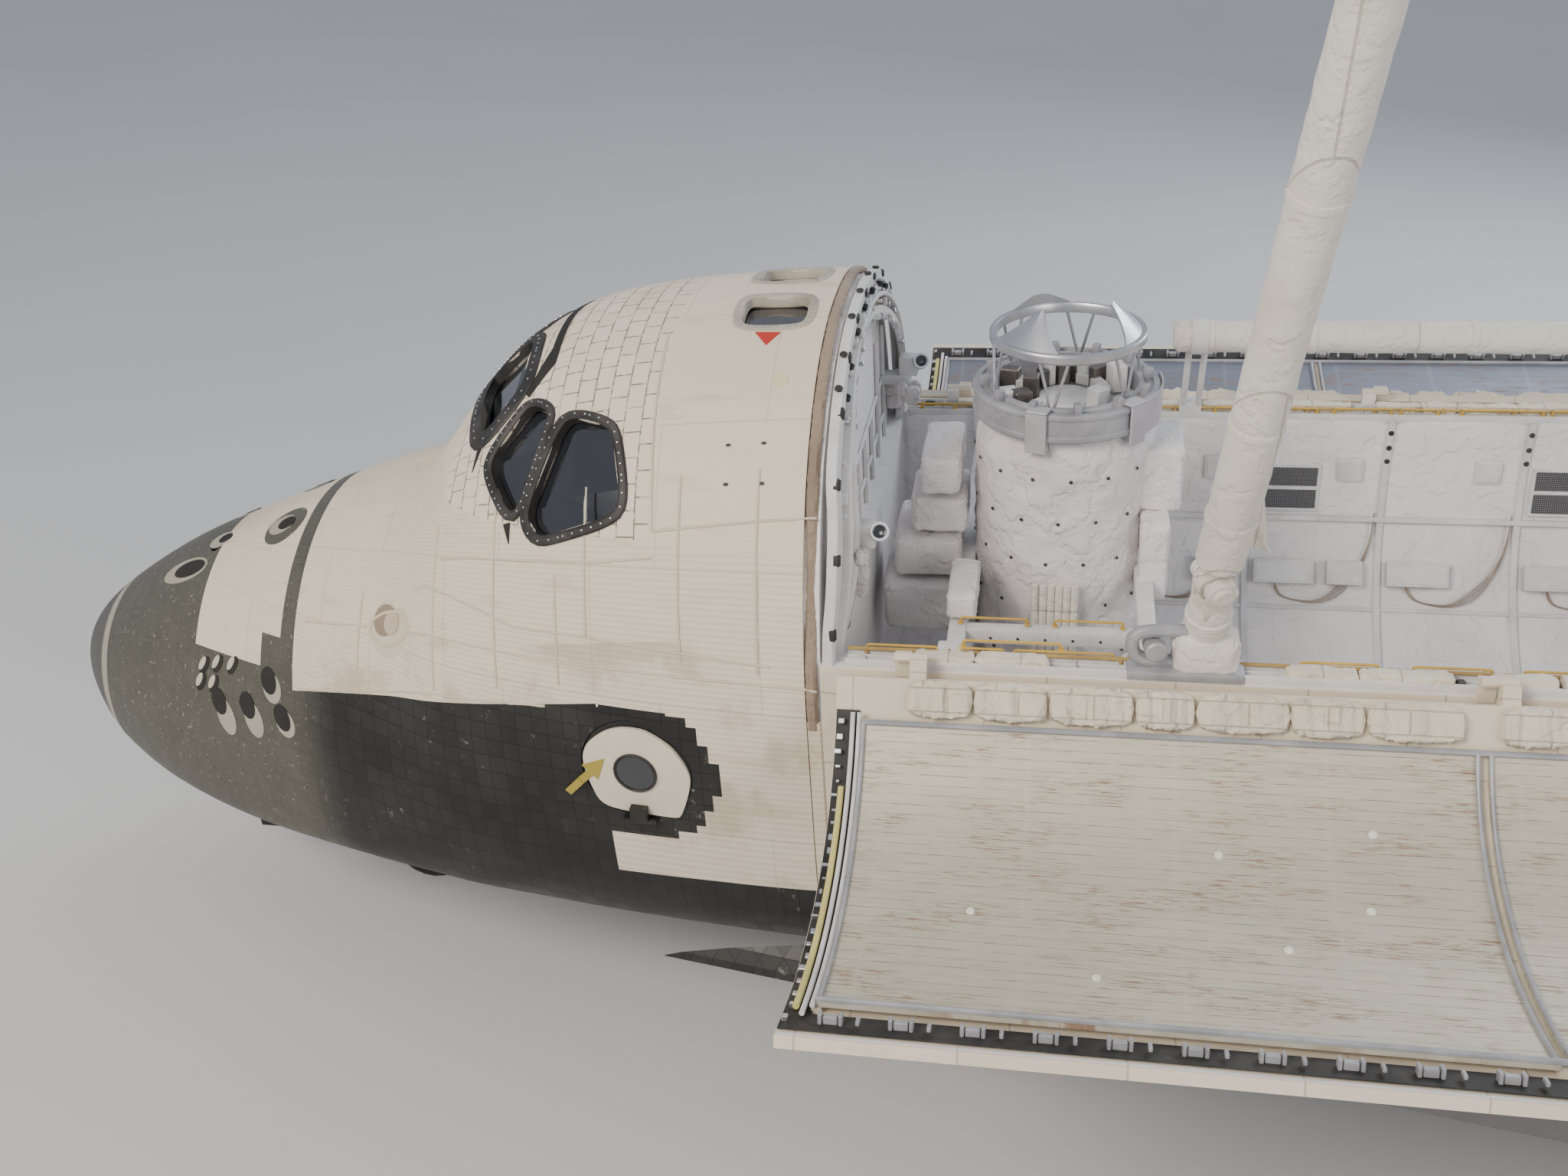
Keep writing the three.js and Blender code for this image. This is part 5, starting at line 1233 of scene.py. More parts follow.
SEAMS = [[(521, -80, 446), (548, -80, 449), (575, -80, 452)],
         [(518, -29, 495), (519, -60, 478), (521, -80, 446)],
         [(374, -70, band_edge(374)), (430, -80, band_edge(430)), (480, -95, band_edge(480) - 1.0)],
         [(438, -76, 440), (470, -84, 441), (500, -90, 443), (521, -92, 446)],
         [(430, -70, 420), (470, -85, 412), (560, -95, 410)], [(376, -60, 396), (404, -66, 398)],
         [(423, -70, 398), (480, -85, 400), (575, -95, 404)]]
UPRIGHT_SEAMS = [(401, 412, 381), (436, 440, 385), (462, 440, 388), (497, 442, 410), (530, 446, 404),
                 (556, 449, 404), (486, 410, 392)]
SEAMS += [[(x, -60, top), (x, -85, low)] for x, top, low in UPRIGHT_SEAMS]
piping = lumpy(pipes("piping", [on_skin(seam) for seam in SEAMS], 0.42, 6), 1.4, 0.5, 2)
finished_pair(piping, "piping", PIPING)
print("piping:", len(SEAMS), "seams a side")

# %% [markdown]
# A payload bay door is a curved shell. When it is open, its inside faces up, and what shows there are four
# radiator panels, each a sheet of silvered film over long tubes. The grid's own map is stretched to inches,
# so the tubes run true along the curve whatever way the door is turned.

# %% Doors and radiators
HINGE_Y, HINGE_Z = 105.6, 420.5
DOOR_HALF, DOOR_RISE, DOOR_POWER = 105.0, 80.0, 2.3
SWING = math.radians(157)
RADIATOR_FROM, RADIATOR_TO, PANEL_COUNT = 591.4, 1297.0, 4


def door_points(x, degrees, inset, side):
    """Points on a door as it stands open, from the angle along its closed arc."""
    t = np.radians(degrees)
    y = (DOOR_HALF - inset) * np.cos(t) ** (2 / DOOR_POWER) - HINGE_Y
    z = (DOOR_RISE - inset) * np.sin(t) ** (2 / DOOR_POWER)
    c, s = math.cos(-SWING), math.sin(-SWING)
    return np.stack([x, side * (y * c - z * s + HINGE_Y), y * s + z * c + HINGE_Z], -1)


def door_snap(side, insets, reach=0.8):
    def snap(points, normals=None):
        x, y, z = points.T
        ty, tz = side * y - HINGE_Y, z - HINGE_Z
        c, s = math.cos(SWING), math.sin(SWING)
        cy, cz = ty * c - tz * s + HINGE_Y, ty * s + tz * c
        laid, near = points.copy(), np.zeros(len(points), bool)
        for inset in insets:
            half, rise = DOOR_HALF - inset, DOOR_RISE - inset
            radius = np.hypot(cy, cz)
            a = np.arctan2(np.abs(cz), np.abs(cy))
            on = ((np.cos(a) / half) ** DOOR_POWER + (np.sin(a) / rise) ** DOOR_POWER) ** (-1 / DOOR_POWER)
            close = (np.abs(on - radius) < reach) & (cz > 1) & (cy > 0)
            scale = np.where(close, on / np.maximum(radius, 1), 1)
            ny, nz = cy * scale - HINGE_Y, cz * scale
            opened = [x, side * (ny * c + nz * s + HINGE_Y), -ny * s + nz * c + HINGE_Z]
            laid[close] = np.stack(opened, -1)[close]
            near |= close
        return laid, near

    return snap


def across(span):
    return np.hypot(span[:, 1], span[:, 2])


def in_inches(piece, long, wide):
    """Stretches the piece's map so that it reads in inches."""
    layer = piece.data.uv_layers.active.data
    flat = np.zeros(len(layer) * 2)
    layer.foreach_get("uv", flat)
    layer.foreach_set("uv", (flat.reshape(-1, 2) * (long, wide)).reshape(-1))


for side_name, side in SIDES:
    body = f"{side_name}_bay_door"
    leaf = refined(merged_copy(body, body + "_skin"), 4.0, door_snap(side, (0, 3.4)), 6, across)
    finished(leaf, body, FELT, [body])
    panels, trims, rails = [], [], []
    length = (RADIATOR_TO - RADIATOR_FROM) / PANEL_COUNT
    for k in range(PANEL_COUNT):
        start = RADIATOR_FROM + k * length + (1.2 if k else 0)
        end = RADIATOR_FROM + (k + 1) * length - (1.2 if k < PANEL_COUNT - 1 else 0)

        def panel_place(u, v, start=start, end=end):
            return door_points(start + (end - start) * u, 11.3 + 72.4 * v, 6.6, side)

        panel = laid_grid(f"panel_{k}", 24, 48, panel_place, close=False)
        in_inches(panel, end - start, 112.0)
        modified(panel, "SOLIDIFY", thickness=1.3, offset=-1.0 if side > 0 else 1.0)
        panels.append(panel)
        for edge in (start + 0.6, end - 0.6):
            route = [tuple(door_points(np.array(edge), np.array(a), 7.1, side))
                     for a in np.linspace(12, 83, 24)]
            trims.append(route)
    radiators = merged(panels, f"{side_name}_radiator_panels")
    # Each door's film tone carries its own painted light: warm on the near door, and a cool reflection on the
    # far door.
    film = RADIATOR_WARM_LIGHT if side < 0 else RADIATOR_COOL_REFLECTION
    finished(radiators, body, film, [f"{side_name}_radiators"], degrees=50)
    for a in (12.0, 83.2):
        ends = [tuple(door_points(np.array(x), np.array(a), 7.0, side)) for x in (RADIATOR_FROM, RADIATOR_TO)]
        rails.append(ends)
    trim = merged([pipes("trim", trims, 0.7, 8), pipes("rail", rails, 0.9, 8)], f"{side_name}_radiator_trim")
    finished(trim, body, GREY)
print("radiator panels:", PANEL_COUNT, "a door")

# %% [markdown]
# Round the radiators the door's frame shows. Its forward edge is a dark channel with latches and two tubes
# that run along the arc, a yellow one and a white one. Its free edge is a black rail with a row of hooks,
# above a pale lip. Each part follows the door's own curve, so it is drawn with the same function as the
# radiators.

# %% The doors' edges


def door_strip(name, stations, angles, inset, side, columns=2, rows=60, thickness=0.4):
    def place(u, v):
        x = stations[0] + (stations[1] - stations[0]) * u
        return door_points(x, angles[0] + (angles[1] - angles[0]) * v, inset, side)

    return modified(laid_grid(name, columns, rows, place, close=False), "SOLIDIFY",
                    thickness=thickness, offset=0)


def arc_route(x, first, last, inset, side):
    return [tuple(door_points(np.array(x), np.array(a), inset, side)) for a in np.linspace(first, last, 30)]


def on_leaf(x, degrees, inset, side):
    """Local x runs along the door, y along its arc and z off its inner face."""
    here, off = (Vector(door_points(np.array(x), np.array(degrees), i, side)) for i in (inset, inset + 1))
    return standing(here, off - here)


random.seed(5)
for side_name, side in SIDES:
    body = f"{side_name}_bay_door"
    channel = [door_strip("channel", (583.3, 590.4), (9.5, 88.6), 3.95, side)]
    channel.append(door_strip("rail", (590.4, 1305.5), (84.6, 88.6), 3.95, side, 60, 3))
    finished(merged(channel, f"{side_name}_door_channel"), body, DARK)
    yellow = pipes("tube", [arc_route(586.3, 27, 84, 5.3, side)], 0.95, 8)
    finished(yellow, body, YELLOW_TUBE)
    yellow.name = yellow.data.name = f"{side_name}_door_yellow_tube"
    pale = pipes("tubes", [arc_route(588.5, 10, 86, 5.6, side), arc_route(590.6, 10, 84.4, 6.3, side)], 0.75,
                 8)
    lip = pipes("lip", [[tuple(door_points(np.array(x), np.array(89.2), 2.6, side))
                         for x in (583.2, 1305.8)]], 1.0, 8)
    finished(merged([pale, lip], f"{side_name}_door_pale_tubes"), body, WHITE_METAL)
    fittings, hooks = [], []
    for a in np.arange(12, 87, 3.4):
        *half, high = random.uniform(0.5, 1.2), random.uniform(0.3, 1.0), random.uniform(0.8, 2.2)
        place = on_leaf(584.6 + random.uniform(-0.3, 0.5), a, 4.1, side)
        fittings.append(slab("part", half, 0, high, 0.2, place))
    for x in np.arange(596, 1300, 17.6):
        for shift, a, b, high in ((0.0, 1.8, 0.9, 2.2), (2.6, 0.5, 1.3, 2.8), (-2.6, 0.5, 1.3, 2.8)):
            place = on_leaf(x, 86.6, 4.1, side)
            hooks.append(block("hook", (shift - a, -b, 0), (shift + a, b, high), 0.2, 1, place))
        place = on_leaf(x + 7, 86.6, 3.9, side)
        hooks.append(block("hook_tip", (-0.5, -2.6, 1.4), (0.5, 0.4, 2.6), 0.2, 1, place))
    finished(merged(fittings, f"{side_name}_door_fittings"), body, BRIGHT)
    finished(merged(hooks, f"{side_name}_door_hooks"), body, GREY)
    discs = turned("disc", [(0, 0.35), (1.0, 0.3), (1.3, 0), (0, 0)], 20)
    spots = [on_leaf(RADIATOR_FROM + 176.4 * k + dx, a, 6.75, side)
             for k in range(PANEL_COUNT) for dx, a in ((146, 31), (104, 38), (143, 49), (36, 56),
                                                       (120, 60), (70, 71))]
    finished(scattered(discs, spots, f"{side_name}_radiator_discs"), body, PALE_DISC)
print("door edges:", len(SIDES), "doors,", len(hooks), "hook parts each")

# %% [markdown]
# Long thin parts, such as frames, rails and edges, are an outline carried along a path. A grid gives the
# faces: one way runs round the outline and the other along the path, and the two ends are filled.

# %% An outline carried along a path


def carried(name, outline, path, count):
    """Path(v) gives places and the two ways in which the outline's points are laid off."""
    ring = np.array([*outline, outline[0]], float)

    def place(u, v):
        step = ring[np.round(u * (len(ring) - 1)).astype(int)]
        middle, first, second = path(v)
        return middle + first * step[:, :1] + second * step[:, 1:]

    return laid_grid(name, len(ring) - 1, count, place, close=False)


def filled(piece):
    """Closes a piece's seams and then its open ends."""
    with editing(tidied(piece)):
        bpy.ops.mesh.fill_holes(sides=0)
        bpy.ops.mesh.normals_make_consistent(inside=False)
    return piece


def bent(value, squareness):
    """A sine or cosine squared off, so that a circle becomes a rounded box."""
    return np.sign(value) * np.abs(value) ** squareness


def pillow(name, low, high, columns=20, rows=20, squareness=0.4, lump=0.0, seed=0):
    """A stuffed bag between two corners."""
    middle, half = (np.array(low) + high) / 2, (np.array(high) - low) / 2

    def place(u, v):
        rise, turn = (u - 0.5) * math.pi, v * 2 * math.pi
        girth = np.cos(rise).clip(0) ** squareness
        y, z = girth * bent(np.cos(turn), squareness), girth * bent(np.sin(turn), squareness)
        return middle + half * np.stack([bent(np.sin(rise), squareness), y, z], -1)

    bag = laid_grid(name, columns, rows, place, close=False)
    return lumpy(bag, 3.0, lump, seed) if lump else bag


def rectangle(width, depth, round_off=0.3):
    """The outline of a bar, with its corners cut."""
    a, b, c = width / 2, depth / 2, round_off
    return [(-a + c, -b), (a - c, -b), (a, -b + c), (a, b - c), (a - c, b), (-a + c, b), (-a, b - c),
            (-a, -b + c)]


# %% [markdown]
# The docking module is a chamber wrapped in padded blankets. On it sit a grey collar and, above the collar, a
# thin guide ring on rods, with three petals that lean inwards. The blankets get their lumps from a
# displacement that is applied to the mesh.

# %% The docking module and its ring
DOCK_X = 649.0


def ray(turn):
    return Vector((math.cos(turn), math.sin(turn), 0))


def drum(name, profile, steps=96, at=(DOCK_X, 0, 0)):
    return turned(name, profile, steps, at, Vector(at) + Vector((0, 0, 1)))


chamber_profile = [(0, 330.5), (27.5, 330.5), *((30.2, z) for z in np.arange(336, 452, 2.0)),
                   (27.5, 455), (26.4, 457.9), (0, 457.9)]
chamber = creased(lumpy(drum("docking_chamber", chamber_profile), 9.0, 1.2), 7.0, 1.1)
finished(chamber, "airframe", MODULE_WRAP, ["docking_module"], degrees=60)
random.seed(7)
bolt_model = turned("blanket_bolt", [(0, 0.5), (0.5, 0.35), (0.7, 0)], 6)
spots = []
for row, level in enumerate((352, 372, 394, 412, 428, 444)):
    for k in range(15):
        out = ray(math.radians(k * 24 + row * 7))
        spots.append(Matrix.Translation(Vector((DOCK_X, 0, level)) + out * 30.9) @ facing(out))
finished(scattered(bolt_model, spots, "chamber_buttons"), "airframe", DARK)

COLLAR_OUTLINE = [(24.5, 458.2), (31.2, 458.2), (31.9, 459), (31.9, 460.2), (31.4, 460.6), (31.4, 466.2),
                  (31.9, 466.6), (31.9, 467.6), (31.2, 468.2), (29.5, 468.2), (29.3, 467.4), (26.5, 467.4),
                  (26.2, 468.4), (24.5, 468.4), (24.5, 458.2)]
collar = drum("docking_collar", COLLAR_OUTLINE)
finished(collar, "airframe", GREY, ["docking_ring"])
floor_plate = drum("docking_floor",
                   [(0, 462.0), (9, 462.6), (10, 461.2), (24.3, 461.2), (24.3, 460), (0, 460)], 64)
finished(floor_plate, "airframe", WHITE_METAL)
guide = drum("guide_ring", [(24.2, 483.6), (25.9, 483.6), (26.4, 484.2), (26.4, 486.4), (25.9, 487),
                            (24.6, 487), (24.2, 486.4), (24.2, 483.6)])
finished(guide, "airframe", BRIGHT)


def petal(angle, name, rise, lean):
    """A plate that stands on the guide ring and leans inwards, narrow at its top."""
    turn = math.radians(angle)
    rows, half = 10, math.radians(34)

    def place(u, v):
        spread = (u * 2 - 1) * half * (1 - v * 0.80)
        reach = 25.2 - lean * v
        x = DOCK_X + reach * np.cos(turn + spread)
        y = reach * np.sin(turn + spread)
        return np.stack([x, y, 485.5 + rise * v - rise * 0.07 * np.abs(u * 2 - 1) * v], -1)

    return modified(laid_grid(name, 18, rows, place, close=False), "SOLIDIFY", thickness=0.7, offset=0)


# the second petal stands lower than the others, because the starboard door closes over it
for k, shape in enumerate(((232, 11.5, 11.0), (112, 5.2, 0.0), (352, 11.5, 11.0))):
    finished(petal(shape[0], f"guide_petal_{k + 1}", *shape[1:]), "airframe", BRIGHT)
rods, latches = [], []
for k in range(6):
    for lean in (-11, 11):
        low, high = math.radians(k * 60 + 20), math.radians(k * 60 + 20 + lean)
        foot = (DOCK_X + 25.5 * math.cos(low), 25.5 * math.sin(low), 466)
        head = (DOCK_X + 25 * math.cos(high), 25 * math.sin(high), 484)
        rods.append([foot, head])
for k in range(12):
    turn = math.radians(k * 30 + 8)
    place = Matrix.Translation(Vector((DOCK_X, 0, 0)) + ray(turn) * 27.9) @ Matrix.Rotation(turn, 4, "Z")
    latches.append(slab("latch", (1.6, 1.2), 467.2, 471.2, 0.3, place, 2))
finished(pipes("guide_ring_struts", rods, 0.55, 8), "airframe", BRIGHT)
finished(merged(latches, "collar_latches"), "airframe", GREY)
inner = []
for k in range(22):
    turn, reach = random.uniform(0, 2 * math.pi), random.uniform(11.5, 21.5)
    half = [random.uniform(1.2, 3.4) for _ in range(2)]
    spot = (DOCK_X + reach * math.cos(turn), reach * math.sin(turn), 0)
    place = Matrix.Translation(spot) @ Matrix.Rotation(turn, 4, "Z")
    inner.append(slab("inner", half, 462, 462 + random.uniform(3, 11), 0.4, place))
finished(merged(inner[::2], "ring_mechanism_pale"), "airframe", WHITE_METAL)
finished(merged(inner[1::2], "ring_mechanism_dark"), "airframe", BELL)

beams = []
for y in (-60, 60):
    for z in (399, 372):
        beams.append(block("beam", (613, y - 2.6, z), (681, y + 2.6, z + 5.4), 0.6))
    for x in (613, 675):
        beams.append(block("post", (x, y - 2.6, 345), (x + 6, y + 2.6, 405), 0.6))
    beams.append(pipe("brace", [(616, y, 349), (678, y, 399)], 1.7))
for x in (613, 675):
    beams.append(block("cross", (x, -91, 399.4), (x + 6, 91, 404.6), 0.6))
    beams.append(block("cross_low", (x, -60, 372.4), (x + 6, 60, 377), 0.6))
    for y in (-94, 94):
        beams.append(block("foot", (x - 1, y - 4, 402), (x + 7, y + 4, 417.5), 0.8))
print("docking truss:", len(beams), "beams")
finished(merged(beams, "docking_truss"), "airframe", WHITE_METAL)

# %% [markdown]
# The manipulator arm is a chain of thin tubes in a cloth wrap, with drums at its joints. Each link is drawn
# along its own axis, with its root joint at the origin, and one matrix for each link, worked out from the
# real joints of the solids, puts it in place.

# %% The manipulator arm
JOINTS = {joint["name"]: joint for joint in frame["joints"]}


def joint_at(name):
    return Vector(JOINTS[name]["pos_m"])


def link_matrix(root, tip, across_axis, drop):
    """Along the link is x, across it is y. The tip lies drop inches off the link's own line."""
    y = Vector(across_axis).normalized()
    reach = tip - root
    long = math.sqrt(max((reach.length / INCH) ** 2 - drop**2, 1))
    lean = math.atan2(drop, long)
    along = reach.normalized()
    side = along.cross(y).normalized()
    x = along * math.cos(lean) - side * math.sin(lean)
    z = x.cross(y)
    turn = Matrix((x, y, z)).transposed().to_4x4()
    return Matrix.Translation(root) @ turn @ Matrix.Scale(INCH, 4)


PITCH_AXIS = Vector(JOINTS["arm_shoulder_pitch"]["axis"])
YAW_AXIS = Vector(JOINTS["arm_wrist_yaw"]["axis"])
SHOULDER, ELBOW = joint_at("arm_shoulder_pitch"), joint_at("arm_elbow_pitch")
WRIST, HAND, ROLL = (joint_at(f"arm_wrist_{name}") for name in ("pitch", "yaw", "roll"))


BAND_OUTLINE = [(-0.6, -1.1), (0.35, -1.0), (0.5, 0), (0.35, 1.0), (-0.6, 1.1), (-0.6, -1.1)]


def banded(name, start, end, radius, bands, steps=56, lump=0.45):
    """A wrapped tube with a raised band at each place."""
    outline = [(0, start), (radius * 0.8, start), (radius, start + 1.2)]
    outline += [(radius, x) for x in np.arange(start + 3, end - 3, 3.0)]
    outline += [(radius, end - 1.2), (radius * 0.8, end), (0, end)]
    tube = turned(name, outline, steps, head=ALONG)
    lumpy(tube, 4.5, lump, 3)
    rings = [turned("band", [(radius + out, x + step) for out, step in BAND_OUTLINE], steps, head=ALONG)
             for x in bands]
    return merged([tube, *rings], name)


def joint_drum(name, radius, half):
    """A round housing across a joint, with a stepped cap at each end."""
    profile = [(0, -half), (radius * 0.7, -half), (radius * 0.75, -half + 0.6), (radius, -half + 0.6),
               (radius, half - 0.6), (radius * 0.75, half - 0.6), (radius * 0.7, half), (0, half)]
    return turned(name, profile, 40, head=(0, 1, 0))


CHEEK_LINES = (-4.2, 4.2)
upper_place = link_matrix(SHOULDER, ELBOW, PITCH_AXIS, 9.0)
fore_place = link_matrix(ELBOW, WRIST, PITCH_AXIS, -9.0)
wrist_place = link_matrix(WRIST, HAND, PITCH_AXIS, 0.0)
hand_place = link_matrix(HAND, ROLL, YAW_AXIS, 0.0)

upper = banded("upper_boom", 8.0, 247.0, 6.9, (26, 60, 128, 196, 236))
root_cheek = joint_drum("upper_root", 5.6, 3.1)
neck = block("neck", (2, -3.0, -4.2), (14, 3.0, 4.2), 1.2, 3)
elbow_cheeks = [block("cheek", (226, y - 0.9, -3), (249, y + 0.9, 7.5), 0.8) for y in CHEEK_LINES]
elbow_caps = [turned("cap", [(0, 5.0), (3.2, 5.0), (3.6, 4.4), (3.6, 3.5), (0, 3.5)], 24, (252, 0, 9),
                     (252, k, 9)) for k in (-1, 1)]
upper = merged([upper, root_cheek, neck, *elbow_cheeks, *elbow_caps], "upper_boom_wrap")
finished(upper, "arm_upper_boom", WRAP, ["arm_upper_boom"], upper_place)
FLAP = np.array([(13.0, 0.0, -5.5), (38.0, 0.0, -6.5), (8.0, 0.0, -15.0)])


def flap_place(u, v):
    """A triangle with its long side on the boom and a slow wave across it."""
    u, v = u[:, None], v[:, None]
    flat = (FLAP[0] + (FLAP[1] - FLAP[0]) * u) * (1 - v) + FLAP[2] * v
    return flat + np.array([0, 1.0, 0]) * 0.7 * np.sin(u * 6 + v * 3) * (v + 0.15)


flap = modified(tidied(laid_grid("boom_flap", 20, 14, flap_place, close=False)), "SOLIDIFY",
                thickness=0.15, offset=0)
finished(flap, "arm_upper_boom", WRAP, (), upper_place)

fore = banded("forearm", 6.0, 264.0, 6.3, (18, 80, 150, 220, 254))
fore.data.transform(Matrix.Translation((0, 0, -9)))
fore_root = joint_drum("fore_root", 3.9, 3.0)
fore_neck = block("fore_neck", (0.5, -2.8, -9.5), (15, 2.8, 1.5), 1.0, 3)
wrist_cheeks = [block("cheek", (258, y - 0.8, -12.6), (281, y + 0.8, -5.4), 0.8) for y in CHEEK_LINES]
finished(merged([fore, fore_root, fore_neck, *wrist_cheeks], "forearm_wrap"), "arm_forearm", WRAP,
         ["arm_forearm"], fore_place)

wrist = banded("wrist", 8.0, 34.0, 5.9, (14, 28), 48, 0.3)
wrist_root = joint_drum("wrist_root", 5.2, 3.1)
wrist_neck = block("wrist_neck", (1, -3, -3.8), (12, 3, 3.8), 1.0, 3)
hand_cheeks = [block("cheek", (30, -3.6, z - 0.8), (51, 3.6, z + 0.8), 0.8) for z in CHEEK_LINES]
finished(merged([wrist, wrist_root, wrist_neck, *hand_cheeks], "wrist_wrap"), "arm_wrist_pitch",
         WRAP, ["arm_wrist_pitch"], wrist_place)

hand = banded("hand", 8.0, 39.8, 5.9, (14, 34), 48, 0.3)
hand_root = joint_drum("hand_root", 5.2, 3.1)
hand_neck = block("hand_neck", (1, -3.8, -3), (12, 3.8, 3), 1.0, 3)
finished(merged([hand, hand_root, hand_neck], "hand_wrap"), "arm_wrist_yaw", WRAP,
         ["arm_wrist_yaw"], hand_place)

tool_profile = [(0, 40.2), (6.4, 40.2), (6.6, 41), (6.6, 46), (6.2, 46.6), (6.2, 58), (6.6, 58.6),
                (6.7, 69.4), (6.3, 70.1), (5.6, 70.1), (5.4, 68.5), (5.2, 60.4), (0, 60.4)]
tool = turned("end_effector_shell", tool_profile, 56, head=ALONG)
ribs = [block("rib", (48, -0.7, 6.0), (57, 0.7, 6.9), 0.2, 2, Matrix.Rotation(k * math.pi / 3, 4, "X"))
        for k in range(6)]
finished(merged([tool, *ribs], "end_effector"), "arm_end_effector", WHITE_METAL,
         ["arm_end_effector"], hand_place)
print("arm reach:", round((ELBOW - SHOULDER).length + (WRIST - ELBOW).length, 2), "m")

# %% [markdown]
# The arm's stand leans outboard from the sill, and the shoulder turns on top of it. Both are drums with
# flanges, wrapped below. The inspection boom lies on the other sill in four stands.

# %% Shoulder, stand and inspection boom
YAW = Vector(JOINTS["arm_shoulder_yaw"]["axis"])
stand_place = Matrix.Translation(SHOULDER) @ facing(YAW) @ Matrix.Scale(INCH, 4)
stand_profile = [(0, -30), (5.8, -30), (6.3, -29), (6.3, -24), (6.9, -23.5), (6.9, -22), (6.3, -21.5),
                 (6.3, -18.5), (6.9, -18), (6.9, -16.2), (0, -16.2)]
stand = turned("stand", stand_profile)
finished(stand, "airframe", WRAP, (), stand_place)
housing = creased(pillow("housing", (682.5, -102.5, 414.2), (702.5, -89.5, 429), 26, 26, 0.45, 0.9, 6),
                  4.0, 0.9, 4)
finished(tidied(housing, 0.02), "airframe", WRAP, ["arm_stand"])
bracket = [pipe("bracket", [(694, -97.5, 418.5), (671.5, -98.5, 418.5), (670, -99, 429), (690, -97, 429)],
                2.1, 14, 6.0),
           block("bracket_foot", (669.5, -103.2, 413.9), (704.0, -93.4, 417.2), 0.8),
           turned("motor", [(0, -4.2), (2.6, -4.2), (3.3, -3.6), (3.3, 3.6), (2.6, 4.2), (0, 4.2)], 28,
                  (677.5, -99, 423.6), (677.6, -100, 423.7))]
finished(merged(bracket, "arm_stand_bracket"), "airframe", GREY)
shoulder_profile = [(0, -16), (6.9, -16), (6.9, -14.4), (6.2, -14), (6.2, -10), (5.4, -8.8), (0, -8.8)]
shoulder = turned("shoulder_drum", shoulder_profile)
finished(shoulder, "arm_shoulder", WRAP, (), stand_place)
cheek_turn = Matrix((YAW.cross(PITCH_AXIS), PITCH_AXIS, YAW)).transposed().to_4x4()
cheek_place = Matrix.Translation(SHOULDER) @ cheek_turn @ Matrix.Scale(INCH, 4)
cheeks = []
for k in (-1, 1):
    cheeks.append(block("cheek", (-4.2, k * 4.4 - 1.0, -12), (4.2, k * 4.4 + 1.0, 0.5), 0.8))
    cheeks.append(turned("cap", [(0, 7.6), (2.6, 7.6), (3.4, 6.8), (4.6, 6.6), (4.6, 3.6), (0, 3.6)], 36,
                         head=(0, k, 0)))
finished(merged(cheeks, "shoulder_cheeks"), "arm_shoulder", WRAP, ["arm_shoulder"], cheek_place)

BOOM_STANDS = (700, 911, 1189, 1262)
BOOM_FROM, BOOM_Y, BOOM_Z, BOOM_RADIUS = 690.2, 82.4, 452.8, 6.1
BOOM_LINE = [(x, BOOM_Y, BOOM_Z) for x in (0, 1)]


def shifted_along(stations):
    return [Matrix.Translation((x, 0, 0)) for x in stations]




boom_outline = [(0, 0), (4.4, 0), (5.2, 0.8), *((BOOM_RADIUS, x) for x in np.arange(2, 590, 6.0)),
                (5.2, 594.8), (4.4, 595.6), (0, 595.6)]
boom = turned("boom", boom_outline, 40, *[(BOOM_FROM + x, BOOM_Y, BOOM_Z) for x in (0, 1)])
lumpy(boom, 6.0, 0.35, 5)
band = [(5.6, -1.4), (6.5, -1.2), (6.6, 0), (6.5, 1.2), (5.6, 1.4), (5.6, -1.4)]
model = turned("band", band, 40, *BOOM_LINE)
stations = (704, 742, 800, 866, 905, 960, 1050, 1130, 1183, 1230, 1268)
bands = scattered(model, shifted_along(stations), "bands")
finished(merged([boom, bands], "inspection_boom_wrap"), "airframe", WRAP, ["inspection_boom"])
foot = block("stand_foot", (-4.5, 95.2, 414.1), (4.5, 102.5, 419), 0.6)
legs = pipes("stand_legs", [[(x, 96.8, 417), (x, 93.0, 425), (x, 86, 448)] for x in (-3, 3)], 1.3, 8)
collar_band = [(6.0, -3), (7.1, -3), (7.1, 3), (6.0, 3), (6.0, -3)]
clamp = turned("clamp", collar_band, 32, *BOOM_LINE)
stand_model = merged([foot, legs, clamp], "boom_stand")
stands = scattered(stand_model, shifted_along(BOOM_STANDS), "boom_stands")
finished(stands, "airframe", WHITE_METAL)
print("inspection boom:", len(BOOM_STANDS), "stands")

# %% [markdown]
# The payload bay is a half tube with straight upper walls. White cloth blankets hang between its frames,
# tight at their edges and creased in the middle. Each blanket gets its own direction of folds from a few sums
# of sines, so they look hung by hand and not printed.

# %% The lining of the payload bay
BAY = {"from": 583.5, "to": 1301.0, "radius": 94.0, "centre": 400.0, "sill": 413.6}
WALL_TOP = BAY["sill"] - BAY["centre"]
WALL_LENGTH = 2 * WALL_TOP + math.pi * BAY["radius"]
FIRST_FRAME, FRAME_STEP = 620.6, 52.7
FRAMES = np.arange(FIRST_FRAME, BAY["to"] - 10, FRAME_STEP)


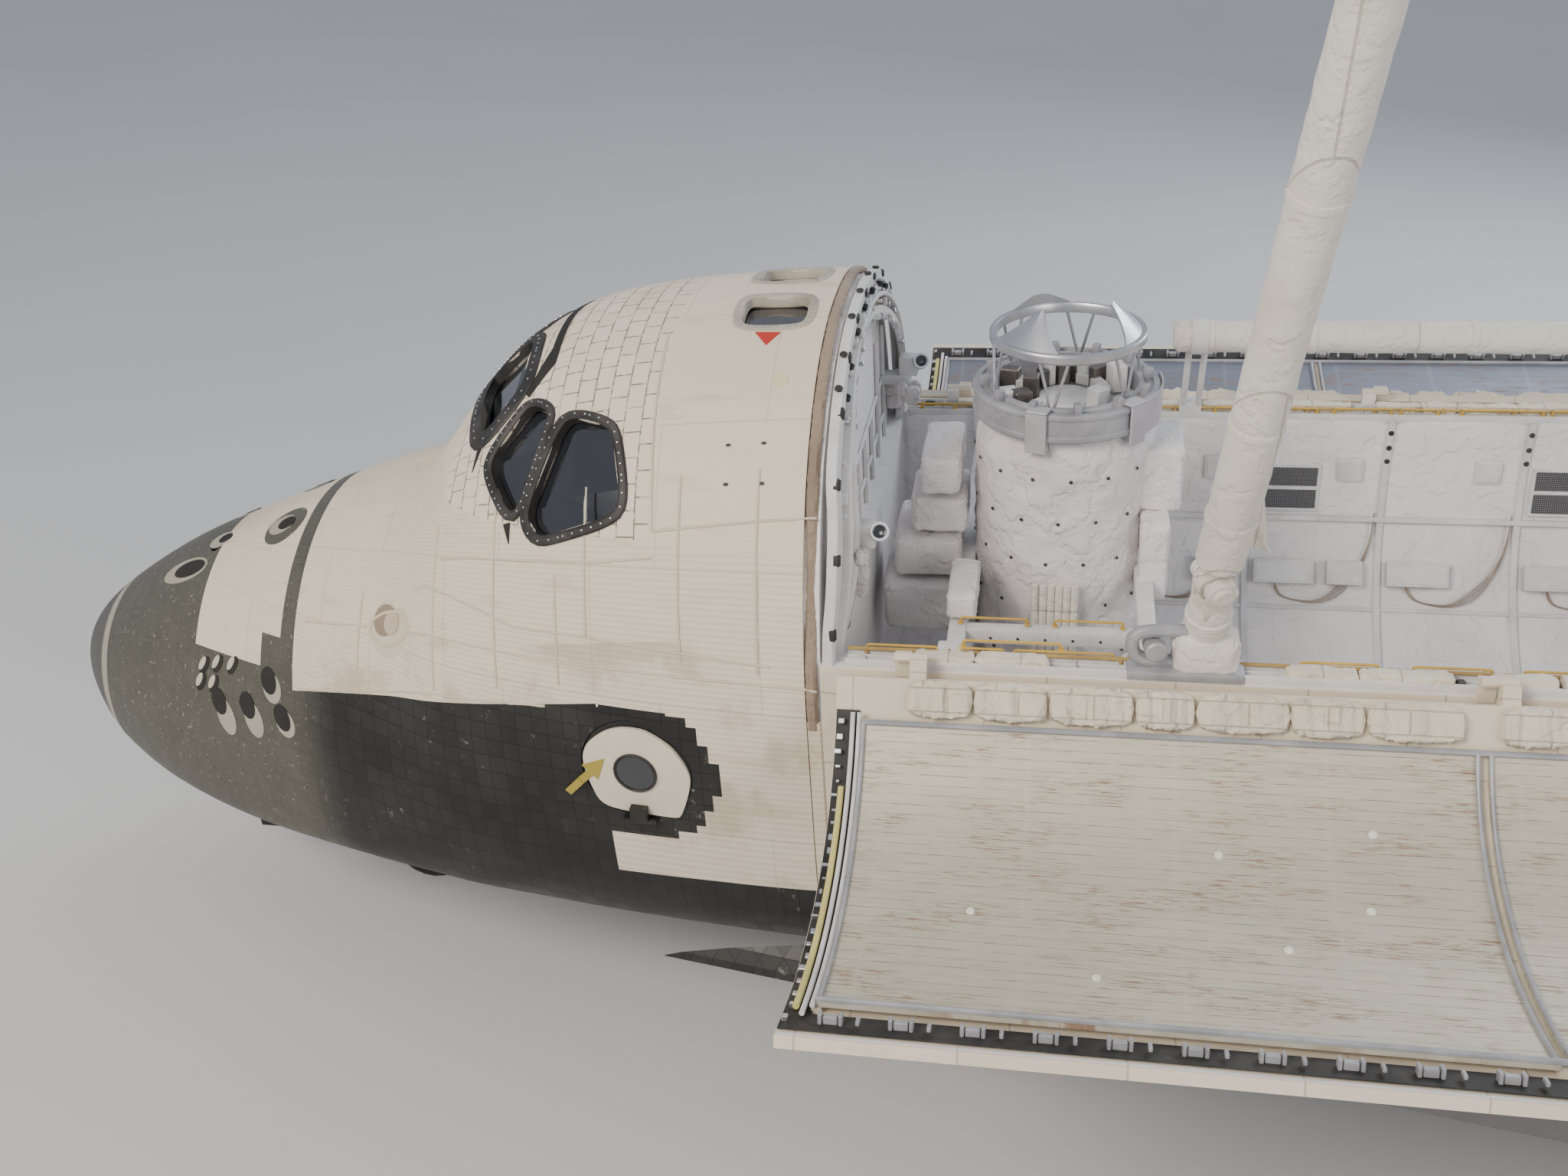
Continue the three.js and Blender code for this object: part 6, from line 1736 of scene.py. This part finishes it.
def bay_wall(share, inset=0.0):
    """A place on the bay's wall and its inward way, from the port sill (0) to the starboard sill (1)."""
    run = np.asarray(share, float) * WALL_LENGTH
    low, high = run < WALL_TOP, run > WALL_LENGTH - WALL_TOP
    turn = np.clip((run - WALL_TOP) / BAY["radius"], 0, math.pi)
    y, z = -BAY["radius"] * np.cos(turn), BAY["centre"] - BAY["radius"] * np.sin(turn)
    z = np.where(low, BAY["sill"] - run, np.where(high, BAY["centre"] + run - WALL_LENGTH + WALL_TOP, z))
    inward = np.stack([np.cos(turn), np.sin(turn)], -1)
    return np.stack([y, z], -1) + inward * np.asarray(inset, float)[..., None], inward


def wall_share(z, side):
    """Where on the wall a height lies, on one side."""
    drop = math.asin(min((BAY["centre"] - z) / BAY["radius"], 1.0)) if z < BAY["centre"] else 0.0
    run = BAY["sill"] - z if z >= BAY["centre"] else WALL_TOP + drop * BAY["radius"]
    return run / WALL_LENGTH if side < 0 else 1 - run / WALL_LENGTH


LINES = [wall_share(z, -1) for z in (413.6, 371, 338)] + [0.5] + [wall_share(z, 1) for z in (338, 371, 413.6)]


def blankets():
    """One grid for each bay and strip, with its own folds."""
    sheets = []
    starts = [BAY["from"], *FRAMES]
    for first, last in zip(starts, [*FRAMES, BAY["to"]]):
        for low, high in zip(LINES, LINES[1:]):
            folds = [(random.uniform(0, math.pi), random.uniform(3.0, 9.0), random.uniform(0, 6.3),
                      random.uniform(0.15, 0.5))
                     for _ in range(5)]

            def place(u, v):
                tight = np.sin(math.pi * u).clip(0) ** 0.5 * np.sin(math.pi * v).clip(0) ** 0.5
                crease = 0
                for way, rate, shift, size in folds:
                    wave = 0.9 * np.sin(3 * u + 2 * v + shift)
                    run = rate * (u * math.cos(way) + v * math.sin(way)) + shift + wave
                    crease = crease + size * (1 - np.abs(np.sin(run)))
                yz, _ = bay_wall(low + (high - low) * v, 0.35 + tight * (0.3 + 1.5 * crease))
                return np.column_stack([first + (last - first) * u, yz])

            sheets.append(laid_grid("blanket", 30, 26, place, close=False))
    return modified(merged(sheets, "bay_blankets"), "SOLIDIFY", thickness=0.25, offset=0)


random.seed(11)
finished(blankets(), "airframe", LINING, degrees=60)


def frame_path(x, inset):
    def path(v):
        yz, inward = bay_wall(v, inset)
        middle = np.column_stack([np.full(len(v), x), yz])
        return middle, np.array([1.0, 0, 0]), np.column_stack([np.zeros(len(v)), inward])
    return path


def line_path(share, inset):
    def path(v):
        yz, inward = bay_wall(np.full(len(v), share), inset)
        middle = np.column_stack([BAY["from"] + (BAY["to"] - BAY["from"]) * v, yz])
        sideways = np.column_stack([np.zeros(len(v)), -inward[:, 1], inward[:, 0]])
        return middle, sideways, np.column_stack([np.zeros(len(v)), inward])
    return path


hoops = [carried("hoop", rectangle(2.6, 2.4), frame_path(x, 1.2), 64) for x in FRAMES]
shelves = [carried("shelf", rectangle(2.2, 3.6), line_path(share, 1.7), 8) for share in (LINES[1], LINES[5])]
shelves += [carried("seam", rectangle(1.6, 1.6), line_path(share, 0.9), 8) for share in (LINES[2], LINES[4])]
finished(filled(merged([*hoops, *shelves], "bay_frames")), "airframe", WHITE_METAL)
print("bay frames:", len(FRAMES), "blankets:", (len(FRAMES) + 1) * (len(LINES) - 1))

# %% [markdown]
# Things hang on the bay's walls: dark mesh vents in pairs, white boxes, bolts, and bundles of cable that are
# clipped down from box to box. A small matrix turns a box so that its back lies against the curved wall.

# %% Vents, boxes and cables on the walls


def against_wall(x, z, side, inset):
    """Local x runs along the bay, y along the wall and z into the bay."""
    yz, inward = bay_wall(np.array([wall_share(z, side)]), np.array([inset]))
    return standing((x, *yz[0]), (0, *inward[0]))


def mesh_finish():
    f = Finish("vent_mesh", Specular_IOR_Level=0.3)
    x, y, z = f.station()
    wires, _ = f.bricks(f.vector(x, z), 0.8, 0.8, 0.16, 0.0)
    colour = f.mix(wires, (0.035, 0.035, 0.038), (0.16, 0.16, 0.165))
    return f.paint(colour, 0.6 + wires * 0.1, wires, 0.002)


MESH = mesh_finish()
vents, boxes, studs, cables = [], [], [], []
for side_name, side in SIDES:
    for k, x in enumerate(FRAMES[:-1]):
        if k % 2 == 0:
            for z in (379.0, 388.5):
                vents.append(slab("vent", (11, 3.9), 0, 0.8, 0.2, against_wall(x + 15.5, z, side, 2.3)))
            boxes.append(slab("tray", (12.4, 10.2), 0, 1.4, 0.4, against_wall(x + 15.5, 383.7, side, 1.4)))
        for start, wide, z, deep in ((3, 24, 350, 5), (32, 14, 350, 6), (34, 10, 392, 1.6)):
            if random.random() < 0.75:
                place = against_wall(x + start + wide / 2, z, side, 1.6)
                boxes.append(slab("box", (wide / 2, 5), 0, deep, 0.5, place, 2))
                boxes.append(slab("lid", (wide / 2 - 1, 4), deep - 0.2, deep + 0.3, 0.15, place))
        studs += [against_wall(x, z, side, 2.3) for z in (408.5, 402.0, 396.0)]
        lay = random.uniform(0, 6)
        for n in range(3):
            places = [(8 + lay, 345), (14, 341 - n), (25 + lay, 339 - n * 0.7), (38, 342 + n), (46, 352),
                      (49.5, 362), (50, 372)]
            route = [against_wall(x + dx, z + n * 0.9, side, 2.6 + n * 0.25).translation for dx, z in places]
            cables.append(route)
finished(merged(vents, "wall_vents"), "airframe", MESH)
finished(merged(boxes, "wall_boxes"), "airframe", WHITE_METAL)
stud = turned("stud", [(0, 0.9), (0.9, 0.7), (1.2, 0), (0, 0)], 8)
finished(scattered(stud, studs, "wall_studs"), "airframe", DARK)
finished(pipes("wall_cables", cables, 0.32, 6, 5.0), "airframe", HARNESS)
print("wall boxes:", len(boxes), "cables:", len(cables))

# %% [markdown]
# Along each sill run rails, short posts, black rollers and gold handrails on small feet. Outside them lie
# lumpy stuffed blankets, sewn into bags that stop at each door hinge, so the hinges stay free.

# %% Sills, handrails and stuffed blankets
HINGE_STATIONS = [600, 768, 936, 1104, 1272]
SHOULDER_STATION = (692,)
rails, dark_bits, bars, handrails = [], [], [], []
bags, door_bags = ({name: [] for name, _ in SIDES} for _ in range(2))


def handrail(x, length, y, z, rise=2.2):
    """The route of a bar, and its two feet."""
    route = [(x, y, z), (x, y, z + rise), (x + length, y, z + rise), (x + length, y, z)]
    feet = [block("handrail_foot", (x + d - 0.9, y - 0.7, z - 0.2), (x + d + 0.9, y + 0.7, z + 0.5), 0.15, 1)
            for d in (0, length)]
    return route, feet


for side_name, side in SIDES:
    def across_sill(name, first, last, reach, low, high, *edge):
        near, far = sorted((side * reach[0], side * reach[1]))
        return block(name, (first, near, low), (last, far, high), *edge)

    for reach, low, high, edge in (((93.4, 95.6), 411.5, 415.6, 0.4), ((101.3, 102.6), 413.9, 416.8, 0.3),
                                   ((96.6, 97.6), 413.9, 415.4, 0.3)):
        rails.append(across_sill("rail", 584, 1300, reach, low, high, edge))
    x = 588.0
    while x < 1296:
        wide = random.choice((0.8, 1.0, 2.0))
        rails.append(across_sill("post", x, x + wide, (95.4, 101.6), 413.9,
                                 415.4 + random.uniform(0, 0.9), 0.2, 1))
        if random.random() < 0.35:
            dark_bits.append(across_sill("fitting", x + 3, x + 3 + random.uniform(2, 5), (98.0, 100.6), 414,
                                         416.4, 0.3, 1))
        x += random.uniform(7.0, 15.0)
    x = 590.0
    while x < 1284:
        length = random.choice((14.0, 22.0, 30.0))
        taken = SHOULDER_STATION if side < 0 else BOOM_STANDS
        if all(abs(x + length / 2 - at) > length / 2 + 6 for at in taken):
            route, feet = handrail(x, length, side * 94.6, 415.4)
            bars.append(route)
            handrails += feet
        x += length + random.uniform(3.0, 10.0)
    for first, last in zip([585, *HINGE_STATIONS], [*HINGE_STATIONS, 1300]):
        x = first + 5.0
        while x < last - 12:
            length = min(random.uniform(12, 30), last - 5 - x)
            low, high = sorted((side * 96.2, side * 101.8))
            beside_shoulder = side < 0 and x < 705 and x + length > 668
            if length > 6 and not beside_shoulder:
                corners = (x, low, 413.6), (x + length, high, 418.2)
                bags[side_name].append(pillow("bag", *corners, 22, 18, 0.3, 1.5, random.randrange(40)))

            def bag_place(u, v, x=x, length=length):
                around = v * 2 * math.pi
                shut = np.sin(math.pi * u).clip(0) ** 0.16
                angle = 6.7 + 3.7 * bent(np.cos(around), 0.35) * shut
                puff = 0.7 * np.sin(u * 13 + x) + 0.5 * np.sin(u * 31 + v * 9 + x)
                inset = 4.7 + (1.7 * bent(np.sin(around), 0.5) + puff * np.sin(around).clip(0)) * shut
                return door_points(x + length * u, angle, inset, side)

            if length > 6:
                leaf_bag = laid_grid("leaf_bag", 26, 20, bag_place, False)
                door_bags[side_name].append(creased(leaf_bag, 3.0, 0.9, random.randrange(40)))
            x += length + random.uniform(0.2, 0.8)
finished(merged(rails, "sill_rails"), "airframe", WHITE_METAL)
finished(merged(dark_bits, "sill_fittings"), "airframe", DARK)
handrails.append(pipes("bars", bars, 0.42, 8, 0.9))
finished(merged(handrails, "sill_handrails"), "airframe", YELLOW)
gold = [[(x, side * 95.9, 416.9) for x in (584, 1299)] for side in (PORT, STARBOARD)]
clips = [block("clip", (x - 0.5, side * 95.9 - 0.7, 415.0), (x + 0.5, side * 95.9 + 0.7, 417.6), 0.15, 1)
         for x in np.arange(590, 1298, 26.0) for side in (PORT, STARBOARD)]
finished(merged([pipes("gold", gold, 0.62, 8), *clips], "sill_gold_rails"), "airframe", GOLD)
for side_name, side in SIDES:
    for row, name, body in ((bags, "sill_bags", "airframe"),
                            (door_bags, "door_bags", f"{side_name}_bay_door")):
        bag = tidied(merged(row[side_name], f"{side_name}_{name}"), 0.02)
        finished(bag, body, SILL_WRAP)
print("sill bags:", {name: len(row) for name, row in bags.items()})

# %% [markdown]
# Where the cabin ends, a ring of white frames closes the gap to the doors. A fuzzy brown felt seam lies under
# the skin's edge, black rollers sit in the outer frame, and the inner frames carry small fittings. Two
# cameras look out over the bay from brackets wrapped in foil.

# %% The ring behind the cabin


def passing(degrees):
    """How far the ring is lowered where the arm can pass over it."""
    return 2.9 * np.exp(-(((degrees - 28.0) / 11.0) ** 4))


def hoop_path(x, lift, first=9.0, last=171.0, share=1.0):
    def path(v):
        angle = first + (last - first) * v
        level = lift - passing(angle) * share
        here = on_hull(x, angle, level)
        return here, np.array([1.0, 0, 0]), on_hull(x, angle, level + 1.0) - here
    return path


def on_ring(x, degrees, lift):
    """Local x runs aft, y along the ring and z outwards."""
    here, up = (on_hull(x, degrees, lift - passing(degrees) + step) for step in (0.0, 1.0))
    return standing(here, up - here)


covers = [carried("cover", rectangle(4.7, 2.2, 0.5), hoop_path(573.5, -1.15, *ends), 90)
          for ends in ((-89, 3), (177, 269))]
finished(filled(merged(covers, "lower_joint")), "airframe", FORWARD_SKIN)
fuzz = carried("fuzz", rectangle(3.4, 2.4, 0.7), hoop_path(573.0, -0.9, 2.0, 178.0, 0.69), 260)
finished(lumpy(filled(merged([fuzz], "felt_seam")), 1.6, 0.4, 4), "airframe", FUZZ)
hoops = []
for x, wide, lift, deep in ((578.3, 3.4, -3.2, 3.6), (577.4, 1.6, -7.0, 3.0), (579.0, 4.6, -10.2, 1.6),
                            (578.2, 3.0, -16.0, 3.0)):
    hoops.append(carried("hoop", rectangle(wide, deep), hoop_path(x, lift), 90))
finished(filled(merged(hoops, "bulkhead_ring")), "airframe", WHITE_METAL)
band = carried("band", rectangle(0.8, 4.0), hoop_path(577.0, -12.8), 90)
finished(filled(merged([band], "bulkhead_band")), "airframe", HARNESS)
random.seed(3)
slots, knobs, bits = [], [], []
for degrees in np.arange(14, 168, 13.0):
    slots.append(block("slot", (-1.0, -1.9, -1.0), (0.9, 1.9, 1.3), 0.3, 1, on_ring(579.8, degrees, -3.0)))
knob = turned("knob", [(0, 2.2), (1.1, 2.1), (1.4, 1.6), (1.1, 1.2), (0.8, 0), (0, 0)], 12)
for degrees in (58, 66, 78, 90, 102, 114, 122):
    for x, lift in ((578.6, -2.4), (580.0, -8.0)):
        knobs.append(on_ring(x, degrees, lift))
for degrees in np.arange(11, 169, 1.7):
    *half, high = random.uniform(0.5, 1.3), random.uniform(0.5, 2.2), random.uniform(0.6, 1.8)
    place = on_ring(579.5 + random.uniform(-0.5, 1.0), degrees, random.choice((-8.4, -13.0, -18.4)))
    bits.append(slab("bit", half, -high, high, 0.25, place))
finished(merged(slots, "ring_rollers"), "airframe", DARK)
finished(scattered(knob, knobs, "ring_knobs"), "airframe", DARK)
finished(merged(bits[::2], "ring_fittings_pale"), "airframe", WHITE_METAL)
finished(merged(bits[1::2], "ring_fittings_bright"), "airframe", BRIGHT)
face = []
for y in np.arange(-70, 71, 20.0):
    face.append(block("rib", (576.1, y - 0.8, 350), (577.6, y + 0.8, 462 if abs(y) > 30 else 440), 0.3, 1))
for z in (352, 376, 400, 424, 440):
    face.append(block("rib", (576.1, -74, z - 0.8), (577.2, 74, z + 0.8), 0.3, 1))
finished(merged(face, "bulkhead_ribs"), "airframe", WHITE_METAL)

brackets, foils, barrels, lenses = [], [], [], []
LOOK = Vector((0.28, -0.78, 0.50)).normalized()
for side in (PORT, STARBOARD):
    eye = Vector((591.0, side * 71.5, 445.0))
    brackets.append(block("arm", (576.2, eye.y - 3.5, 437), (588, eye.y + 3.5, 441), 0.6))
    brackets.append(block("head", (583.5, eye.y - 3.2, 440.5), (591.0, eye.y + 3.6, 448.5), 0.8))
    barrel = [(0, -2.0), (2.3, -2.0), (2.5, 3.6), (3.1, 3.8), (3.1, 6.0), (2.3, 6.0), (2.2, 5.0), (0, 5.0)]
    barrels.append(turned("barrel", barrel, 28, eye, eye + LOOK))
    lenses.append(turned("lens", [(0, 5.6), (1.2, 5.5), (2.1, 5.1), (2.1, 4.9), (0, 4.9)], 24, eye,
                         eye + LOOK))
    for n in range(9):
        at = np.array(Vector((random.uniform(578, 589), eye.y + random.uniform(-9, 9),
                              random.uniform(424, 441))))
        size = np.array([random.uniform(1.8, 4.2) for _ in range(3)])
        foil = pillow("foil", at - size, at + size, 14, 14, 0.7)
        foils.append(creased(foil, 2.2, 1.3, n))
finished(merged(brackets, "camera_brackets"), "airframe", WHITE_METAL)
finished(merged(barrels, "camera_barrels"), "airframe", BRIGHT)
finished(merged(lenses, "camera_lenses"), "airframe", GLASS)
finished(tidied(merged(foils, "camera_foil"), 0.02), "airframe", FOIL)
print("ring parts:", len(slots) + len(knobs) + len(bits))

# %% [markdown]
# The docking module carries what the crew needs outside: gold handrails along its truss, a ribbed duct,
# padded bags, strap plates over the collar, and the stepped boxes of the tunnel that leads to the cabin.

# %% Fittings of the docking module
straps = []
for angle in (-107, -43):
    place = Matrix.Translation((DOCK_X, 0, 0)) @ Matrix.Rotation(math.radians(angle), 4, "Z")
    for near, low, high in ((32.0, 454.5, 469.4), (27.5, 468.5, 469.5)):
        straps.append(block("strap", (near, -3.6, low), (32.9, 3.6, high), 0.3, 1, place))


def cuff(u, v):
    turn = np.radians(-39 + 52 * u)
    return np.stack([DOCK_X + 32.4 * np.cos(turn), 32.4 * np.sin(turn), 457 + 11.8 * v], -1)


straps.append(modified(laid_grid("cuff", 16, 2, cuff, close=False), "SOLIDIFY", thickness=0.5, offset=0))
finished(merged(straps, "collar_straps"), "airframe", STRAP)

duct = pipes("duct", [[(641 + 2.7 * k, -33.5, 378), (641 + 2.7 * k, -34.0, 392), (641 + 2.7 * k, -32.6, 405)]
                      for k in range(6)],
             1.5, 10, 4.0)
finished(duct, "airframe", WRAP)
bags = []
for low, high, seed in (((674, -14, 424), (690, 14, 449), 2), ((676, -26, 396), (686, -12, 426), 5),
                        ((600, -20, 432), (614, 16, 446), 7), ((612, -58, 405), (622, -30, 414), 9),
                        ((586, -24, 378), (616, 20, 398), 11), ((590, -20, 399), (614, 16, 414), 12),
                        ((596, -16, 415), (616, 12, 429), 14)):
    bag = pillow("bag", low, high, 34, 34, 0.22, 0.7, seed)
    bags.append(creased(bag, 5.0, 0.9, seed))
finished(tidied(merged(bags, "module_bags"), 0.02), "airframe", MODULE_WRAP,
                   degrees=60)
bars, feet = [], []
for x, length, y, z in ((617, 22, -60, 405.4), (648, 22, -60, 405.4), (620, 30, -92.5, 417.0),
                        (617, 22, 60, 405.4)):
    route, pair = handrail(x, length, y, z)
    bars.append(route)
    feet += pair
for x in (612, 682):
    bars.append([(x, y, z) for y, z in ((-63.4, 352), (-65.2, 352), (-65.2, 392), (-63.4, 392))])
feet.append(pipes("bars", bars, 0.42, 8, 0.9))
finished(merged(feet, "module_handrails"), "airframe", YELLOW)
dots = turned("dot", [(0, 0.35), (0.4, 0.25), (0.5, 0)], 8)
spots = [Matrix.Translation((x, -62.7, z)) @ Matrix.Rotation(math.pi / 2, 4, "X")
         for z in (374.5, 401.5) for x in np.arange(618, 680, 9.0)]
finished(scattered(dots, spots, "truss_studs"), "airframe", DARK)
print("truss studs:", len(spots))

# %% [markdown]
# At the back, each main engine's bell is wound with hoops that stiffen it, and its throat is crowded with
# pipes. Every wheel has a hub on both faces, with a ring of bolts, that turns with it.

# %% Engines, pods and wheels
MOUNTS = {"top": ((1488, 0, 443), 16, 0), "port": ((1492, -53, 342.6), 10, -3.5),
          "starboard": ((1492, 53, 342.6), 10, 3.5)}
BELL_SHAPE = np.array([(30, 11), (38, 14), (60, 29), (95, 41), (140, 47)], float)
HOOP_OUTLINE = [(-0.8, -0.9), (0.9, -0.7), (0.9, 0.7), (-0.8, 0.9), (-0.8, -0.9)]
random.seed(21)
for name, (base, up, out) in MOUNTS.items():
    up, out = math.radians(up), math.radians(out)
    way = Vector((math.cos(up) * math.cos(out), math.sin(out), math.sin(up))).normalized()
    place = Matrix.Translation(Vector(base)) @ facing(way)
    hoops = []
    for along in (46, 56, 67, 79, 91, 103, 115, 127, 137):
        radius = float(np.interp(along, *BELL_SHAPE.T))
        ring = [(radius + out, along + step) for out, step in HOOP_OUTLINE]
        hoops.append(turned("hoop", ring, 64))
    tubes = []
    for k in range(9):
        turn = math.radians(k * 40 + random.uniform(-8, 8))
        swirl = turn + math.radians(random.choice((-30, 26)))
        points = [(turn, 13.0, 29), (turn, 17.5, 35), (swirl, 18.5, 43), (swirl, 22.5, 49), (swirl, 23.0, 54)]
        tubes.append([(r * math.cos(a), r * math.sin(a), along) for a, r, along in points])
    hoops.append(pipes("tubes", tubes, 1.3, 8, 4.0))
    engine = merged(hoops, f"{name}_engine_hoops")
    finished(engine, "airframe", BELL_HOOP, (), VEHICLE @ place)

cup = turned("cup", [(0, 0.4), (2.2, 0.4), (2.7, 3.0), (3.2, 3.0), (3.2, 0), (0, 0)], 20, head=ALONG)
cups = scattered(cup, [Matrix.Translation((1555.6, side * (50 + 9 * k), z)) for side in (PORT, STARBOARD)
                       for k in range(2) for z in (458, 468, 478)], "pod_thrusters")
finished(cups, "airframe", NEAR_BLACK)


def hub_model(radius, half):
    """A wheel's hub: a dished plate, a cap and ten bolts, drawn on the +z face."""
    dish = [(0, half * 0.7 - 0.2), (radius * 0.16, half * 0.7 + 0.9), (radius * 0.2, half * 0.7 + 0.2),
            (radius * 0.36, half * 0.7 + 0.15), (radius * 0.5, half * 0.7 + 0.5),
            (radius * 0.52, half * 0.7 + 0.05), (radius * 0.3, half * 0.7 - 0.4), (0, half * 0.7 - 0.4)]
    plate = turned("dish", dish, 40)
    bolt = turned("bolt", [(0, 0.55), (0.5, 0.5), (0.6, 0), (0, 0)], 6)
    spots = [Matrix.Rotation(math.radians(36 * k), 4, "Z")
             @ Matrix.Translation((radius * 0.42, 0, half * 0.7 + 0.2)) for k in range(10)]
    return merged([plate, scattered(bolt, spots, "bolts")], "hub")


for body, radius, width, spread, middle in (("nose_wheels", 15.7, 8.8, 22, 0),
                                            ("port_main_wheels", 22.4, 16, 28, -136),
                                            ("starboard_main_wheels", 22.4, 16, 28, 136)):
    axle = VEHICLE.inverted() @ joint_at(body + "_spin")
    outwards = [Matrix.Translation((axle.x, middle + k * spread / 2, axle.z))
                @ Matrix.Rotation(-turn * math.pi / 2, 4, "X")
                for k in (-1, 1) for turn in (-1, 1)]
    finished(scattered(hub_model(radius, width / 2), outwards, body + "_hubs"), body, GEAR)
print("engines:", len(MOUNTS), "hubs on three wheel pairs")

# %% [markdown]
# Whatever solids are still showing keep their shape and get a finish by name.

# %% Finishes for the solids that stay
LEFT_AS_SOLID = {
    MID_SKIN: ["mid_fuselage"],
    WING_SKIN: ["port_wing", "starboard_wing"],
    FELT: ["aft_fuselage", "port_engine_pod", "starboard_engine_pod"],
    LINING: ["forward_bulkhead"],
    WHITE_TILE: ["vertical_tail", "port_rudder_panel", "starboard_rudder_panel"],
    BLACK_TILE: ["crew_hatch", "body_flap", "port_nose_gear_door", "starboard_nose_gear_door",
                 "port_main_gear_door", "starboard_main_gear_door", "port_inboard_elevon",
                 "port_outboard_elevon", "starboard_inboard_elevon", "starboard_outboard_elevon"],
    GLASS: ["windshield_glass", "overhead_glass", "aft_glass"],
    DARK: ["flight_deck"],
    BELL: ["top_main_engine", "port_main_engine", "starboard_main_engine", "port_pod_nozzle",
           "starboard_pod_nozzle"],
    GREY: ["rudder_shaft"],
    GEAR: ["nose_gear_leg", "nose_gear_piston", "port_main_gear_leg", "starboard_main_gear_leg"],
    RUBBER: ["nose_wheels", "port_main_wheels", "starboard_main_wheels"],
}
for finish, names in LEFT_AS_SOLID.items():
    for node in names:
        NODES[node].data.materials.clear()
        NODES[node].data.materials.append(finish)
print("solids that stay:", sum(len(names) for names in LEFT_AS_SOLID.values()))

# %% [markdown]
# The vehicle stands on a plain pale floor under soft lights: one large warm light ahead and above, a second
# from behind, and an even sky.

# %% Floor, sky and lights
deselect()
bpy.ops.mesh.primitive_circle_add(vertices=96, radius=400, fill_type="NGON", location=(0, 0, 0))
floor = newest("floor")
f = Finish("floor", Roughness=0.85)
cloud = f.noise(f.place(), 0.15, 3.0)
floor.data.materials.append(f.paint(f.mix(cloud, (0.60, 0.60, 0.60), (0.66, 0.66, 0.65))))
world = bpy.data.worlds.new("sky")
bpy.context.scene.world = world
world.use_nodes = True
world.node_tree.nodes["Background"].inputs["Color"].default_value = (0.80, 0.86, 1.0, 1.0)
world.node_tree.nodes["Background"].inputs["Strength"].default_value = 0.55


def soft_light(name, place, aim, power, size, colour):
    light = bpy.data.lights.new(name, "AREA")
    light.energy, light.size, light.color = power, size, colour
    lamp = bpy.data.objects.new(name, light)
    bpy.context.scene.collection.objects.link(lamp)
    lamp.location = place
    lamp.rotation_mode = "QUATERNION"
    lamp.rotation_quaternion = (Vector(aim) - Vector(place)).to_track_quat("-Z", "Y")
    return lamp


soft_light("key", (-26, -22, 26), (-8, 0, 4), 9500, 14, (1.0, 0.91, 0.78))
soft_light("fill", (14, -26, 18), (0, 0, 5), 3800, 16, (1.0, 0.94, 0.86))
soft_light("rear", (10, 24, 22), (0, 0, 5), 5200, 16, (0.86, 0.92, 1.0))
print("lights:", len(bpy.data.lights))

# %% [markdown]
# Last, the number of pieces made and their faces are printed.

# %% Pieces made, and the end
import json

print("pieces made:", len(made), "faces:", sum(len(piece.data.polygons) for piece in made))
